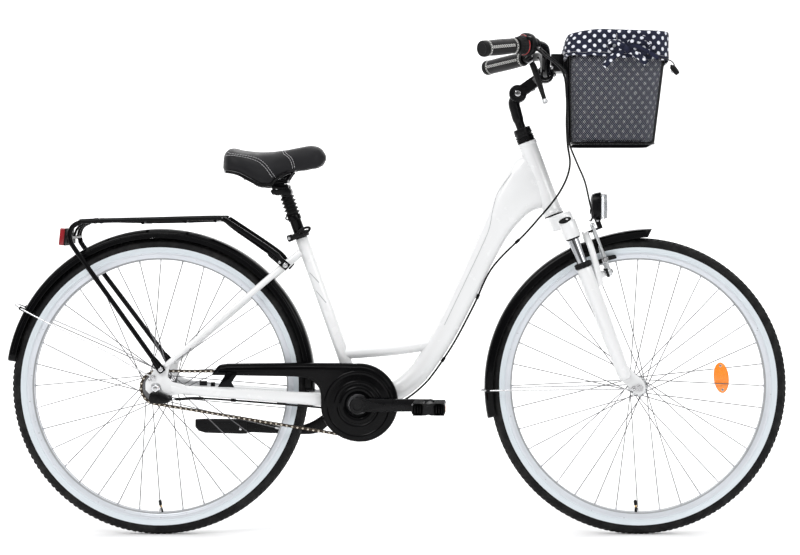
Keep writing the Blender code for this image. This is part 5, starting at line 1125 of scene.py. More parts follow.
# ------------------------------------------------------------------ rear rack
side_path = [V(X(-0.5560), -0.0778, 0.3990), V(X(-0.5800), -0.0755, 0.4320), V(X(-0.6600), -0.0667, 0.5414),
             V(X(-0.7560), -0.0562, 0.6725), V(X(-0.7700), -0.0550, 0.6980), V(X(-0.7710), -0.0550, 0.7140),
             V(X(-0.7637), -0.0550, 0.7297), V(X(-0.7480), -0.0550, 0.7388), V(X(-0.7300), -0.0550, 0.7422),
             V(X(-0.5800), -0.0550, 0.7460), V(X(-0.4300), -0.0550, 0.7497), V(X(-0.4126), -0.0550, 0.7470),
             V(X(-0.3950), -0.0540, 0.7370), V(X(-0.2950), -0.0485, 0.6700), V(X(-0.2700), -0.0448, 0.6430)]
items = []
for sy in (-1, 1):
    pts_ = smooth_path([V(q.x, q.y * -sy, q.z) for q in side_path], per=5)
    items.append((sweep(pts_, lambda t: round_section(0.0048 + 0.0010 * min(1.0, 14 * t, 14 * (1 - t)), 20)), "black"))
    # flattened ends with their bolts
    leg_d = (V(X(-0.5800), sy * 0.0755, 0.4320) - V(X(-0.5534), sy * 0.0781, 0.3957)).normalized()
    items.append((sweep([V(X(-0.5534), sy * 0.0781, 0.3957) + leg_d * t for t in (-0.0085, -0.007, -0.003, 0.006, 0.020, 0.032)],
                        lambda t: [(a * 0.0022, b * (0.0050 + 0.0042 * math.sin(pi * min(1.0, (t + 0.02) * 0.95)) ** 0.5)) for a, b in
                                   soft_box(1, 1, 0.2, 3)], up=(leg_d.cross(YY))), "black"))
    items.append((rod(V(X(-0.5534), sy * 0.0757, 0.3957), V(X(-0.5534), sy * 0.0802, 0.3957), 0.0088, seg=28), "black"))
    items.append((turned([(0, 0), (0.0062, 0), (0.0058, 0.0022), (0.0030, 0.0026), (0.0028, 0.0012), (0, 0.0012)],
                         V(X(-0.5534), sy * 0.0797, 0.3957), (0, sy, 0), 24, closed=False, fil=0.0004), "steel"))
    top_d = (V(X(-0.3350), sy * 0.0507, 0.6968) - V(X(-0.2660), sy * 0.0444, 0.6380)).normalized()
    plate = [V(X(-0.2660), sy * 0.0444, 0.6380) + top_d * t for t in (-0.0088, -0.0070, 0.0, 0.012, 0.045, 0.050)]
    items.append((sweep(plate, lambda t: [(a * 0.0022, b * (0.0092 if t < 0.95 else 0.0060)) for a, b in soft_box(1, 1, 0.2, 3)],
                        up=(top_d.cross(YY))), "black"))
    for k in range(4):
        c = V(X(-0.2660), sy * 0.0467, 0.6380) + top_d * (0.020 + 0.0065 * k)
        items.append((block(c, top_d, YY, top_d.cross(YY), 0.0028, 0.0012, 0.0150, 0.0004), "satin"))
    for dd, rr_ in ((0.0, 0.0062), (0.0145, 0.0036)):
        c = V(X(-0.2660), sy * 0.0462, 0.6380) + top_d * dd + (top_d.cross(YY) * (0.0 if dd == 0 else 0.003))
        items.append((turned([(0, 0), (rr_, 0), (rr_ * 0.92, 0.0024), (rr_ * 0.5, 0.0028), (rr_ * 0.45, 0.0012), (0, 0.0012)],
                             c, (0, sy, 0), 24, closed=False, fil=0.0004), "steel"))
    # second, lower rod of the front strut
    low_ = [V(X(-0.4100), sy * 0.0500, 0.7440), V(X(-0.3850), sy * 0.0480, 0.7230), V(X(-0.3400), sy * 0.0470, 0.6915),
            V(X(-0.3050), sy * 0.0455, 0.6665)]
    items.append((tube(smooth_path(low_, per=4), 0.0030, 12), "black"))
for x_, z_ in ((-0.7150, 0.7426), (-0.6000, 0.7383), (-0.5000, 0.7408), (-0.4300, 0.7427)):
    items.append((tube([V(X(x_), -0.0530, z_), V(X(x_), -0.02, z_), V(X(x_), 0.02, z_), V(X(x_), 0.0530, z_)], 0.0040, 16), "black"))
items.append((tube([V(X(-0.7690), -0.0530, 0.7040), V(X(-0.7690), 0, 0.7040), V(X(-0.7690), 0.0530, 0.7040)], 0.0040, 16), "black"))
for y_ in (-0.0180, 0.0180):
    items.append((tube(smooth_path([V(X(-0.7690), y_, 0.7040), V(X(-0.7600), y_, 0.7260), V(X(-0.7380), y_, 0.7385),
                                    V(X(-0.7150), y_, 0.7416), V(X(-0.5700), y_, 0.7392), V(X(-0.4300), y_, 0.7427)], per=5),
                       0.0028, 14), "black"))
items.append((block(V(X(-0.7790), 0, 0.7020), (1, 0, 0), YY, (0, 0, 1), 0.0140, 0.0300, 0.0260, 0.002, 3), "matt"))
put("rack_rods", items, "frame", "rear_rack")

lean = V(0.10, 0, 1).normalized()
side_ = lean.cross(YY).normalized()
items = [(block(V(X(-0.7846), 0, 0.7046), side_, YY, lean, 0.0036, 0.0860, 0.0410, 0.0014, 3), "matt"),
         (block(V(X(-0.7925), 0, 0.7052), side_, YY, lean, 0.0122, 0.0880, 0.0410, 0.0042, 5), "lamp_red"),
         (rod(V(X(-0.7945), 0, 0.6838), V(X(-0.7945), 0, 0.6870), 0.0026, seg=16), "lamp_red")]
for i in range(9):
    for j in range(3):
        items.append((turned([(0, 0), (0.0038, 0), (0.0, 0.0006)], V(X(-0.7983) + 0.10 * (0.0080 * (j - 1)), -0.032 + 0.008 * i, 0.6980 + 0.0080 * j),
                             -side_ if side_.x > 0 else side_, 6, closed=False, fil=0), "lamp_red"))
put("rear_lamp", items, "frame", "rear_light")

clip_half = [V(X(-0.7100), -0.0350, 0.7480), V(X(-0.6950), -0.0350, 0.7455), V(X(-0.5200), -0.0340, 0.7483),
             V(X(-0.4900), -0.0300, 0.7488), V(X(-0.4750), -0.0200, 0.7492), V(X(-0.4710), -0.0080, 0.7493)]
clip_path = smooth_path(clip_half + [V(q.x, -q.y, q.z) for q in reversed(clip_half)], per=5)
items = [(tube(clip_path, 0.0027, 14), "black")]
for sy in (-1, 1):
    coil = []
    for k in range(61):
        a = 2 * pi * 3.0 * k / 60
        coil.append(V(X(-0.7150) + 0.0057 * math.cos(a), sy * (0.0305 + 0.0090 * k / 60), 0.7426 + 0.0057 * math.sin(a)))
    items.append((tube(coil, 0.0012, 10), "satin"))
put("spring_clip", items, "rack_clip", "rack_clip")


# ------------------------------------------------------------- rear axle end
AXC = V(REAR_X, 0, AXLE_Z)
items = [(rod(V(REAR_X, -0.0850, AXLE_Z), V(REAR_X, 0.0850, AXLE_Z), 0.0050, seg=28), "steel")]
for s, cone in ((-1, 0.0608), (1, 0.0530)):
    items.append((turned([(0.005, cone), (0.0098, cone), (0.0100, 0.0650), (0.0100, 0.0657), (0.005, 0.0657)],
                         AXC, (0, s, 0), 40), "steel"))
    # keyed washer with its turned-in tab, then the axle nut with a flange
    pts = [(REAR_X + x, AXLE_Z + z) for x, z in ((-0.0110, -0.0060), (-0.0110, 0.0075), (-0.0060, 0.0122), (0.0050, 0.0124),
                                                 (0.0105, 0.0085), (0.0125, 0.0015), (0.0160, -0.0080), (0.0250, -0.0105),
                                                 (0.0300, -0.0120), (0.0300, -0.0165), (0.0120, -0.0160), (0.0040, -0.0128),
                                                 (-0.0060, -0.0122))]
    items.append((prism(pts, s * 0.0722, s * 0.0734, fil=0.003, edge=0.0003), "alloy"))
    items.append((turned([(0.005, 0.0734), (0.0094, 0.0734), (0.0094, 0.0744), (0.005, 0.0744)], AXC, (0, s, 0), 32), "chrome"))
    items.append((hexa(AXC + YY * (s * 0.0742), AXC + YY * (s * 0.0806), 0.0092), "chrome"))
    items.append((rod(AXC + YY * (s * 0.0800), AXC + YY * (s * 0.0848), 0.0046, seg=24), "steel"))
    c = V(X(-0.5800), s * 0.0722, 0.3700)
    items.append((turned([(0, 0), (0.0046, 0), (0.0042, 0.0024), (0.0020, 0.0028), (0.0018, 0.0014), (0, 0.0014)], c, (0, s, 0), 24,
                         closed=False, fil=0.0004), "steel"))
# back-pedal brake arm along the left stay, and its strap
arm = [(X(-0.5640), 0.3560), (X(-0.5560), 0.3605), (X(-0.5300), 0.3620), (X(-0.4700), 0.3565), (X(-0.4350), 0.3520),
       (X(-0.4350), 0.3450), (X(-0.4700), 0.3485), (X(-0.5300), 0.3500), (X(-0.5560), 0.3460)]
items.append((turned([(0.0050, 0.0503), (0.0176, 0.0503), (0.0198, 0.0512), (0.0196, 0.0530), (0.0050, 0.0530)], AXC, YY, 48), "dark"))
# gear click box round the axle end, with its cable barrel
cb = [(X(-0.5765), 0.3425), (X(-0.5800), 0.3300), (X(-0.5790), 0.3205), (X(-0.5740), 0.3168), (X(-0.5560), 0.3166),
      (X(-0.5380), 0.3168), (X(-0.5318), 0.3210), (X(-0.5312), 0.3260), (X(-0.5360), 0.3320), (X(-0.5400), 0.3358),
      (X(-0.5550), 0.3425)]
items.append((prism(cb, -0.0737, -0.0897, fil=0.0035, edge=0.0018), "matt"))
items.append((prism(inset(cb, 0.0035), -0.0890, -0.0900, fil=0.002, edge=0.0004), "satin"))
items.append((rod(V(X(-0.5350), -0.0820, 0.3258), V(X(-0.5255), -0.0815, 0.3258), 0.0040, 0.0034, seg=24), "matt"))
items.append((rod(V(X(-0.5265), -0.0818, 0.3258), V(X(-0.5200), -0.0812, 0.3259), 0.0030, seg=20), "steel"))
items.append((rod(V(X(-0.5480), -0.0890, 0.3235), V(X(-0.5480), -0.0899, 0.3235), 0.0026, seg=20), "steel"))
put("rear_axle_end", items, "frame", "rear_axle")
items = [(prism(arm, 0.0533, 0.0553, fil=0.003, edge=0.0004), "alloy")]
items.append((block(V(X(-0.4740), 0.0555, 0.3525), (1, 0, 0), YY, (0, 0, 1), 0.0180, 0.0090, 0.0110, 0.002, 4), "matt"))
items.append((block(V(X(-0.4510), 0.0555, 0.3500), (1, 0, 0), YY, (0, 0, 1), 0.0110, 0.0090, 0.0100, 0.002, 4), "matt"))
items.append((rod(V(X(-0.4510), 0.0510, 0.3500), V(X(-0.4510), 0.0640, 0.3500), 0.0028, seg=18), "steel"))
put("back_pedal_arm", items, "frame")


# ---------------------------------------------------------------- drive train
def teeth(cx, cz, n, tip, root, y0, y1):
    pts = []
    for k in range(n):
        for r, f in ((root, -0.34), ((root + tip) / 2, -0.22), (tip, -0.07), (tip, 0.07), ((root + tip) / 2, 0.22), (root, 0.34)):
            a = 2 * pi * (k + f) / n
            pts.append((cx + r * math.cos(a), cz + r * math.sin(a)))
    return prism(pts, y0, y1)


CG = V(REAR_X, CHAIN_Y, AXLE_Z)
cog = teeth(REAR_X, AXLE_Z, 19, 0.0417, 0.0352, CHAIN_Y - 0.0010, CHAIN_Y + 0.0010)
cog = cutaway(cog, rod(V(REAR_X, -0.03, AXLE_Z), V(REAR_X, -0.07, AXLE_Z), 0.0160, seg=40))
sleeve_ = turned([(0.0104, -0.0110), (0.0160, -0.0110), (0.0165, -0.0104), (0.0165, 0.0072), (0.0160, 0.0078), (0.0104, 0.0078)],
                 CG, YY, 48)
put("cog_wheel", [(cog, "dark"), (sleeve_, "dark")], "rear_cog", "rear_sprocket")

Dv = Vector((BB_X - REAR_X, BB_Z - AXLE_Z))
beta = math.atan2(Dv.y, Dv.x)
alpha = math.acos((COG_R - RING_R) / Dv.length)
loop = []
for k in range(61):
    a = beta + alpha + (2 * pi - 2 * alpha) * k / 60
    loop.append(V(REAR_X + COG_R * math.cos(a), CHAIN_Y, AXLE_Z + COG_R * math.sin(a)))
for k in range(101):
    a = beta - alpha + 2 * alpha * k / 100
    loop.append(V(BB_X + RING_R * math.cos(a), CHAIN_Y, BB_Z + RING_R * math.sin(a)))
seg_len = [(loop[(i + 1) % len(loop)] - p).length for i, p in enumerate(loop)]
total = sum(seg_len)
N = 2 * round(total / 0.0127 / 2)


def along_loop(d):
    d %= total
    for i, s in enumerate(seg_len):
        if d <= s:
            return loop[i].lerp(loop[(i + 1) % len(loop)], d / s)
        d -= s
    return loop[0]


pins = [along_loop(total * k / N) for k in range(N)]
links = []
for k in range(N):
    a, b = pins[k], pins[(k + 1) % N]
    t = (b - a).normalized()
    n_ = YY.cross(t).normalized()
    outer = k % 2 == 0
    ya, yb = (0.0023, 0.0032) if outer else (0.0012, 0.0021)
    out = []
    L = (b - a).length
    for j in range(20):
        ang = 2 * pi * j / 20
        u = math.cos(ang)
        x = L / 2 + (L / 2) * (1 if u > 0 else -1) + 0.0045 * u if abs(u) > 0.35 else L / 2 + (L / 2) * u / 0.35 * 0.72
        z = 0.0045 * math.sin(ang) if abs(u) > 0.35 else 0.0030 * math.copysign(1, math.sin(ang))
        out.append((x, z))
    for s in (-1, 1):
        lo = [a + t * x + n_ * z + YY * (s * ya) for x, z in out]
        hi = [a + t * x + n_ * z + YY * (s * yb) for x, z in out]
        links.append((loft([lo, hi]), "bronze"))
    links.append((rod(a - YY * 0.0036, a + YY * 0.0036, 0.0025, seg=10, fil=0.0002), "link"))
    links.append((rod(a - YY * 0.0012, a + YY * 0.0012, 0.0037, seg=12, fil=0.0002), "bronze"))
put("roller_chain", links, "frame", "chain")

CASE = [(-0.4398, 0.3803), (-0.4300, 0.3940), (-0.4205, 0.4047), (-0.4005, 0.4075), (-0.2290, 0.4094), (-0.1221, 0.4085)]
CASE += circle2(-0.0925, 0.3155, 0.0925, 96, -80, 48)
CASE += [(-0.0950, 0.2235), (-0.1120, 0.2264), (-0.1330, 0.2332), (-0.1510, 0.2438), (-0.1650, 0.2580), (-0.1745, 0.2750), (-0.1800, 0.2910),
         (-0.1815, 0.3063), (-0.1815, 0.3335), (-0.1840, 0.3460), (-0.1902, 0.3568), (-0.1990, 0.3650), (-0.2095, 0.3704), (-0.2260, 0.3750),
         (-0.2445, 0.3770), (-0.3070, 0.3781)]
case_raw = [(X(x), z) for x, z in CASE]


def layer(rows):
    """Shell outline at several depths, each moved inward by its own amount."""
    m = len(case_raw)
    sharp = []
    for i in range(m):
        a, b, c = (Vector(case_raw[j % m]) for j in (i - 1, i, i + 1))
        sharp.append((a - b).normalized().dot((c - b).normalized()) > -0.985)
    rings = []
    for d, y in rows:
        P = [Vector(p) for p in (inset(case_raw, d) if d else case_raw)]
        ring = []
        for i in range(m):
            a, b, c = P[i - 1], P[i], P[(i + 1) % m]
            if not sharp[i]:
                ring.append(V(b.x, y, b.y))
                continue
            e = min(max(0.0010, 0.0055 - d), (a - b).length * 0.45, (c - b).length * 0.45)
            p, q = b + (a - b).normalized() * e, b + (c - b).normalized() * e
            for k in range(4):
                t = k / 3
                w = p * (1 - t) ** 2 + b * (2 * t * (1 - t)) + q * t * t
                ring.append(V(w.x, y, w.y))
        rings.append(ring)
    return loft(rings)


outer_ = layer([(0.0, -0.0460), (0.0, -0.0555), (0.0006, -0.0578), (0.0020, -0.0598), (0.0042, -0.0606), (0.0070, -0.0607),
                (0.0078, -0.0612), (0.0084, -0.0622), (0.0094, -0.0628), (0.0108, -0.0630)])
inner_ = layer([(0.0022, -0.0400), (0.0022, -0.0560), (0.0040, -0.0588), (0.0060, -0.0590)])
BBc = V(BB_X, 0, BB_Z)
hole_ = rod(V(BB_X, -0.08, BB_Z), V(BB_X, -0.05, BB_Z), 0.0246, seg=64, fil=0)
mouth1 = box((X(-0.4500), -0.0585, 0.3830), (X(-0.4180), -0.0400, 0.3965), 0)
mouth2 = box((X(-0.1960), -0.0585, 0.2330), (X(-0.1200), -0.0400, 0.2640), 0)
tray = cutaway(outer_, inner_, hole_, mouth1, mouth2)
items = [(tray, "black")]
items.append((turned([(0.0246, -0.0600), (0.0452, -0.0600), (0.0451, -0.0620), (0.0447, -0.0634), (0.0439, -0.0646), (0.0428, -0.0655),
                      (0.0412, -0.0662), (0.0392, -0.0666), (0.0372, -0.0667), (0.0350, -0.0665), (0.0328, -0.0659), (0.0308, -0.0650),
                      (0.0290, -0.0640), (0.0272, -0.0634), (0.0248, -0.0632)], BBc, YY, 96, fil=0), "black"))
for r in (0.0525, 0.0755):
    items.append((turned([(r - 0.0052, -0.0622), (r + 0.0052, -0.0622), (r + 0.0046, -0.0628), (r + 0.0036, -0.0634), (r + 0.0020, -0.0639), (r, -0.0641),
                          (r - 0.0020, -0.0639), (r - 0.0036, -0.0634), (r - 0.0046, -0.0628)], BBc, YY, 96, fil=0), "black"))
tab = [(X(x), z) for x, z in ((-0.4023, 0.3870), (-0.3784, 0.3870), (-0.3792, 0.3793), (-0.3900, 0.3640), (-0.3836, 0.3522), (-0.4225, 0.3530),
                              (-0.4170, 0.3625))]
items.append((prism(tab, -0.0606, -0.0632, fil=0.002, edge=0.0006), "black"))
# long pressed line along the case's arm
for z0, z1, r in ((0.3985, 0.4005, 0.0008), (0.3925, 0.3940, 0.0005)):
    items.append((sweep([V(X(-0.4130), -0.0630, z0), V(X(-0.3200), -0.0630, (z0 + z1) / 2), V(X(-0.1700), -0.0630, z1)],
                        round_section(r, 8)), "black"))
put("chain_case_shell", items, "frame", "chain_case", angle=32)

# --------------------------------------------------------------------- cranks
def crank(side, reach, inner, ring):
    y0, y1 = side * 0.068, side * 0.0815
    sgn = 1 if reach > 0 else -1
    arm = prism(capsule(BB_X, BB_Z, 0.0157, BB_X + reach, BB_Z, 0.0142), y0, y1, edge=0.0026)
    eye = rod(V(BB_X + reach, y0, BB_Z), V(BB_X + reach, side * 0.0822, BB_Z), 0.0146, seg=48, fil=0.0016)
    boss = turned([(0.0090, side * inner), (0.0178, side * inner), (0.0180, side * 0.066), (0.0190, side * 0.0700),
                   (0.0190, side * 0.0815), (0.0178, side * 0.0830), (0.0160, side * 0.0834), (0.0090, side * 0.0834)],
                  BBc, YY, 64, fil=0.0008)
    cap = turned([(0, side * 0.0800), (0.0158, side * 0.0800), (0.0158, side * 0.0836), (0.0128, side * 0.0838), (0.0124, side * 0.0833),
                  (0.0100, side * 0.0833), (0.0096, side * 0.0838), (0.0062, side * 0.0838), (0.0058, side * 0.0833),
                  (0.0036, side * 0.0833), (0.0032, side * 0.0838), (0, side * 0.0838)], BBc, YY, 64, closed=False, fil=0.0002)
    # raised arrow from the boss into the arm
    bx = BB_X + sgn * 0.014
    tip = V(BB_X + sgn * 0.0660, side * 0.0815, BB_Z - 0.0005)
    top = [V(bx, side * 0.0838, BB_Z + 0.0128), V(bx, side * 0.0838, BB_Z - 0.0128)]
    low_ = [V(bx, side * 0.0790, BB_Z + 0.0140), V(bx, side * 0.0790, BB_Z - 0.0140)]
    bm = bmesh.new()
    v = [bm.verts.new(p) for p in (top[0], top[1], tip + YY * (side * 0.0006), low_[0], low_[1], tip - YY * (side * 0.003))]
    for f in ((0, 1, 2), (3, 4, 5), (0, 3, 5, 2), (1, 4, 5, 2), (0, 1, 4, 3)):
        bm.faces.new([v[i] for i in f])
    arrow = out_mesh(bm)
    its = [(arm, "satin"), (eye, "satin"), (boss, "satin"), (cap, "matt"), (arrow, "satin")]
    if ring:
        plate = teeth(BB_X, BB_Z, 38, 0.0802, 0.0738, CHAIN_Y - 0.0010, CHAIN_Y + 0.0010)
        its.append((plate, "dark"))
    return its


put("right_crank_arm", crank(-1, CRANK, 0.0445, True), "crank", "right_crank")
put("left_crank_arm", crank(1, -CRANK, 0.0420, False), "crank", "left_crank")
put("bottom_axle", [(rod(V(BB_X, -0.0772, BB_Z), V(BB_X, 0.0772, BB_Z), 0.0086, seg=40), "steel")], "crank", "crank_spindle")


def pedal(c, side):
    its = []
    o = c + V(0, side * 0.0005, 0)
    for e in (-1, 1):
        its.append((sweep([o + V(e * 0.0245, y, 0) for y in (-0.0478, -0.0460, -0.0200, 0.0200, 0.0460, 0.0478)],
                          lambda t: [(a, b * (0.86 if t in (0.0, 1.0) else 1)) for a, b in soft_box(0.0135, 0.0142, 0.30, 5)]), "matt"))
        for k in range(11):
            for zz in (-1, 1):
                its.append((block(o + V(e * 0.0245, -0.0420 + 0.0084 * k, zz * 0.0138), (1, 0, 0), YY, (0, 0, 1), 0.0230, 0.0046,
                                  0.0016, 0.0006), "rubber"))
        for zz in (-1, 1):
            its.append((block(o + V(e * 0.0140, 0, zz * 0.0095), (1, 0, 0), YY, (0, 0, 1), 0.0060, 0.0860, 0.0040, 0.001), "matt"))
        its.append((block(o + V(e * 0.0372, 0, 0), (1, 0, 0), YY, (0, 0, 1), 0.0030, 0.0640, 0.0190, 0.0010, 3), "alloy"))
        its.append((block(o + V(e * 0.0382, 0, 0), (1, 0, 0), YY, (0, 0, 1), 0.0014, 0.0580, 0.0150, 0.0005), "orange"))
        # end plate seen from the side
        plate = [(o.x - 0.0360, o.z - 0.0105), (o.x - 0.0360, o.z + 0.0105), (o.x - 0.0300, o.z + 0.0140), (o.x - 0.0060, o.z + 0.0140),
                 (o.x, o.z + 0.0120), (o.x + 0.0060, o.z + 0.0140), (o.x + 0.0300, o.z + 0.0140), (o.x + 0.0360, o.z + 0.0105),
                 (o.x + 0.0360, o.z - 0.0105), (o.x + 0.0300, o.z - 0.0140), (o.x + 0.0060, o.z - 0.0140), (o.x, o.z - 0.0120),
                 (o.x - 0.0060, o.z - 0.0140), (o.x - 0.0300, o.z - 0.0140)]
        its.append((prism(plate, o.y + e * 0.0432, o.y + e * 0.0478, fil=0.003, edge=0.0010), "matt"))
    for e in (-1, 1):
        for k in range(4):
            its.append((block(V(o.x + e * (0.0120 + 0.0062 * k), o.y + side * -0.0004 + side * 0.0478, o.z), (1, 0, 0), YY, (0, 0, 1),
                              0.0022, 0.0010, 0.0180, 0.0004), "satin"))
    its.append((rod(V(o.x, o.y - 0.0440, o.z), V(o.x, o.y + 0.0440, o.z), 0.0118, seg=32), "matt"))
    its.append((turned([(0, 0), (0.0085, 0), (0.0085, 0.0014), (0.0070, 0.0022), (0, 0.0022)],
                       V(o.x, o.y + side * 0.0464, o.z), (0, side, 0), 32, closed=False, fil=0.0004), "matt"))
    its.append((rod(V(c.x, side * 0.0690, c.z), V(c.x, side * 0.0900, c.z), 0.0070, seg=32), "steel"))
    its.append((hexa(V(c.x, side * 0.0824, c.z), V(c.x, side * 0.0870, c.z), 0.0098), "steel"))
    return its


put("right_pedal_cage", pedal(V(BB_X + CRANK, -0.135, BB_Z), -1), "right_pedal", "right_pedal")
put("left_pedal_cage", pedal(V(BB_X - CRANK, 0.135, BB_Z), 1), "left_pedal", "left_pedal")

# ------------------------------------------------------------------ kickstand
KICK = V(X(-0.156), 0.0400, 0.291)
KO = V(0, 0.968, 0.25).normalized()
LEG = [(-0.1600, 0.2790, 0.0150, 0.0528, 0.0055), (-0.1750, 0.2690, 0.0180, 0.0560, 0.0060),
       (-0.1925, 0.2540, 0.0190, 0.0585, 0.0062), (-0.2120, 0.2455, 0.0150, 0.0592, 0.0062),
       (-0.2310, 0.2412, 0.0115, 0.0594, 0.0060), (-0.2600, 0.2392, 0.0088, 0.0590, 0.0060),
       (-0.2890, 0.2395, 0.0082, 0.0595, 0.0060), (-0.3200, 0.2440, 0.0115, 0.0600, 0.0062),
       (-0.3562, 0.2487, 0.0142, 0.0605, 0.0065), (-0.3690, 0.2485, 0.0148, 0.0606, 0.0067),
       (-0.3702, 0.2480, 0.0170, 0.0608, 0.0078), (-0.3852, 0.2484, 0.0177, 0.0610, 0.0078),
       (-0.4300, 0.2492, 0.0173, 0.0612, 0.0078), (-0.4700, 0.2499, 0.0168, 0.0615, 0.0078),
       (-0.4860, 0.2520, 0.0140, 0.0615, 0.0076), (-0.4935, 0.2560, 0.0095, 0.0615, 0.0068)]
fine = []
for (a, b) in zip(LEG, LEG[1:]):
    for k in range(4):
        t = k / 4
        fine.append([a[i] + (b[i] - a[i]) * t for i in range(5)])
fine.append(list(LEG[-1]))
for _ in range(2):
    fine = [fine[0]] + [[(fine[i - 1][j] + 2 * fine[i][j] + fine[i + 1][j]) / 4 if j in (1, 2, 3) and fine[i][0] > -0.366
                         else fine[i][j] for j in range(5)] for i in range(1, len(fine) - 1)] + [fine[-1]]


def leg_ring(x, zc, hh, yc, hw):
    """Box section with eased corners."""
    h = [(1.0, 0.0), (1.0, 0.62), (0.96, 0.78), (0.80, 0.93), (0.55, 1.0), (0.0, 1.0)]
    q = [(a * hw, b * hh) for a, b in h]
    right = [(a, -b) for a, b in reversed(q[1:])] + q
    left = [(-a, b) for a, b in reversed(right[1:-1])]
    return [V(X(x), yc + a, zc + b) for a, b in right + left]


items = [(loft([leg_ring(*r) for r in fine if r[0] > -0.3702 + 1e-6]), "satin"),
         (loft([leg_ring(*r) for r in fine if r[0] <= -0.3702 + 1e-6]), "matt"),
         (rod(KICK + KO * 0.0050, KICK + KO * 0.0172, 0.0165, seg=48, fil=0.0018), "satin"),
         (turned([(0, 0.0165), (0.0066, 0.0165), (0.0062, 0.0188), (0.0034, 0.0192), (0.0030, 0.0176), (0, 0.0176)], KICK, KO, 6,
                 closed=False, fil=0), "steel")]
for dz, r in ((0.0052, 0.0006), (-0.0052, 0.0006)):
    for s in (-1, 1):
        for x0, x1 in ((-0.2450, -0.3600), (-0.3750, -0.4800)):
            line = [V(X(x), yc + s * hw, zc + dz * hh / 0.014) for x, zc, hh, yc, hw in fine if x1 <= x <= x0]
            items.append((sweep(line, round_section(r, 8)), "satin"))
for s in (-1, 1):
    c = V(X(-0.3850), 0.0610 + s * 0.0076, 0.2425)
    items.append((turned([(0, 0), (0.0034, 0), (0.0030, 0.0012), (0.0014, 0.0015), (0, 0.0013)], c, (0, s, 0), 16, closed=False,
                         fil=0.0003), "steel"))
    items.append((block(V(X(-0.3800), 0.0609 + s * 0.0076, 0.2590), (1, 0, 0), YY, (0, 0, 1), 0.0200, 0.0012, 0.0026, 0.0004), "satin"))
put("kickstand_bar", items, "kickstand", "kickstand_leg")


# ------------------------------------------------------------ fork, upper part
FX, FY = 0.022, 0.058
crown_out = [(-0.017, -0.030), (-0.017, 0.030), (0.006, 0.060), (0.022, 0.0785), (0.036, 0.070), (0.040, 0.050),
             (0.040, -0.050), (0.036, -0.070), (0.022, -0.0785), (0.006, -0.060)]
crown_fine = fillet(crown_out, 0.012, 5, True)
rows = []
for s, k in ((0.0035, 0.86), (0.0040, 0.90), (0.0055, 0.94), (0.0085, 0.985), (0.0120, 1.0), (0.0310, 1.0), (0.0355, 0.985),
             (0.0385, 0.955), (0.0398, 0.92)):
    rows.append([steer(s, 0.012 + (p - 0.012) * k, y * k) for p, y in crown_fine])
items = [(loft(rows), "paint")]
for sy in (-1, 1):
    items.append((turned([(0.0127, 0.026), (0.0185, 0.026), (0.0200, 0.0290), (0.0200, 0.0660), (0.0190, 0.0678), (0.0127, 0.0680)],
                         steer(0, FX, sy * FY), -UP, 64, fil=0.0012), "paint"))
    # black oval plug in the crown's end, with a thin silver edge
    oval = [(a, b) for a, b in ellipse2(0, 0, 0.0155, 0.0072, 0, 40)]
    for k, (grow, out, mat) in enumerate(((1.0, 0.0009, "matt"), (1.13, 0.0004, "paint"))):
        rows = []
        for lift, g in ((-0.0080, 1.0), (out * 0.6, 1.0), (out, 0.94)):
            rows.append([steer(0.0225 + b * grow * g * 0.9, 0.0185 + a * grow * g, sy * (0.0780 + lift - 0.4 * abs(a * grow * g) ** 1.1))
                         for a, b in oval])
        items.append((loft(rows), mat))
    items.append((turned([(0.0132, 0.0675), (0.0166, 0.0675), (0.0170, 0.0690), (0.0158, 0.0712), (0.0132, 0.0716)],
                         steer(0, FX, sy * FY), -UP, 48), "matt"))
    items.append((rod(steer(0.060, FX, sy * FY), steer(0.268, FX, sy * FY), 0.0125, seg=56), "stanchion"))
items.append((pipe(steer(0.020, 0), steer(-0.2040, 0), 0.0143, 0.0116, 48), "steel"))
items.append((pipe(steer(0.0036, 0), steer(0.0006, 0), 0.0236, 0.0150, 56), "matt"))
put("fork_upper", items, "steering", "fork_crown")

# --------------------------------------------------------------- fork lowers
items = []
for sy in (-1, 1):
    o = steer(0, FX, sy * FY)
    prof = [(0.0136, 0.1430), (0.0176, 0.1430), (0.0180, 0.1460), (0.0180, 0.1700), (0.0176, 0.2200), (0.0170, 0.2700), (0.0164, 0.3200),
            (0.0158, 0.3600), (0.0148, 0.4150), (0.0128, 0.4205), (0.0080, 0.4232), (0.0, 0.4240)]
    items.append((turned(prof + [(0.0, 0.3300), (0.0136, 0.3300)], o, -UP, 64, fil=0.0008), "paint"))
    plate = [(0.395, 0.008), (0.395, 0.036), (0.425, 0.050), (0.438, 0.0585), (0.452, 0.0600), (0.466, 0.0530), (0.470, 0.042),
             (0.464, 0.031), (0.448, 0.026), (0.425, 0.012)]
    pl = prism([(steer(s, p).x, steer(s, p).z) for s, p in plate], sy * 0.0500, sy * 0.0570, fil=0.006, edge=0.0016)
    items.append((cutaway(pl, rod(V(FRONT_X, -0.08, AXLE_Z), V(FRONT_X, 0.08, AXLE_Z), 0.0054, seg=32)), "paint"))
arch_pts = [(0.196, 0.0580, 0.0442), (0.160, 0.0585, 0.0485), (0.120, 0.0575, 0.0520), (0.094, 0.0500, 0.0535),
            (0.076, 0.0340, 0.0535), (0.069, 0.0150, 0.0535), (0.068, 0.0, 0.0535)]
arch_half = [steer(s, p, -y) for s, y, p in arch_pts]
arch_path = smooth_path(arch_half + [V(q.x, -q.y, q.z) for q in reversed(arch_half[:-1])], per=6)
rows = []
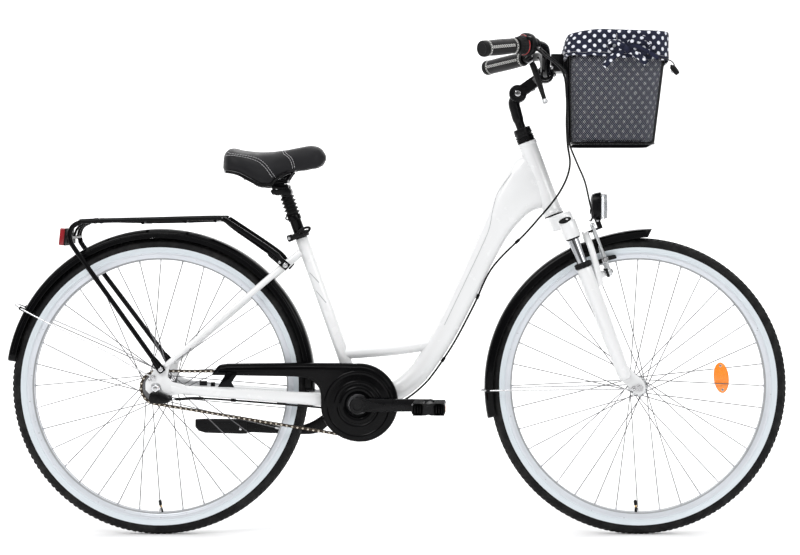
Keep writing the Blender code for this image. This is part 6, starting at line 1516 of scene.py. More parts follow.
for i, p in enumerate(arch_path):
    a, b = arch_path[max(0, i - 1)], arch_path[min(len(arch_path) - 1, i + 1)]
    t = (b - a)
    t = (t - FWD * t.dot(FWD)).normalized()
    w = FWD.cross(t)
    rows.append([p + FWD * (0.0070 * c) + w * (0.0064 * s) for c, s in soft_box(1.0, 1.0, 0.42, 6)])
items.append((loft(rows), "paint"))
for sy in (-1, 1):
    rib = [p + w_ * 0.0 for p, w_ in ((q, FWD) for q in arch_path)]
    items.append((rod(steer(0.174, 0.0368, sy * 0.0490), steer(0.174, 0.0615, sy * 0.0400), 0.0080, 0.0064, seg=40), "paint"))
    items.append((rod(steer(0.174, 0.0600, sy * 0.0404), steer(0.174, 0.0648, sy * 0.0400), 0.0048, seg=24), "steel"))
items.append((sweep([p + FWD * 0.0066 for p in arch_path[2:-2]], [(a * 0.0022, b * 0.0016) for a, b in soft_box(1, 1, 0.5, 4)],
                    up=FWD), "paint"))
items.append((block(steer(0.0735, 0.0530), FWD, YY, UP, 0.0090, 0.0260, 0.0210, 0.002, 3), "paint"))
put("fork_legs", items, "fork_lowers", "fork_lowers")

# black ribbed dust seals on top of the sliding legs
items = []
for sy in (-1, 1):
    prof = [(0.0131, 0.1290), (0.0172, 0.1290), (0.0205, 0.1310), (0.0212, 0.1335), (0.0200, 0.1350), (0.0208, 0.1370), (0.0206, 0.1405),
            (0.0192, 0.1427), (0.0131, 0.1427)]
    items.append((turned(prof, steer(0, FX, sy * FY), -UP, 56, fil=0.0008), "satin"))
put("fork_seals", items, "fork_lowers")


# -------------------------------------------------------------- brake arms
def brake_arm(name, sy):
    its = [(turned([(0.0050, 0.0650), (0.0088, 0.0650), (0.0090, 0.0665), (0.0090, 0.0780), (0.0080, 0.0795), (0.0050, 0.0800)],
                   steer(0.174, 0, sy * 0.0400), FWD, 40), "alloy"),
           (turned([(0.0086, 0.0655), (0.0104, 0.0665), (0.0104, 0.0720), (0.0086, 0.0725)], steer(0.174, 0, sy * 0.0400), FWD, 40), "matt"),
           (rod(steer(0.174, 0.0780, sy * 0.0400), steer(0.174, 0.0835, sy * 0.0400), 0.0050, seg=6, fil=0.0004), "steel")]
    rows = []
    for s, y, w, h in ((0.1800, 0.0400, 0.0050, 0.0036), (0.174, 0.0400, 0.0070, 0.0042), (0.160, 0.0400, 0.0070, 0.0042),
                       (0.145, 0.0400, 0.0068, 0.0042), (0.130, 0.0410, 0.0064, 0.0042), (0.115, 0.0425, 0.0060, 0.0040),
                       (0.100, 0.0438, 0.0056, 0.0040), (0.085, 0.0450, 0.0053, 0.0040), (0.070, 0.0457, 0.0050, 0.0038),
                       (0.058, 0.0462, 0.0048, 0.0036), (0.053, 0.0462, 0.0036, 0.0028)):
        rows.append([steer(s, 0.0760 + a * h, sy * (y + b * w)) for a, b in soft_box(1, 1, 0.35, 5)])
    its.append((loft(rows), "alloy"))
    its.append((rod(steer(0.1430, 0.0755, sy * 0.0500), steer(0.1430, 0.0755, sy * 0.0200), 0.0034, seg=20), "steel"))
    for a, b, r, mt in ((0.0470, 0.0488, 0.0072, "steel"), (0.0488, 0.0502, 0.0062, "matt"), (0.0300, 0.0340, 0.0075, "steel"),
                        (0.0270, 0.0300, 0.0066, "matt")):
        its.append((rod(steer(0.1430, 0.0755, sy * a), steer(0.1430, 0.0755, sy * b), r, seg=28, fil=0.0005), mt))
    its.append((hexa(steer(0.1430, 0.0755, sy * 0.0500), steer(0.1430, 0.0755, sy * 0.0545), 0.0056), "steel"))
    # curved pad holder and the rubber pad
    rows = []
    for k in range(13):
        u = -0.0290 + 0.0580 * k / 12
        drop = 0.0026 * (u / 0.029) ** 2
        e = 0.80 if k in (0, 12) else 1.0
        rows.append([steer(0.1430 + drop + b * 0.0052 * e, 0.0740 + u, sy * (0.0205 + a * 0.0020 * e)) for a, b in soft_box(1, 1, 0.3, 4)])
    its.append((loft(rows), "matt"))
    for j in range(5):
        u0, u1 = -0.0275 + 0.0112 * j, -0.0275 + 0.0112 * j + 0.0096
        rows = []
        for u in (u0, (u0 + u1) / 2, u1):
            drop = 0.0026 * (u / 0.029) ** 2
            rows.append([steer(0.1430 + drop + b * 0.0046, 0.0740 + u, sy * (0.0168 + a * 0.0019)) for a, b in soft_box(1, 1, 0.3, 3)])
        its.append((loft(rows), "pad"))
    # return spring up the back of the arm and its adjusting screw
    spring = smooth_path([steer(0.1700, 0.0700, sy * 0.0310), steer(0.1500, 0.0690, sy * 0.0320), steer(0.1250, 0.0700, sy * 0.0345),
                          steer(0.1050, 0.0730, sy * 0.0370)], per=6)
    its.append((tube(spring, 0.0010, 8), "steel"))
    its.append((rod(steer(0.0560, 0.0725, sy * 0.0462), steer(0.0560, 0.0815, sy * 0.0462), 0.0038, seg=24), "steel"))
    put(name, its, name.replace("_caliper", "_brake_arm"), name.replace("_caliper", "_brake_arm"))


brake_arm("right_caliper", -1)
brake_arm("left_caliper", 1)

# ------------------------------------------------------------------ front lamp
LAMP = steer(0.019, 0.103)


def lamp_ring(d, h, w, n=48, e=0.6):
    out = []
    for k in range(n):
        a = 2 * pi * k / n
        c, s = math.cos(a), math.sin(a)
        out.append(LAMP + V(d, w * math.copysign(abs(c) ** e, c), h * math.copysign(abs(s) ** e, s)))
    return out


items = [(loft([lamp_ring(*r) for r in ((-0.0150, 0.016, 0.014), (-0.0146, 0.020, 0.018), (-0.0134, 0.0255, 0.0235), (-0.0115, 0.0290, 0.0270),
                                        (-0.0060, 0.0315, 0.0290), (0.0000, 0.0330, 0.0302), (0.0065, 0.0340, 0.0310), (0.0082, 0.0340, 0.0310),
                                        (0.0088, 0.0330, 0.0302), (0.0082, 0.0312, 0.0286))]), "satin")]
items.append((loft([lamp_ring(*r) for r in ((0.0040, 0.0312, 0.0284), (0.0170, 0.0304, 0.0276), (0.0212, 0.0286, 0.0262), (0.0232, 0.0255, 0.0236),
                                            (0.0242, 0.0205, 0.0190), (0.0246, 0.0120, 0.0110))]), "lens"))
for k in range(-3, 4):
    items.append((rod(LAMP + V(0.0196, k * 0.0072, -0.0290 + abs(k) * 0.0012), LAMP + V(0.0196, k * 0.0072, 0.0290 - abs(k) * 0.0012), 0.0042,
                      seg=16), "lens"))
items.append((block(steer(0.0690, 0.0780), FWD, YY, UP, 0.0340, 0.0140, 0.0050, 0.0012, 3), "satin"))
items.append((block(steer(0.0580, 0.0920), FWD, YY, UP, 0.0120, 0.0140, 0.0270, 0.0020, 3), "satin"))
items.append((rod(steer(0.0500, 0.0920, -0.0100), steer(0.0500, 0.0920, 0.0100), 0.0058, seg=28), "matt"))
for sy in (-1, 1):
    items.append((rod(steer(0.0500, 0.0920, sy * 0.0098), steer(0.0500, 0.0920, sy * 0.0116), 0.0036, seg=6, fil=0.0003), "steel"))
items.append((rod(steer(0.0665, 0.0720, 0), steer(0.0735, 0.0720, 0), 0.0046, seg=6, fil=0.0004), "steel"))
items.append((turned([(0.0, -0.0172), (0.0052, -0.0172), (0.0060, -0.0150), (0.0060, -0.0120), (0.0, -0.0120)], LAMP + V(0, 0, -0.012), (1, 0, 0), 24,
                     closed=False), "matt"))
put("front_lamp", items, "fork_lowers", "headlight", angle=30)

# -------------------------------------------------------------------- the stem
TOP = -HEAD_LEN
prof = [(0.0147, 0.0008), (0.0215, 0.0008), (0.0222, 0.0016), (0.0222, 0.0030), (0.0204, 0.0036), (0.0204, 0.0048), (0.0222, 0.0054),
        (0.0222, 0.0068), (0.0204, 0.0074), (0.0204, 0.0086), (0.0220, 0.0092), (0.0220, 0.0106), (0.0202, 0.0112), (0.0202, 0.0124),
        (0.0218, 0.0130), (0.0216, 0.0158), (0.0196, 0.0176), (0.0196, 0.0196), (0.0210, 0.0210), (0.0204, 0.0338), (0.0192, 0.0350),
        (0.0122, 0.0350), (0.0122, 0.0225), (0.0147, 0.0225)]
items = [(turned(prof, steer(TOP, 0), UP, 64, fil=0.0003), "satin")]
items.append((turned([(0.0192, 0.0212), (0.0216, 0.0212), (0.0216, 0.0246), (0.0192, 0.0246)], steer(TOP, 0), UP, 8, fil=0), "satin"))
put("head_locknut", items, "steering", "headset_locknut", angle=30)

PIV = V(X(0.281), 0, 1.044)
CLAMP = V(X(0.3457), 0, 1.0897)
quill_path = smooth_path([steer(-0.125, 0), steer(-0.200, 0), steer(-0.235, 0.0), V(X(0.2768), 0, 1.001),
                          V(X(0.2722), 0, 1.024), PIV], per=12)


def quill_r(t):
    """Radius along the post: wide where it cranks forward."""
    if t < 0.38:
        return 0.0110
    if t < 0.44:
        return 0.0110 + 0.0020 * (t - 0.38) / 0.06
    if t < 0.80:
        return 0.0130 + 0.0006 * (t - 0.44) / 0.36
    return 0.0136 - 0.0030 * (t - 0.80) / 0.20


items = [(sweep(quill_path, lambda t: round_section(quill_r(t), 48)), "satin"),
         (rod(PIV + V(0, -0.0110, 0), PIV + V(0, 0.0110, 0), 0.0200, seg=64), "satin")]
for k in range(20):
    a = 2 * pi * k / 20
    items.append((rod(PIV + V(0.0192 * math.cos(a), -0.0106, 0.0192 * math.sin(a)), PIV + V(0.0192 * math.cos(a), 0.0106, 0.0192 * math.sin(a)),
                      0.0016, seg=10, fil=0.0003), "satin"))
put("stem_post", items, "steering", "stem_quill")

arm_dir = (CLAMP - PIV).normalized()
arm_up = YY.cross(arm_dir)
arm_up = arm_up if arm_up.z > 0 else -arm_up
items = []
for sy in (-1, 1):
    items.append((turned([(0.0, 0.0113), (0.0205, 0.0113), (0.0208, 0.0125), (0.0208, 0.0180), (0.0196, 0.0200), (0.0170, 0.0206), (0.0148, 0.0206),
                          (0.0142, 0.0198), (0.0112, 0.0198), (0.0106, 0.0208), (0.0, 0.0208)], PIV, YY * sy, 64, closed=False, fil=0.0006), "satin"))
    items.append((rod(PIV + YY * (sy * 0.0200), PIV + YY * (sy * 0.0226), 0.0072, seg=40), "steel"))
    items.append((rod(PIV + YY * (sy * 0.0222), PIV + YY * (sy * 0.0230), 0.0034, seg=6, fil=0), "dark"))
    items.append((block(PIV + arm_dir * 0.0270 + YY * (sy * 0.0160), arm_dir, YY, arm_up, 0.0440, 0.0085, 0.0270, 0.0032, 4), "satin"))
    # pale milled facet along the side of the arm
    items.append((block(PIV + arm_dir * 0.0420 + YY * (sy * 0.0194) + arm_up * 0.0015, arm_dir, YY, arm_up, 0.0400, 0.0016, 0.0130, 0.0007, 2), "dark"))
items.append((block(PIV + arm_dir * 0.0480, arm_dir, YY, arm_up, 0.0420, 0.0380, 0.0270, 0.0060, 4), "satin"))
ring = cutaway(rod(CLAMP + YY * -0.0205, CLAMP + YY * 0.0205, 0.0205, seg=72, fil=0.0018),
               rod(CLAMP + YY * -0.05, CLAMP + YY * 0.05, 0.0137, seg=56))
items.append((ring, "satin"))
for sy in (-1, 1):
    items.append((turned([(0.0150, 0.0200), (0.0190, 0.0200), (0.0188, 0.0209), (0.0172, 0.0213), (0.0156, 0.0210)], CLAMP, YY * sy, 64, fil=0.0003),
                  "satin"))
# face plate bolts in front of the clamp, and the tilt screw under the arm
for du in (-1, 1):
    for dy in (-1, 1):
        at = CLAMP + arm_dir * 0.0190 + arm_up * (du * 0.0130) + YY * (dy * 0.0130)
        items.append((rod(at - arm_dir * 0.0040, at + arm_dir * 0.0026, 0.0034, seg=20), "steel"))
items.append((rod(PIV + arm_dir * 0.036 - arm_up * 0.0125, PIV + arm_dir * 0.036 - arm_up * 0.0165, 0.0042, seg=20), "steel"))
put("stem_body", items, "steering", "stem_arm")


# ------------------------------------------------------------------ handlebar
BAR = [(0.3457, 0.0, 1.0897), (0.3457, 0.022, 1.0897), (0.3457, 0.042, 1.0897), (0.3457, 0.075, 1.1020), (0.345, 0.115, 1.1300),
       (0.338, 0.155, 1.1440), (0.3075, 0.2014, 1.1445), (0.2550, 0.2510, 1.1360), (0.2030, 0.3000, 1.1270)]
half = smooth_path([V(X(a), -y, z) for a, y, z in BAR], per=8)
bar_path = [V(p.x, -p.y, p.z) for p in reversed(half)] + half[1:]
items = [(tube(bar_path, BAR_R, 36), "black")]
for s in (-1, 1):
    items.append((rod(CLAMP + YY * (s * 0.0208), CLAMP + YY * (s * 0.0225), BAR_R + 0.0004, seg=40, fil=0.0003), "satin"))
put("handlebar_tube", items, "steering", "handlebar")


def on_bar(d, side):
    """Point and inward direction at distance d along the bar from its end."""
    pts = list(reversed(half)) if side < 0 else [V(p.x, -p.y, p.z) for p in reversed(half)]
    for i in range(len(pts) - 1):
        seg_len_ = (pts[i + 1] - pts[i]).length
        if d <= seg_len_ or d < 0:
            t = (pts[i + 1] - pts[i]).normalized()
            return pts[i] + t * d, t
        d -= seg_len_
    return pts[-1], (pts[-1] - pts[-2]).normalized()


def bar_ring(side, d, r, seg=40, squash_=1.0):
    p, t = on_bar(d, side)
    x = V(0, 0, 1).cross(t).normalized()
    y = t.cross(x)
    return [p + x * (r * math.cos(2 * pi * j / seg)) + y * (r * squash_ * math.sin(2 * pi * j / seg)) for j in range(seg)]


def grip_r(f):
    return 0.0168 + 0.0013 * math.sin(pi * min(1.0, max(0.0, f)))


def grip_part(name, side, d1, node_):
    d0 = -0.0030
    outs = []
    for d, dr in ((0.0085, -0.0012), (0.0092, -0.0004), (0.0102, 0.0), (0.0140, 0.0)):
        outs.append(bar_ring(side, d, grip_r((d - d0) / (d1 - d0)) + dr))
    k = 0
    while 0.0140 + 0.004 * (k + 1) < d1 - 0.006:
        k += 1
        d = 0.0140 + 0.004 * k
        outs.append(bar_ring(side, d, grip_r((d - d0) / (d1 - d0))))
    for d, dr in ((d1 - 0.0040, 0.0), (d1 - 0.0012, -0.0001), (d1 - 0.0004, -0.0006), (d1, -0.0016)):
        outs.append(bar_ring(side, d, grip_r((d - d0) / (d1 - d0)) + dr))
    ins = [bar_ring(side, d, BAR_R + 0.0014) for d in (0.0085, d1)]
    its = [(loft(outs + list(reversed(ins)), closed=True), "hide")]
    # moulded end cap with a rounded rim and a shallow dished face
    p, t = on_bar(0.0, side)
    cap = [(0.0, 0.0086), (0.0175, 0.0086), (0.0182, 0.0080), (0.0186, 0.0060), (0.0184, 0.0005), (0.0174, -0.0022), (0.0158, -0.0030),
           (0.0140, -0.0028), (0.0128, -0.0021), (0.0, -0.0021)]
    p0_, t0_ = on_bar(0.0, side)
    its.append((turned(cap, p0_, t0_, 64, closed=False, fil=0.0006), "matt"))
    its.append((turned([(0.0122, -0.0020), (0.0112, -0.0024), (0.0108, -0.0020)], p0_, t0_, 64, closed=True, fil=0), "matt"))
    # lacing: a seam along the outside with crossing stitches, and rings of stitches
    def at(d, ang, lift):
        q, tt = on_bar(d, side)
        x = V(0, 0, 1).cross(tt).normalized()
        y = tt.cross(x)
        r = grip_r((d - d0) / (d1 - d0)) + lift
        return q + x * (r * math.cos(ang)) + y * (r * math.sin(ang))
    probe = [(at(0.05, a_, 0).y, a_) for a_ in (2 * pi * j / 72 for j in range(72))]
    toward = min(probe)[1] if side < 0 else min(probe)[1]
    rim_shade_and_grip_seam = toward
    d = 0.0150
    n_ = 0
    while d + 0.0058 < d1 - 0.0100:
        for s in (-1, 1):
            a0, a1 = rim_shade_and_grip_seam + s * 0.17, rim_shade_and_grip_seam - s * 0.17
            pts = [at(d, a0, -0.0004), at(d + 0.0010, a0 - s * 0.04, 0.0007), at(d + 0.0029, rim_shade_and_grip_seam, 0.0010 + 0.0004 * (s > 0)),
                   at(d + 0.0048, a1 + s * 0.04, 0.0007), at(d + 0.0058, a1, -0.0004)]
            its.append((tube(smooth_path(pts, per=3), 0.00055, 8), "lace"))
        d += 0.0058
        n_ += 1
    line = [at(0.0120 + 0.003 * k_, rim_shade_and_grip_seam, -0.00005) for k_ in range(int((d1 - 0.020) / 0.003))]
    its.append((sweep(line, [(a_ * 0.0007, b_ * 0.0002) for a_, b_ in soft_box(1, 1, 0.5, 3)], up=(line[0] - on_bar(0.012, side)[0])), "matt"))
    for dd in (0.0128, d1 - 0.0065):
        for j in range(17):
            a0 = 2 * pi * j / 17
            pts = [at(dd - 0.0024, a0, -0.0003), at(dd - 0.0012, a0 + 0.07, 0.0007), at(dd + 0.0012, a0 + 0.20, 0.0007), at(dd + 0.0024, a0 + 0.27, -0.0003)]
            its.append((tube(smooth_path(pts, per=3), 0.00055, 8), "lace"))
            pts = [at(dd + 0.0024, a0, -0.0003), at(dd + 0.0012, a0 + 0.07, 0.0005), at(dd - 0.0012, a0 + 0.20, 0.0005), at(dd - 0.0024, a0 + 0.27, -0.0003)]
            its.append((tube(smooth_path(pts, per=3), 0.00055, 8), "lace"))
    put(name, its, "steering", node_, angle=50)


grip_part("right_grip_cover", -1, 0.1000, "right_grip")
grip_part("left_grip_cover", 1, 0.1300, "left_grip")

# twist shifter: ribbed sleeve, ring line and a thin red mark
p0, t0 = on_bar(0.1150, -1)
prof = [(BAR_R + 0.0016, -0.0122), (0.0176, -0.0122), (0.0184, -0.0116), (0.0186, -0.0070), (0.0190, -0.0020), (0.0212, 0.0052),
        (0.0232, 0.0100), (0.0236, 0.0112), (0.0234, 0.0123), (0.0226, 0.0125), (BAR_R + 0.0016, 0.0125)]
items = [(turned(prof, p0, t0, 72, fil=0.0005), "matt")]
xs = V(0, 0, 1).cross(t0).normalized()
ys = t0.cross(xs)
for k in range(22):
    a = 2 * pi * k / 22
    u = xs * math.cos(a) + ys * math.sin(a)
    items.append((tube(smooth_path([p0 + t0 * -0.0112 + u * 0.0184, p0 + t0 * -0.0060 + u * 0.0188, p0 + t0 * 0.0 + u * 0.0197,
                                    p0 + t0 * 0.0052 + u * 0.0213], per=3), 0.0009, 8), "rubber"))
items.append((turned([(0.0225, 0.0084), (0.0233, 0.0098), (0.0233, 0.0088)], p0, t0, 72, fil=0), "red"))
put("shift_sleeve", items, "shift_grip", "shift_grip")

# ------------------------------------------------- shifter body, lever bracket
LEVER_PIV = V(X(0.3075), -0.1860, 1.1150)
LEVER_TIP = V(X(0.3453), -0.2500, 1.0108)
GRIP_MID = V(X(0.2500), -0.2560, 1.1350)
lever_dir = (LEVER_TIP - LEVER_PIV).normalized()
LEVER_AXIS = lever_dir.cross((GRIP_MID - LEVER_TIP).normalized()).normalized()
pull = LEVER_AXIS.cross(lever_dir)


def bar_collar(stops, bore=BAR_R + 0.0016, seg=56, side=-1):
    outs = [bar_ring(side, d, r, seg) for d, r in stops]
    ins = [bar_ring(side, d, bore, seg) for d, r in (stops[0], stops[-1])]
    return loft(outs + list(reversed(ins)), closed=True)


items = [(bar_collar([(0.1290, 0.0230), (0.1293, 0.0244), (0.1315, 0.0262), (0.1335, 0.0268), (0.1415, 0.0268), (0.1432, 0.0262),
                      (0.1450, 0.0236), (0.1462, 0.0222)]), "satin")]
items.append((bar_collar([(0.1306, 0.0262), (0.1309, 0.0268), (0.1316, 0.0270), (0.1320, 0.0266)]), "matt"))
items.append((bar_collar([(0.1500, 0.0152), (0.1503, 0.0160), (0.1585, 0.0160), (0.1588, 0.0152), (0.1600, 0.0152), (0.1603, 0.0160),
                          (0.1657, 0.0160), (0.1660, 0.0152)]), "satin"))
items.append((bar_collar([(0.1455, 0.0190), (0.1480, 0.0156), (0.1505, 0.0152)]), "matt"))
bp, bt = on_bar(0.1600, -1)
down_ = (LEVER_PIV - bp)
down_ = (down_ - bt * down_.dot(bt)).normalized()
lug_c = LEVER_PIV - down_ * 0.0155
sd = down_.cross(bt)
neck = block(lug_c, bt, sd, down_, 0.0140, 0.0120, 0.0150, 0.0022, 3)
relief = rod(LEVER_PIV - LEVER_AXIS * 0.0500, LEVER_PIV + LEVER_AXIS * 0.0500, 0.0076, seg=40)
items.append((cutaway(neck, relief), "satin"))
items.append((rod(bp + sd * 0.0120 + down_ * 0.004, bp + sd * 0.0195 + down_ * 0.004, 0.0036, seg=24), "steel"))
# barrel adjusters where the two sleeves leave
gp, gt = on_bar(0.1375, -1)
fwd_g = (V(1, 0, -0.25) - gt * V(1, 0, -0.25).dot(gt)).normalized()
cp, ct = on_bar(0.1640, -1)
fwd_c = (V(1, 0, -0.55) - ct * V(1, 0, -0.55).dot(ct)).normalized()
for o, f, a, b in ((gp, fwd_g, 0.0240, 0.0280), (cp, fwd_c, 0.0140, 0.0185)):
    items.append((rod(o + f * (a - 0.002), o + f * (a + 0.0035), 0.0056, seg=32), "satin"))
    items.append((rod(o + f * (a + 0.0034), o + f * (b + 0.0040), 0.0042, seg=24), "satin"))
items.append((block(gp + V(0.004, -0.0225, 0.0130), gt, fwd_g, gt.cross(fwd_g), 0.0100, 0.0120, 0.0080, 0.0025, 3), "satin"))
put("shifter_body", items, "steering", "control_clamp")

blade_path = smooth_path([LEVER_PIV, LEVER_PIV + lever_dir * 0.030 - pull * 0.004, LEVER_PIV + lever_dir * 0.075 - pull * 0.001,
                          LEVER_TIP + pull * 0.004], per=10)


def blade_w(t):
    return 0.0050 + 0.0030 * math.sin(pi * min(1, t * 1.1))


nb = len(blade_path)
cut_at = int(nb * 0.80)
items = [(sweep(blade_path[:cut_at], lambda t: [(a * blade_w(t * 0.8), b * (0.0045 - 0.0018 * t * 0.8)) for a, b in soft_box(1, 1, 0.40, 5)], up=pull),
          "satin")]
items.append((sweep(blade_path[cut_at - 1:], lambda t: [(a * blade_w(0.8 + 0.2 * t) * (1.02 - 0.3 * max(0, t - 0.8) / 0.2), b * 0.0030)
                                                        for a, b in soft_box(1, 1, 0.40, 5)], up=pull), "satin"))
tip = blade_path[-1]
items.append((rod(tip - lever_dir * 0.0040 - LEVER_AXIS * 0.0, tip + lever_dir * 0.0020, 0.0062, seg=28), "alloy"))
items.append((rod(LEVER_PIV - LEVER_AXIS * 0.0080, LEVER_PIV + LEVER_AXIS * 0.0080, 0.0068, seg=40), "satin"))
for s in (-1, 1):
    items.append((rod(LEVER_PIV + LEVER_AXIS * (s * 0.0078), LEVER_PIV + LEVER_AXIS * (s * 0.0094), 0.0034, seg=6, fil=0.0002), "steel"))
items.append((rod(LEVER_PIV + lever_dir * 0.012 - LEVER_AXIS * 0.0062, LEVER_PIV + lever_dir * 0.012 + LEVER_AXIS * 0.0062, 0.0030, seg=20), "steel"))
put("brake_lever_blade", items, "brake_lever", "brake_lever")

# ----------------------------------------------------------------------- bell
BELL_AX = V(-0.75, 0, 0.66).normalized()
BELL_C = V(X(0.3125), 0.0610, 1.0729)
bd, bdt = None, None
for d_ in range(1600):
    q, qt = on_bar(d_ * 0.000375, 1)
    if q.y <= 0.0600:
        bd, bdt = q, qt
        break
items = [(pipe(bd - bdt * 0.0050, bd + bdt * 0.0050, 0.0176, BAR_R + 0.0024, 48), "satin")]
items.append((tube(smooth_path([bd + V(-0.0150, 0, -0.0040), bd.lerp(BELL_C - BELL_AX * 0.0115, 0.7), BELL_C - BELL_AX * 0.0090], per=6), 0.0052, 24), "satin"))
items.append((turned([(0, -0.0092), (0.0262, -0.0092), (0.0270, -0.0084), (0.0272, -0.0070), (0.0262, -0.0062), (0, -0.0062)], BELL_C, BELL_AX, 64,
                     closed=False, fil=0.0004), "satin"))
items.append((turned([(0, -0.0066), (0.0268, -0.0066), (0.0278, -0.0060), (0.0280, -0.0052), (0.0277, -0.0030), (0.0268, 0.0000), (0.0250, 0.0030),
                      (0.0222, 0.0056), (0.0185, 0.0076), (0.0140, 0.0092), (0.0090, 0.0102), (0.0046, 0.0106), (0.0040, 0.0112), (0, 0.0114)],
                     BELL_C, BELL_AX, 72, closed=False, fil=0.0004), "chrome"))
put("bell_dome", items, "steering", "bell", angle=30)
bxv = YY.cross(BELL_AX)
items = [(block(BELL_C + YY * 0.0260 - BELL_AX * 0.0100, YY, bxv, BELL_AX, 0.0260, 0.0100, 0.0024, 0.0010, 2), "steel"),
         (block(BELL_C + YY * 0.0370 - BELL_AX * 0.0060, YY, bxv, BELL_AX, 0.0080, 0.0140, 0.0110, 0.0030, 4), "matt")]
for k in range(3):
    items.append((block(BELL_C + YY * 0.0412 - BELL_AX * (0.0094 - 0.0030 * k), YY, bxv, BELL_AX, 0.0010, 0.0110, 0.0012, 0.0003), "matt"))
put("bell_thumb_lever", items, "bell_lever", "bell_lever")

# ------------------------------------------------------------- basket bracket
items = [(box((X(0.3590), -0.0430, 1.0945), (X(0.3895), 0.0430, 1.1362), 0.003), "satin"),
         (box((X(0.3880), -0.0400, 1.0880), (X(0.3984), 0.0400, 1.1190), 0.0025), "satin")]
bore_ = rod(V(X(0.3457), -0.06, 1.0893), V(X(0.3457), 0.06, 1.0893), BAR_R + 0.0012, seg=48)
for sy in (-1, 1):
    ear = rod(V(X(0.3457), sy * 0.0260, 1.0897), V(X(0.3457), sy * 0.0380, 1.0897), 0.0168, seg=56, fil=0.0014)
    items.append((cutaway(ear, bore_), "satin"))
    items.append((box((X(0.3590), min(sy * 0.0262, sy * 0.0378), 1.0950), (X(0.3680), max(sy * 0.0262, sy * 0.0378), 1.1080), 0.0015), "satin"))
    items.append((rod(V(X(0.3457), sy * 0.0300, 1.1040), V(X(0.3457), sy * 0.0300, 1.1085), 0.0042, seg=24), "steel"))
    items.append((rod(V(X(0.3457), sy * 0.0340, 1.0735), V(X(0.3457), sy * 0.0340, 1.0755), 0.0036, seg=24), "steel"))
items.append((block(V(X(0.3700), -0.0428, 1.1240), (1, 0, 0), YY, (0, 0, 1), 0.0160, 0.0030, 0.0110, 0.0012), "matt"))
items.append((turned([(0, 0), (0.0042, 0), (0.0040, 0.0024), (0.0018, 0.0028), (0.0016, 0.0014), (0, 0.0014)], V(X(0.3612), -0.0430, 1.1035), (0, -1, 0), 24,
                     closed=False, fil=0.0003), "steel"))
items.append((block(V(X(0.3770), 0, 1.1362), (1, 0, 0), YY, (0, 0, 1), 0.0130, 0.0260, 0.0022, 0.0010, 3), "red"))
put("basket_mount", items, "steering", "basket_bracket")


# -------------------------------------------------------------- seat clamp etc.
items = [(turned([(0.0153, 0.4155), (0.0196, 0.4155), (0.0204, 0.4163), (0.0206, 0.4180), (0.0206, 0.4270), (0.0204, 0.4286), (0.0196, 0.4295),
                  (0.0153, 0.4295)], seat(0), SV, 64, fil=0.0006), "satin")]
slot_ = block(seat(0.4225, -0.0225), SB, YY, SV, 0.0200, 0.0040, 0.0300, 0)
items[0] = (cutaway(items[0][0], slot_), "satin")
for sy in (-1, 1):
    items.append((block(seat(0.4225, -0.0245, sy * 0.0080), SB, YY, SV, 0.0150, 0.0090, 0.0125, 0.0022, 3), "satin"))
items.append((rod(seat(0.4225, -0.0250, 0.0120), seat(0.4225, -0.0250, 0.0190), 0.0052, seg=24), "steel"))
put("seat_collar", items, "frame", "seat_clamp")

items = [(rod(seat(0.4145, -0.0235, -0.0185), seat(0.4305, -0.0235, -0.0185), 0.0062, seg=36), "satin"),
         (rod(seat(0.4225, -0.0255, -0.0200), seat(0.4225, -0.0255, -0.0262), 0.0034, seg=24), "alloy")]
lp = smooth_path([seat(0.4225, -0.0235, -0.0215), seat(0.4235, -0.0080, -0.0262), seat(0.4240, 0.0010, -0.0280)], per=8)
items.append((sweep(lp, lambda t: [(a * 0.0050, b * (0.0040 - 0.0010 * t)) for a, b in soft_box(1, 1, 0.4, 4)], up=(0, 1, 0)), "satin"))
cx, cz = seat(0.4265, 0.0140).x, seat(0.4265, 0.0140).z
ringp = []
for k in range(40):
    a = 2 * pi * k / 40
    u, w = 0.0150 * math.cos(a), 0.0070 * math.sin(a) * (1 - 0.25 * math.cos(a))
    ringp.append(V(cx, -0.0290, cz) + SB * (u * 0.99) + SV * (w + u * 0.18))
items.append((sweep(ringp, [(a * 0.0030, b * 0.0022) for a, b in soft_box(1, 1, 0.45, 4)], up=(0, 1, 0), closed=True), "satin"))
put("seat_quick_release", items, "seat_clamp_lever", "seat_clamp_lever")

items = [(turned([(0.0113, 0.300), (0.0136, 0.300), (0.0136, 0.4590), (0.0150, 0.4596), (0.0158, 0.4606), (0.0158, 0.4700), (0.0154, 0.4716),
                  (0.0146, 0.4720), (0.0113, 0.4720)], seat(0), SV, 64, fil=0.0005), "black")]
eye_c = V(X(-0.2652), -0.0040, 0.7490)
items.append((turned([(0.0030, -0.0014), (0.0052, -0.0014), (0.0060, 0.0), (0.0052, 0.0014), (0.0030, 0.0014), (0.0025, 0.0)], eye_c, YY, 28, fil=0.0003), "satin"))
items.append((rod(eye_c + V(0.0050, 0, 0.0005), eye_c + V(0.0140, 0, 0.0030), 0.0032, seg=16), "satin"))
put("seat_post_tube", items, "seatpost", "seatpost")

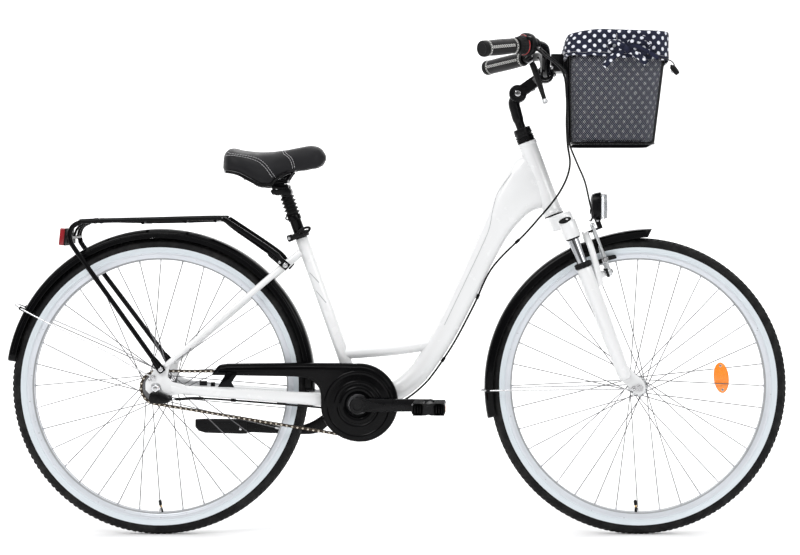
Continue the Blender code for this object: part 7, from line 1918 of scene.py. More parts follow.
HEAD_C = V(X(-0.2784), 0, 0.8200)
neck = smooth_path([seat(0.5150), seat(0.5300), seat(0.5420) + V(0.004, 0, 0), V(X(-0.2712), 0, 0.8160), HEAD_C + V(0.001, 0, 0.0050)], per=6)
items = [(rod(seat(0.350), seat(0.5300), 0.0110, seg=48), "matt"), (tube(neck, 0.0122, 40, r_of=lambda t: 0.0118 + 0.0012 * math.sin(pi * t)), "satin")]
for yy in (-0.0170, 0.0170):
    items.append((turned([(0, 0), (0.0118, 0), (0.0122, 0.0012), (0.0118, 0.0028), (0.0092, 0.0034), (0.0086, 0.0024), (0.0058, 0.0024), (0.0052, 0.0034), (0, 0.0036)],
                         V(X(-0.2672), yy, 0.8105), (0, -1 if yy < 0 else 1, 0), 48, closed=False, fil=0.0004), "satin"))
items.append((rod(V(X(-0.2672), -0.0175, 0.8105), V(X(-0.2672), 0.0175, 0.8105), 0.0122, seg=48), "satin"))
low_rows = []
for k in range(9):
    u = -0.0190 + 0.0380 * k / 8
    sag = -0.0030 * math.cos(pi * u / 0.040)
    low_rows.append([V(X(-0.2800) + u, a * 0.0275, 0.8232 + sag + b * 0.0046) for a, b in soft_box(1, 1, 0.30, 5)])
items.append((loft(low_rows), "satin"))
items.append((block(V(X(-0.2940), 0, 0.8140), (0.86, 0, 0.51), YY, (-0.51, 0, 0.86), 0.0210, 0.0300, 0.0120, 0.0040, 4), "satin"))
for sy in (-1, 1):
    items.append((hexa(V(X(-0.2890), sy * 0.0150, 0.8190), V(X(-0.2890), sy * 0.0205, 0.8190), 0.0052), "dark"))
    items.append((rod(V(X(-0.2890), sy * 0.0200, 0.8190), V(X(-0.2890), sy * 0.0240, 0.8190), 0.0028, seg=20), "steel"))
items.append((rod(V(X(-0.2960), 0, 0.8040), V(X(-0.2960), 0, 0.8150), 0.0044, seg=24), "dark"))
cheek = [(-0.3016, 0.8236), (-0.2965, 0.8372), (-0.2860, 0.8376), (-0.2745, 0.8300), (-0.2630, 0.8238), (-0.2562, 0.8120), (-0.2566, 0.8042),
         (-0.2800, 0.8040), (-0.2925, 0.8022), (-0.2990, 0.8120)]
for sy in (-1, 1):
    items.append((prism([(X(a), b) for a, b in cheek], sy * 0.0125, sy * 0.0205, fil=0.003, edge=0.0010), "satin"))
put("seat_post_head", items, "saddle", "seatpost_plunger")

BEL0, BEL1 = 0.4727, 0.5201
prof = []
for k in range(5):
    h0 = BEL0 + k * (BEL1 - BEL0) / 5
    q = (BEL1 - BEL0) / 5
    prof += [(0.0128, h0 + q * 0.04), (0.0150, h0 + q * 0.26), (0.0176, h0 + q * 0.44), (0.0180, h0 + q * 0.50), (0.0176, h0 + q * 0.56), (0.0150, h0 + q * 0.74),
             (0.0128, h0 + q * 0.96)]
bel = put("post_bellows", [(turned([(0.0118, BEL0)] + prof + [(0.0118, BEL1)], seat(0), SV, 64, fil=0.0002), "matt")], "saddle", "seatpost_bellows",
          angle=60)
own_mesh(bel)

# --------------------------------------------------------------- saddle frame
items = []
for sy in (-1, 1):
    pts = [V(X(-0.3760), sy * 0.0360, 0.8550), V(X(-0.3500), sy * 0.0300, 0.8460), V(X(-0.3200), sy * 0.0230, 0.8345), V(X(-0.2784), sy * 0.0220, 0.8340),
           V(X(-0.2670), sy * 0.0210, 0.8380), V(X(-0.2580), sy * 0.0180, 0.8500), V(X(-0.2500), sy * 0.0130, 0.8620)]
    items.append((tube(smooth_path(pts, per=8), 0.0035, 20), "black"))
    items.append((tube(smooth_path([V(X(-0.3560), sy * 0.0560, 0.8520), V(X(-0.3470), sy * 0.0540, 0.8420), V(X(-0.3330), sy * 0.0500, 0.8290),
                                    V(X(-0.3180), sy * 0.0460, 0.8245), V(X(-0.3030), sy * 0.0420, 0.8270), V(X(-0.2960), sy * 0.0330, 0.8300)], per=6), 0.0040, 16), "black"))
    items.append((turned([(0.0030, -0.0010), (0.0046, -0.0010), (0.0050, 0.0), (0.0046, 0.0010), (0.0030, 0.0010), (0.0026, 0.0)],
                         V(X(-0.3610), sy * 0.0400, 0.8435), (0.3, 1, 0), 28, fil=0.0003), "steel"))
    items.append((rod(V(X(-0.3680), sy * 0.0400, 0.8470), V(X(-0.3680), sy * 0.0400, 0.8600), 0.0026, seg=16), "steel"))
items.append((rod(V(X(-0.2500), -0.0150, 0.8615), V(X(-0.2500), 0.0150, 0.8615), 0.0042, seg=24), "black"))
items.append((rod(V(X(-0.3745), -0.0400, 0.8550), V(X(-0.3745), 0.0400, 0.8550), 0.0042, seg=24), "black"))
rows = []
for k in range(7):
    u = -0.0150 + 0.0300 * k / 6
    rows.append([HEAD_C + V(u, a * 0.0270, 0.0160 + 0.0020 * math.cos(pi * u / 0.03) + b * 0.0045) for a, b in soft_box(1, 1, 0.32, 5)])
items.append((loft(rows), "satin"))
for sy in (-1, 1):
    items.append((rod(HEAD_C + V(-0.0060, sy * 0.0220, 0.0190), HEAD_C + V(-0.0060, sy * 0.0220, 0.0230), 0.0036, seg=20), "steel"))
put("saddle_frame", items, "saddle", "saddle_rails")

# --------------------------------------------------------------------- saddle
SADDLE = [(-0.4150, 0.8800, 0.8600, 0.8680, 0.050, 0.030), (-0.4080, 0.8960, 0.8580, 0.8660, 0.080, 0.046),
          (-0.3938, 0.9080, 0.8570, 0.8660, 0.097, 0.052), (-0.3700, 0.9032, 0.8520, 0.8660, 0.103, 0.054),
          (-0.3450, 0.9012, 0.8390, 0.8660, 0.099, 0.054), (-0.3207, 0.9008, 0.8270, 0.8660, 0.087, 0.052),
          (-0.3014, 0.9016, 0.8270, 0.8660, 0.075, 0.048), (-0.2890, 0.9028, 0.8389, 0.8665, 0.064, 0.043),
          (-0.2653, 0.9060, 0.8532, 0.8680, 0.050, 0.036), (-0.2415, 0.9103, 0.8590, 0.8690, 0.042, 0.030),
          (-0.2041, 0.9160, 0.8640, 0.8720, 0.036, 0.024), (-0.1849, 0.9127, 0.8690, 0.8760, 0.027, 0.017),
          (-0.1715, 0.8980, 0.8800, 0.8830, 0.014, 0.008)]


def spline(rows, per):
    """Rows of numbers run through a smooth curve."""
    out = []
    n = len(rows)
    for i in range(n - 1):
        a, b, c, d = rows[max(0, i - 1)], rows[i], rows[i + 1], rows[min(n - 1, i + 2)]
        for k in range(per):
            t = k / per
            out.append([0.5 * (2 * q + (r - p) * t + (2 * p - 5 * q + 4 * r - s) * t * t + (3 * q - p - 3 * r + s) * t ** 3)
                        for p, q, r, s in zip(a, b, c, d)])
    out.append(list(rows[-1]))
    return out


def saddle_side(row, grow=0.0):
    x_, top_, edge_, under_, w_, in_ = row
    low_ = edge_ + (top_ - edge_) * 0.30
    key = [(-w_ * 0.38, top_ - (top_ - edge_) * 0.04), (0.0, top_), (w_ * 0.38, top_ - (top_ - edge_) * 0.04), (w_ * 0.72, top_ - (top_ - edge_) * 0.15),
           (w_ * 0.94, top_ - (top_ - edge_) * 0.38), (w_, low_), (w_ * 0.97, edge_ + 0.0015), (w_ * 0.90, edge_)]
    fine_ = spline(key, 5)[5:]
    under = [(in_ + 0.003, edge_ + 0.0030), (in_, under_ - (under_ - edge_) * 0.15), (in_ * 0.7, under_), (0.0, under_)]
    return fine_ + under


rows = []
body_rows = spline(SADDLE, 4)
for r in body_rows:
    side = saddle_side(r)
    pts = [V(X(r[0]), -y, z) for y, z in side]
    other = [V(X(r[0]), y, z) for y, z in reversed(side[1:-1])]
    rows.append(pts + other)
raw = loft(rows)


def puffed(me, voxel, frames, pressure, cap, name):
    """Padding pushed out from inside like stuffing under a sewn cover."""
    ob = bpy.data.objects.new(name, me)
    SCN.collection.objects.link(ob)
    rm = ob.modifiers.new("even", "REMESH")
    rm.mode = "VOXEL"
    rm.voxel_size = voxel
    bpy.context.view_layer.update()
    base = bpy.data.meshes.new_from_object(ob.evaluated_get(bpy.context.evaluated_depsgraph_get()))
    ob.modifiers.clear()
    ob.data = base
    rest = [v.co.copy() for v in base.vertices]
    cl = ob.modifiers.new("fill", "CLOTH")
    cl.settings.use_pressure = True
    cl.settings.uniform_pressure_force = pressure
    cl.settings.effector_weights.gravity = 0.0
    cl.settings.quality = 6
    cl.settings.mass = 0.3
    for f in range(1, frames + 1):
        SCN.frame_set(f)
    done = bpy.data.meshes.new_from_object(ob.evaluated_get(bpy.context.evaluated_depsgraph_get()))
    ob.modifiers.clear()
    SCN.frame_set(1)
    if len(done.vertices) == len(rest):
        for v, r in zip(done.vertices, rest):
            d = v.co - r
            if d.length > cap:
                d = d * (cap / d.length)
            v.co = r + d
        ob.data = done
    sm = ob.modifiers.new("relax", "SMOOTH")
    sm.factor = 0.6
    sm.iterations = 6
    sb = ob.modifiers.new("fine", "SUBSURF")
    sb.levels = 1
    sb.render_levels = 1
    bpy.context.view_layer.update()
    out = bpy.data.meshes.new_from_object(ob.evaluated_get(bpy.context.evaluated_depsgraph_get()))
    bpy.data.objects.remove(ob, do_unlink=True)
    return out


pad = puffed(raw, 0.0045, 20, 4.0, 0.0030, "saddle_work")
for v in pad.vertices:
    k = min(1.0, max(0.0, (v.co.z - 0.872) / 0.022))
    back = min(1.0, max(0.0, (X(-0.330) - v.co.x) / 0.055))
    nose = min(1.0, max(0.0, (v.co.x - X(-0.270)) / 0.050))
    v.co.z += k * k * (3 - 2 * k) * (0.0020 + 0.0026 * back + 0.0010 * nose)
pad_bvh = None


def skin_of(me):
    bm = bmesh.new()
    bm.from_mesh(me)
    t = BVHTree.FromBMesh(bm)
    bm.free()
    return t


pad_bvh = skin_of(pad)


def on_side(x, z, sy, lift=0.0):
    """Point of the saddle's side skin at a given place in the side view."""
    hit = pad_bvh.ray_cast(V(X(x), sy * 0.30, z), V(0, -sy, 0))
    if hit[0] is None:
        hit = pad_bvh.find_nearest(V(X(x), sy * 0.05, z))
    return hit[0] + hit[1] * lift, hit[1]


def stitch_line(points, sy, run=0.0046, gap=0.0016, r=0.00052, lift=0.0005):
    """Thread stitches along a line on the skin; the line's points on the skin and their normals come back with them."""
    path = smooth_path([V(a, 0, b) for a, b in points], per=14)
    pts = [on_side(p.x, p.z, sy)[0] for p in path]
    nrm = [on_side(p.x, p.z, sy)[1] for p in path]
    out = []
    acc = [0.0]
    for a, b in zip(pts, pts[1:]):
        acc.append(acc[-1] + (b - a).length)

    def at(d):
        j = 0
        while j < len(pts) - 2 and acc[j + 1] < d:
            j += 1
        t = min(1.0, max(0.0, (d - acc[j]) / max(1e-9, acc[j + 1] - acc[j])))
        return pts[j].lerp(pts[j + 1], t), nrm[j].lerp(nrm[j + 1], t).normalized()
    d = 0.0
    while d + run < acc[-1]:
        q = [at(d + run * f) for f in (0.0, 0.15, 0.5, 0.85, 1.0)]
        h = (-0.0003, lift, lift * 1.3, lift, -0.0003)
        out.append((tube([p + n * k for (p, n), k in zip(q, h)], r, 8), "thread"))
        d += run + gap
    return out, pts, nrm


items = [(pad, "leather")]
SEAMS = [[(-0.3975, 0.9030), (-0.3890, 0.8998), (-0.3658, 0.8963), (-0.3424, 0.8926), (-0.3247, 0.8865), (-0.3101, 0.8757), (-0.2994, 0.8621),
          (-0.2905, 0.8488), (-0.2870, 0.8440)],
         [(-0.4010, 0.8950), (-0.3881, 0.8954), (-0.3658, 0.8926), (-0.3460, 0.8886), (-0.3282, 0.8820), (-0.3155, 0.8729), (-0.3048, 0.8605),
          (-0.2959, 0.8469), (-0.2925, 0.8430)],
         [(-0.2650, 0.9010), (-0.2600, 0.8975), (-0.2532, 0.8919), (-0.2477, 0.8820), (-0.2452, 0.8712), (-0.2452, 0.8620)],
         [(-0.2700, 0.8990), (-0.2640, 0.8954), (-0.2567, 0.8884), (-0.2522, 0.8792), (-0.2499, 0.8693), (-0.2496, 0.8620)]]
for sy in (-1, 1):
    for line in SEAMS:
        items += stitch_line(line, sy)[0]
    for a, b in ((SEAMS[0], SEAMS[1]), (SEAMS[2], SEAMS[3])):
        mid = [((p[0] + q[0]) / 2, (p[1] + q[1]) / 2) for p, q in zip(a, b)]
        _, pts, nrm = stitch_line(mid, sy)
        items.append((sweep([p - n * 0.0003 for p, n in zip(pts, nrm)], round_section(0.0007, 8)), "leather"))
# stitches that carry the front seams over the top
for x_, zz in ((-0.2650, 0.9010), (-0.2700, 0.8990)):
    top = []
    for k in range(25):
        y = -1 + 2 * k / 24
        hit = pad_bvh.ray_cast(V(X(x_) - 0.010 * (1 - y * y), y * on_side(x_, zz, 1)[0].y, 1.2), V(0, 0, -1))
        if hit[0] is not None:
            top.append((hit[0], hit[1]))
    for k in range(0, len(top) - 1, 1):
        a, b = top[k], top[k + 1]
        items.append((tube([a[0] - a[1] * 0.0002, a[0].lerp(b[0], 0.2) + a[1] * 0.0006, a[0].lerp(b[0], 0.6) + b[1] * 0.0006, a[0].lerp(b[0], 0.78) - b[1] * 0.0002],
                           0.0005, 8), "thread"))
saddle_ob = put("saddle_cover", items, "saddle", "saddle", angle=60)

# glossy moulded base along the bottom of the flaps, and the rear bumper
items = []
for sy in (-1, 1):
    edge = [V(X(r[0]), sy * r[4] * 0.945, r[2] - 0.0006) for r in body_rows[7:-14]]
    items.append((sweep(edge, lambda t: [(a * 0.0042, b * (0.0026 + 0.0012 * math.sin(pi * t))) for a, b in soft_box(1, 1, 0.42, 5)], up=(0, 0, 1)), "black"))
pts = [V(X(-0.4135) + 0.010 * (abs(k) / 6) ** 2 * 1.1, 0.0470 * k / 6, 0.8600) for k in range(-6, 7)]
items.append((sweep(pts, [(a * 0.0030, b * 0.0046) for a, b in soft_box(1, 1, 0.45, 5)], up=(0, 0, 1)), "clear"))
put("saddle_base", items, "saddle")


# --------------------------------------------------------------------- basket
BK_Z0, BK_Z1 = 0.920, 1.160


def basket_outline(z, out, n=14):
    k = (z - BK_Z0) / (BK_Z1 - BK_Z0)
    x0, x1 = 0.404 - 0.005 * k - out, 0.598 + 0.028 * k + out
    yh = 0.140 + 0.030 * k + out
    r = 0.034 + out
    pts = []
    for cx, cy, a0 in ((x1 - r, yh - r, 0), (x0 + r, yh - r, 90), (x0 + r, -yh + r, 180), (x1 - r, -yh + r, 270)):
        for i in range(n):
            a = math.radians(a0 + 90 * i / (n - 1))
            pts.append(V(X(cx + r * math.cos(a)), cy + r * math.sin(a), z))
    return pts


def round_basket(z, out, count, shift=0.0):
    """Evenly spaced points round the basket, with their outward directions."""
    base = basket_outline(z, out)
    acc = [0.0]
    for i, p in enumerate(base):
        acc.append(acc[-1] + (base[(i + 1) % len(base)] - p).length)
    total_ = acc[-1]
    res = []
    j = 0
    for k in range(count):
        d = (total_ * (k + shift) / count) % total_
        j = 0 if d < acc[j] else j
        while acc[j + 1] < d:
            j += 1
        t = (d - acc[j]) / max(1e-9, acc[j + 1] - acc[j])
        a, b = base[j], base[(j + 1) % len(base)]
        w = (b - a).normalized()
        res.append((a.lerp(b, t), V(w.y, -w.x, 0)))
    return res, total_


COLS, STEPS = 186, 78
lattice = []
for s in range(STEPS + 1):
    z = BK_Z0 + 0.0030 + (BK_Z1 - 0.0060 - BK_Z0) * s / STEPS
    lattice.append(round_basket(z, -0.0012, COLS * 2)[0])
bm = bmesh.new()
for lean in (1, -1):
    for k in range(COLS):
        prev_ = None
        for s in range(STEPS + 1):
            p, nrm = lattice[s][(2 * k + lean * s) % (2 * COLS)]
            q = lattice[min(STEPS, s + 1)][(2 * k + lean * min(STEPS, s + 1)) % (2 * COLS)][0]
            o = lattice[max(0, s - 1)][(2 * k + lean * max(0, s - 1)) % (2 * COLS)][0]
            t = (q - o).normalized()
            w = nrm.cross(t).normalized()
            ring_ = [bm.verts.new(p + w * 0.00062), bm.verts.new(p + nrm * (0.0007 + 0.0002 * lean)), bm.verts.new(p - w * 0.00062)]
            if prev_:
                for a in range(3):
                    b = (a + 1) % 3
                    bm.faces.new((prev_[a], prev_[b], ring_[b], ring_[a]))
            else:
                bm.faces.new(ring_)
            prev_ = ring_
        bm.faces.new(prev_)
net = out_mesh(bm)
items = [(net, "satin")]
for z, out, r in ((BK_Z0 + 0.0028, -0.0020, 0.0030), (BK_Z1 - 0.0035, -0.0020, 0.0028)):
    ring_ = [p for p, n_ in round_basket(z, out, 160)[0]]
    items.append((sweep(ring_, round_section(r, 14), closed=True), "black"))
# floor grid and the wires that fold under it
for k in range(31):
    x = 0.410 + 0.182 * k / 30
    yh = 0.136 if 0.43 < x < 0.57 else 0.112
    items.append((tube([V(X(x), -yh, BK_Z0 + 0.0028), V(X(x), yh, BK_Z0 + 0.0028)], 0.0008, 6), "wire"))
for k in range(41):
    y = -0.130 + 0.260 * k / 40
    xa, xb = (0.408, 0.594) if abs(y) < 0.105 else (0.430, 0.574)
    items.append((tube([V(X(xa), y, BK_Z0 + 0.0016), V(X(xb), y, BK_Z0 + 0.0016)], 0.0009, 8), "wire"))
for sy in (-1, 1):
    # stiff uprights at the back, where the bracket hooks on
    for x, y in ((0.4035, 0.060), (0.4035, 0.088)):
        items.append((tube(smooth_path([V(X(x + 0.003), sy * y, BK_Z0 + 0.0030), V(X(x - 0.001), sy * (y + 0.001), BK_Z0 + 0.012),
                                        V(X(0.3995), sy * (y + 0.004), 1.040), V(X(0.3978), sy * (y + 0.006), 1.152)], per=6), 0.0022, 12), "black"))
put("basket_wirework", items, "steering", "basket", angle=50)

# ----------------------------------------------------------------- basket liner
rnd = random.Random(7)
WAVES = [(rnd.uniform(0.6, 1.0), rnd.randrange(9, 40), rnd.uniform(0, 6.28), rnd.uniform(0.5, 2.2)) for _ in range(9)]


def ripple(u, v):
    """Soft unevenness of hanging cloth; u runs round, v runs up, both 0..1."""
    s = 0.0
    for a, m, ph, tw in WAVES:
        s += a * math.sin(m * 2 * pi * u + ph + tw * 3.0 * v) / len(WAVES) * 2.0
    return s


def cloth_shell(rows_, cols, closed=True):
    """Cloth surface from rows of points, with its flat pattern as UV map."""
    bm = bmesh.new()
    uvl = bm.loops.layers.uv.new("flat")
    grid = [[bm.verts.new(p) for p, uv in r] for r in rows_]
    flat = [[uv for p, uv in r] for r in rows_]
    for i in range(len(rows_) - 1):
        for k in range(cols if closed else cols - 1):
            j = (k + 1) % cols
            f = bm.faces.new((grid[i][k], grid[i][j], grid[i + 1][j], grid[i + 1][k]))
            for lp_, (a, b) in zip(f.loops, ((i, k), (i, j), (i + 1, j), (i + 1, k))):
                u, v = flat[a][b]
                if closed and b == 0 and k == cols - 1:
                    u = flat[a][cols - 1][0] + (flat[a][cols - 1][0] - flat[a][cols - 2][0])
                lp_[uvl].uv = (u, v)
    me = bpy.data.meshes.new("cloth")
    bm.to_mesh(me)
    bm.free()
    return me


NC = 300
PER = round_basket(1.150, 0.0, 8)[1]


def near_front(p):
    """How far along the basket a point is, 0 at the back and 1 at the front."""
    return min(1.0, max(0.0, (p.x - X(0.399)) / 0.227))


def top_z(p):
    f = near_front(p)
    return 1.1835 - 0.0105 * max(0.0, (0.30 - f) / 0.30) ** 1.4 - 0.0045 * max(0.0, (f - 0.35) / 0.65)


def low_z(p, u):
    f = near_front(p)
    return 1.1225 - 0.0105 * f ** 1.6 + 0.0012 * math.sin(23 * 2 * pi * u) + 0.0010 * math.sin(37 * 2 * pi * u + 1.0)


def liner_rows(spec):
    rows_ = []
    run = 0.0
    last = None
    for v, (zf, out, wave) in enumerate(spec):
        row = []
        zs = []
        probe_, per_ = round_basket(1.150 if not isinstance(zf, float) else max(BK_Z0, zf), out, NC)
        for k, (p, nrm) in enumerate(probe_):
            u = k / NC
            z = zf if isinstance(zf, float) else zf(p, u)
            q = V(p.x, p.y, z) + nrm * (wave * ripple(u, v / len(spec)))
            row.append([q, u])
            zs.append(z)
        if last is not None:
            run += sum((a[0] - b[0]).length for a, b in zip(row, last)) / NC
        rows_.append([(q, (u * PER, run)) for q, u in row])
        last = row
    return rows_


spec = []
# floor of the bag, its side, the turn over the rim and the cuff outside
for inset_ in (0.085, 0.060, 0.035, 0.015):
    spec.append((0.9300, -0.0060 - inset_, 0.0004))
for z in (0.9305, 0.9330, 0.9400, 0.9600, 0.9850, 1.0100, 1.0350, 1.0600, 1.0850, 1.1100, 1.1350, 1.1550):
    spec.append((z, -0.0062, 0.0007 if z > 0.935 else 0.0002))
spec += [(lambda p, u: top_z(p) - 0.0090, -0.0055, 0.0004), (lambda p, u: top_z(p) - 0.0030, -0.0042, 0.0004),
         (lambda p, u: top_z(p), -0.0012, 0.0004), (lambda p, u: top_z(p) - 0.0008, 0.0022, 0.0005),
         (lambda p, u: top_z(p) - 0.0040, 0.0046, 0.0007)]
for k in range(1, 10):
    spec.append(((lambda kk: (lambda p, u: (top_z(p) - 0.0040) * (1 - kk / 9.0) + (low_z(p, u) + 0.0006) * (kk / 9.0)))(k),
                 0.0052 - 0.0010 * math.sin(pi * k / 9), 0.0008 + 0.0008 * k / 9))
spec += [(lambda p, u: low_z(p, u), 0.0046, 0.0016), (lambda p, u: low_z(p, u) + 0.0006, 0.0038, 0.0016),
         (lambda p, u: low_z(p, u) + 0.0130, 0.0030, 0.0008)]
rows_ = liner_rows(spec)
# the cuff stands off the rim at the back, on both sides of the bracket
for k, row in enumerate(rows_[-12:-1]):
    for q, uv in row:
        f = near_front(q)
        out_ = max(0.0, 1.0 - f / 0.16) * min(1.0, max(0.0, (abs(q.y) - 0.050) / 0.040))
        q.x -= 0.0085 * math.sin(min(pi, pi * (k + 0.6) / 10.5)) * out_ ** 0.8
shell_ = cloth_shell(rows_, NC)
items = [(shell_, "lining")]
# hem seam above the cuff's lower edge, and the cuff's side seams
cuff_rows = rows_[-12:-3]


def cuff_point(k, f, lift=0.0006):
    """Point on the cuff: column k, height f from its top fold to its edge."""
    a = f * (len(cuff_rows) - 1)
    i = min(len(cuff_rows) - 2, int(a))
    kk = k % NC
    j = int(kk)
    t = kk - j
    p = cuff_rows[i][j][0].lerp(cuff_rows[i][(j + 1) % NC][0], t)
    q = cuff_rows[i + 1][j][0].lerp(cuff_rows[i + 1][(j + 1) % NC][0], t)
    e = (cuff_rows[i][(j + 1) % NC][0] - cuff_rows[i][j][0]).normalized()
    return p.lerp(q, a - i) + V(e.y, -e.x, 0) * lift


hem = [cuff_point(k, 0.83) for k in range(NC)]
for k in range(0, NC * 2):
    a, b = cuff_point(k / 2, 0.83, -0.0001), cuff_point(k / 2 + 0.34, 0.83, -0.0001)
    m_ = cuff_point(k / 2 + 0.17, 0.83, 0.0006)
    items.append((tube([a, m_, b], 0.00036, 6), "thread"))
cols_ = []
for side in (-1, 1):
    best = min(range(NC), key=lambda k: abs(cuff_rows[0][k][0].x - X(0.5075)) + (0 if cuff_rows[0][k][0].y * side > 0 else 9))
    cols_.append(best)
    line = [cuff_point(best, f / 24.0, 0.0004) for f in range(25)]
    items.append((tube(line, 0.0005, 8), "thread"))
    line = [cuff_point(best + 0.5, f / 24.0, 0.0001) for f in range(25)]
    items.append((tube(line, 0.0009, 8), "navy"))
liner_ob = put("basket_lining", items, "steering", "basket_liner", angle=180)


# ------------------------------------------------------------------ bow and cord
def ribbon(points, width, tilt, name_mat, thick=0.0007, per=8):
    """Strip of cloth along a path; tilt turns it about the path, one value
    for each point."""
    path = smooth_path([V(*p) for p in points], per=per)
    n = len(path)
    bm = bmesh.new()
    uvl = bm.loops.layers.uv.new("flat")
    rows_, run = [], 0.0
    prev_side = None
    area_ = 0.0
    for i, p in enumerate(path):
        a, b = path[max(0, i - 1)], path[min(n - 1, i + 1)]
        t = (b - a).normalized()
        f = i / (n - 1) * (len(tilt) - 1)
        j = min(len(tilt) - 2, int(f))
        ang = tilt[j] + (tilt[j + 1] - tilt[j]) * (f - j)
        side = YY.cross(t)
        side = side.normalized() if side.length > 0.15 else (prev_side or V(0, 0, 1))
        if prev_side is not None and side.dot(prev_side) < 0:
            side = -side
        prev_side = side.copy()
        side = Matrix.Rotation(ang, 3, t) @ side
        nrm = side.cross(t).normalized()
        w = width[min(len(width) - 1, int(i / n * len(width)))] if isinstance(width, (list, tuple)) else width
        if i:
            run += (p - path[i - 1]).length
            area_ += (p - path[i - 1]).length * w
        row = []
        for k in range(7):
            c = -1 + 2 * k / 6
            cup = 0.0016 * (1 - c * c) + 0.0004 * math.sin(9 * c + 40 * run)
            row.append((p + side * (w / 2 * c) + nrm * cup, (run, w / 2 * c + 0.0035)))
        rows_.append(row)
    top_ = [[bm.verts.new(q) for q, uv in r] for r in rows_]
    bot_ = []
    for i, r in enumerate(rows_):
        out = []
        for k, (q, uv) in enumerate(r):
            a = rows_[max(0, i - 1)][k][0]
            b = rows_[min(n - 1, i + 1)][k][0]
            c = r[max(0, k - 1)][0]
            d = r[min(6, k + 1)][0]
            nn = (b - a).cross(d - c)
            out.append(bm.verts.new(q + nn.normalized() * thick if nn.length > 1e-12 else q))
        bot_.append(out)

    def face(vs, uvs):
        f = bm.faces.new(vs)
        for lp_, uv in zip(f.loops, uvs):
            lp_[uvl].uv = uv
    for i in range(n - 1):
        for k in range(6):
            uvs = [rows_[i][k][1], rows_[i][k + 1][1], rows_[i + 1][k + 1][1], rows_[i + 1][k][1]]
            face((top_[i][k], top_[i][k + 1], top_[i + 1][k + 1], top_[i + 1][k]), uvs)
            face((bot_[i][k], bot_[i + 1][k], bot_[i + 1][k + 1], bot_[i][k + 1]), [uvs[0], uvs[3], uvs[2], uvs[1]])
        for k in (0, 6):
            uvs = [rows_[i][k][1], rows_[i + 1][k][1], rows_[i + 1][k][1], rows_[i][k][1]]
            face((top_[i][k], top_[i + 1][k], bot_[i + 1][k], bot_[i][k]), uvs)
    for i in (0, n - 1):
        for k in range(6):
            face((top_[i][k], top_[i][k + 1], bot_[i][k + 1], bot_[i][k]), [rows_[i][k][1]] * 4)
    bmesh.ops.recalc_face_normals(bm, faces=bm.faces)
    me = bpy.data.meshes.new("ribbon")
    bm.to_mesh(me)
    bm.free()
    return (me, name_mat), area_, run


YB = -0.1810
strips = [
    # left loop, folded back on itself
    ([(0.5290, YB, 1.1370), (0.5150, YB - 0.006, 1.1480), (0.4960, YB - 0.008, 1.1530), (0.4870, YB - 0.004, 1.1440), (0.4960, YB, 1.1350),
      (0.5150, YB - 0.001, 1.1330), (0.5280, YB, 1.1350)], 0.0150, (0.2, 0.5, 0.9, 1.5, 0.9, 0.3, 0.1), "dots"),
    # right loop
    ([(0.5300, YB, 1.1360), (0.5450, YB - 0.007, 1.1520), (0.5680, YB - 0.010, 1.1590), (0.5860, YB - 0.006, 1.1480), (0.5790, YB - 0.001, 1.1330),
      (0.5560, YB, 1.1280), (0.5330, YB, 1.1330)], 0.0170, (0.2, 0.4, 0.9, 1.5, 0.8, 0.3, 0.1), "dots"),
    # dark inner tapes
    ([(0.5310, YB - 0.002, 1.1380), (0.5200, YB - 0.007, 1.1470), (0.5080, YB - 0.004, 1.1440), (0.5180, YB - 0.004, 1.1370), (0.5310, YB - 0.003, 1.1350)],
     0.0100, (0.1, 0.7, 1.3, 0.7, 0.1), "navy"),
    ([(0.5300, YB - 0.004, 1.1370), (0.5500, YB - 0.009, 1.1420), (0.5720, YB - 0.006, 1.1330), (0.5900, YB - 0.003, 1.1230), (0.6020, YB + 0.004, 1.1150)],
     0.0090, (0.1, 0.3, 0.5, 0.2, 0.0), "navy"),
    # the two tails
    ([(0.5280, YB - 0.002, 1.1350), (0.5130, YB - 0.005, 1.1270), (0.4960, YB - 0.004, 1.1160), (0.4830, YB - 0.006, 1.1020), (0.4770, YB - 0.005, 1.0960)],
     0.0135, (0.1, 0.35, -0.2, 0.45, 0.2), "dots"),
    ([(0.5320, YB - 0.002, 1.1340), (0.5450, YB - 0.006, 1.1280), (0.5580, YB - 0.005, 1.1180), (0.5690, YB - 0.006, 1.1080), (0.5750, YB - 0.005, 1.1030)],
     0.0135, (0.1, -0.3, 0.3, -0.2, 0.1), "dots"),
    # the knot's own band
    ([(0.5240, YB + 0.001, 1.1410), (0.5260, YB - 0.007, 1.1400), (0.5300, YB - 0.0105, 1.1355), (0.5330, YB - 0.007, 1.1310), (0.5340, YB + 0.001, 1.1300)],
     0.0120, (0.0, 0.1, 0.0, -0.1, 0.0), "navy"),
]
items, bow_area, bow_len = [], 0.0, 0.0
for pts, w, tl, mt in strips:
    pts = [(X(a), b, c) for a, b, c in pts]
    it, ar, ln = ribbon(pts, w, tl, mt)
    items.append(it)
    bow_area += ar
    bow_len += ln
bow = put("basket_bow", items, "steering", angle=60)

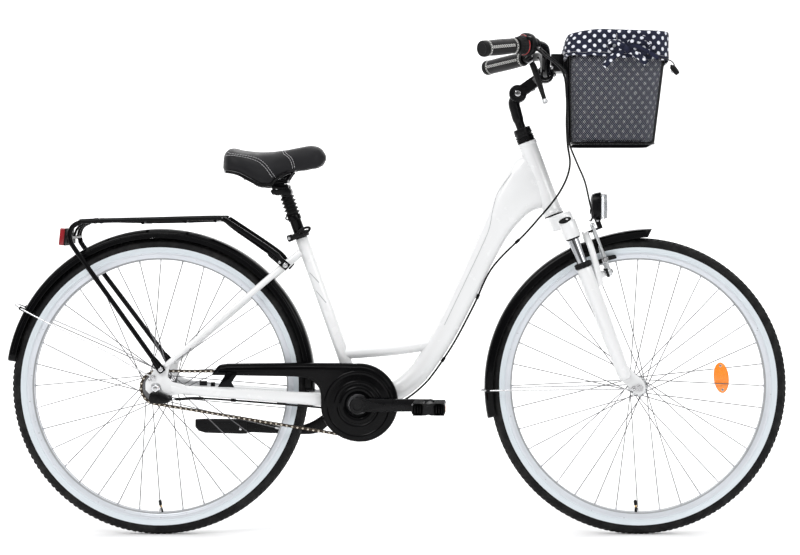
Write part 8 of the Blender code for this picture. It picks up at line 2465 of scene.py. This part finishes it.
# draw cord round the cuff's front corner to the toggle
cordp = smooth_path([V(X(0.5340), YB + 0.0015, 1.1300), V(X(0.5560), YB + 0.0010, 1.1275), V(X(0.5850), YB + 0.0025, 1.1220), V(X(0.6080), -0.1700, 1.1165),
                     V(X(0.6240), -0.1560, 1.1140), V(X(0.6340), -0.1500, 1.1110), V(X(0.6400), -0.1500, 1.1050), V(X(0.6420), -0.1500, 1.0990)], per=8)
items = []
tc, td = V(X(0.6425), -0.1500, 1.0900), V(0.62, 0, -0.78).normalized()
tn = YY.cross(td)
rows = []
for f, a, b in ((-0.0120, 0.0045, 0.0050), (-0.0105, 0.0060, 0.0066), (-0.0040, 0.0068, 0.0074), (0.0030, 0.0066, 0.0072), (0.0095, 0.0056, 0.0062), (0.0120, 0.0040, 0.0044)):
    rows.append([tc + td * f + YY * (b * u) + tn * (a * v) for u, v in soft_box(1, 1, 0.42, 6)])
items.append((loft(rows), "satin"))
items.append((rod(tc - td * 0.0150, tc - td * 0.0112, 0.0030, seg=24), "satin"))
items.append((rod(tc + tn * 0.0050, tc + tn * 0.0092, 0.0034, seg=24), "alloy"))
toggle = put("draw_cord_toggle", items, "steering", angle=50)
draw = put("draw_cord", [(sweep(cordp, round_section(0.0013, 12)), "cable")], "steering", angle=50)

# ---------------------------------------------------------------------- cables
def under(i, extra, y):
    """Point just below the main tube's lower edge at its station i."""
    x0, z0, h, _ = MAIN[i]
    a, b = MAIN[i - 1], MAIN[i + 1]
    t = Vector((b[0] - a[0], b[1] - a[1])).normalized()
    nrm = Vector((-t.y, t.x))
    if nrm.y > 0:
        nrm = -nrm
    return V(X(x0 + nrm.x * (h + extra)), y, z0 + nrm.y * (h + extra))


gear_pts = [gp + fwd_g * 0.0275, gp + fwd_g * 0.0480 + V(0, 0, -0.004), V(X(0.3830), -0.1820, 1.0850),
            V(X(0.3930), -0.1740, 1.0250), V(X(0.3930), -0.1640, 0.9650), V(X(0.3960), -0.1450, 0.9180),
            V(X(0.4020), -0.1180, 0.8800), V(X(0.3970), -0.0900, 0.8480), V(X(0.3820), -0.0640, 0.8150),
            V(X(0.3600), -0.0440, 0.7830), V(X(0.3300), -0.0320, 0.7480), V(X(0.2980), -0.0220, 0.7120)]
gear_pts += [under(5, 0.0040, -0.0100)] + [under(i, 0.0040, -0.0060) for i in (6, 7, 8, 9, 10)]
gear_pts += [V(X(-0.0440), -0.0080, 0.2950), V(X(-0.0935), -0.0140, 0.2850), V(X(-0.1400), -0.0270, 0.2960),
             V(X(-0.1900), -0.0360, 0.3030), V(X(-0.2600), -0.0440, 0.3100), V(X(-0.3870), -0.0550, 0.3212),
             V(X(-0.4700), -0.0640, 0.3270), V(X(-0.5050), -0.0770, 0.3262), V(X(-0.5305), -0.0820, 0.3260)]
arm_top = steer(0.0455, 0.0765)
brake_pts = [cp + fwd_c * 0.0180, cp + fwd_c * 0.0400, V(X(0.3910), -0.1620, 1.0850), V(X(0.3940), -0.1560, 1.0250),
             V(X(0.3940), -0.1500, 0.9700), V(X(0.4010), -0.1340, 0.9200), V(X(0.4180), -0.1120, 0.8780),
             V(X(0.4370), -0.0920, 0.8350), V(X(0.4480), -0.0800, 0.7900), V(X(0.4560), -0.0720, 0.7560),
             arm_top + V(0, -0.0560, 0.0020), arm_top + V(0, -0.0300, 0.0), arm_top + V(0, 0.0, 0.0),
             arm_top + V(0, 0.0480, 0.0)]


gear_path = smooth_path(gear_pts, step=0.006)
brake_path = smooth_path(brake_pts, step=0.006)


def clip(path, at, r, size=0.0075, mt="black", lift=0.0):
    """Small clamp round a cable where its path comes nearest to a point."""
    k = min(range(1, len(path) - 1), key=lambda i: (path[i] - at).length)
    t = (path[k + 1] - path[k - 1]).normalized()
    p = path[k]
    return (sweep([p - t * size, p - t * (size * 0.86), p + t * (size * 0.86), p + t * size],
                  lambda f: round_section((r + 0.0014) * (0.86 if f in (0.0, 1.0) else 1.0), 20)), mt)


gear = put("gear_control_cable", [(sweep(gear_path, round_section(0.0024, 16)), "cable")], None, "gear_cable", angle=40)
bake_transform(gear)
items = []
for x, z in ((0.268, 0.705), (0.183, 0.565), (0.099, 0.415), (-0.385, 0.3212)):
    items.append(clip(gear_path, V(X(x), -0.006 if x > -0.2 else -0.055, z), 0.0024, 0.0060))
items.append((tube(gear_path[-14:-2], 0.0034, 18), "satin"))
gear_clips = put("gear_cable_clips", items, "frame", angle=40)
gear_end = put("gear_cable_ferrule", [(tube(gear_path[:5], 0.0033, 20), "satin")], "steering", angle=40)

brake = put("brake_control_cable", [(sweep(brake_path, round_section(0.0022, 16)), "cable")], "steering", "brake_cable", angle=40)
brake_end = put("brake_cable_ferrule", [(tube(brake_path[:5], 0.0031, 20), "satin")], "steering", angle=40)


# ---------------------------------------------------------------------- stage
fb = bmesh.new()
nx, ny = 56, 50
grid = []
for i in range(nx + 1):
    row = []
    for j in range(ny + 1):
        x, y = -14.0 + 28.0 * i / nx, -12.0 + 20.0 * j / ny
        rise = max(0.0, y - 3.2)
        z = 0.55 * rise * rise if rise < 1.2 else 0.792 + (rise - 1.2) * 1.9
        row.append(fb.verts.new((x, y, z)))
    grid.append(row)
for i in range(nx):
    for j in range(ny):
        fb.faces.new((grid[i][j], grid[i + 1][j], grid[i + 1][j + 1], grid[i][j + 1]))
fm = bpy.data.meshes.new("floor")
fb.to_mesh(fm)
fb.free()
fm.materials.append(M["floor"])
fm.shade_smooth()
floor = bpy.data.objects.new("floor", fm)
SCN.collection.objects.link(floor)

# every CAD node that still shows gets a finish of its kind
KIND = {"frame_paint": "paint", "black_paint": "black", "black_gloss": "black", "black_matt": "matt", "rubber": "rubber",
        "steel": "steel", "alloy": "alloy", "chrome": "chrome", "rim_alloy": "rim", "leather": "leather",
        "chain_bronze": "bronze", "reflector_orange": "orange", "reflector_red": "red", "lamp_lens": "lens",
        "basket_cloth": "navy", "cable_sheath": "cable"}
for part in frame["record"]["subparts"]:
    ob = NODES[part["node"]]
    if not ob.hide_render:
        for s in ob.material_slots:
            s.material = M[KIND[part["material_slot"]]]

bpy.context.view_layer.update()
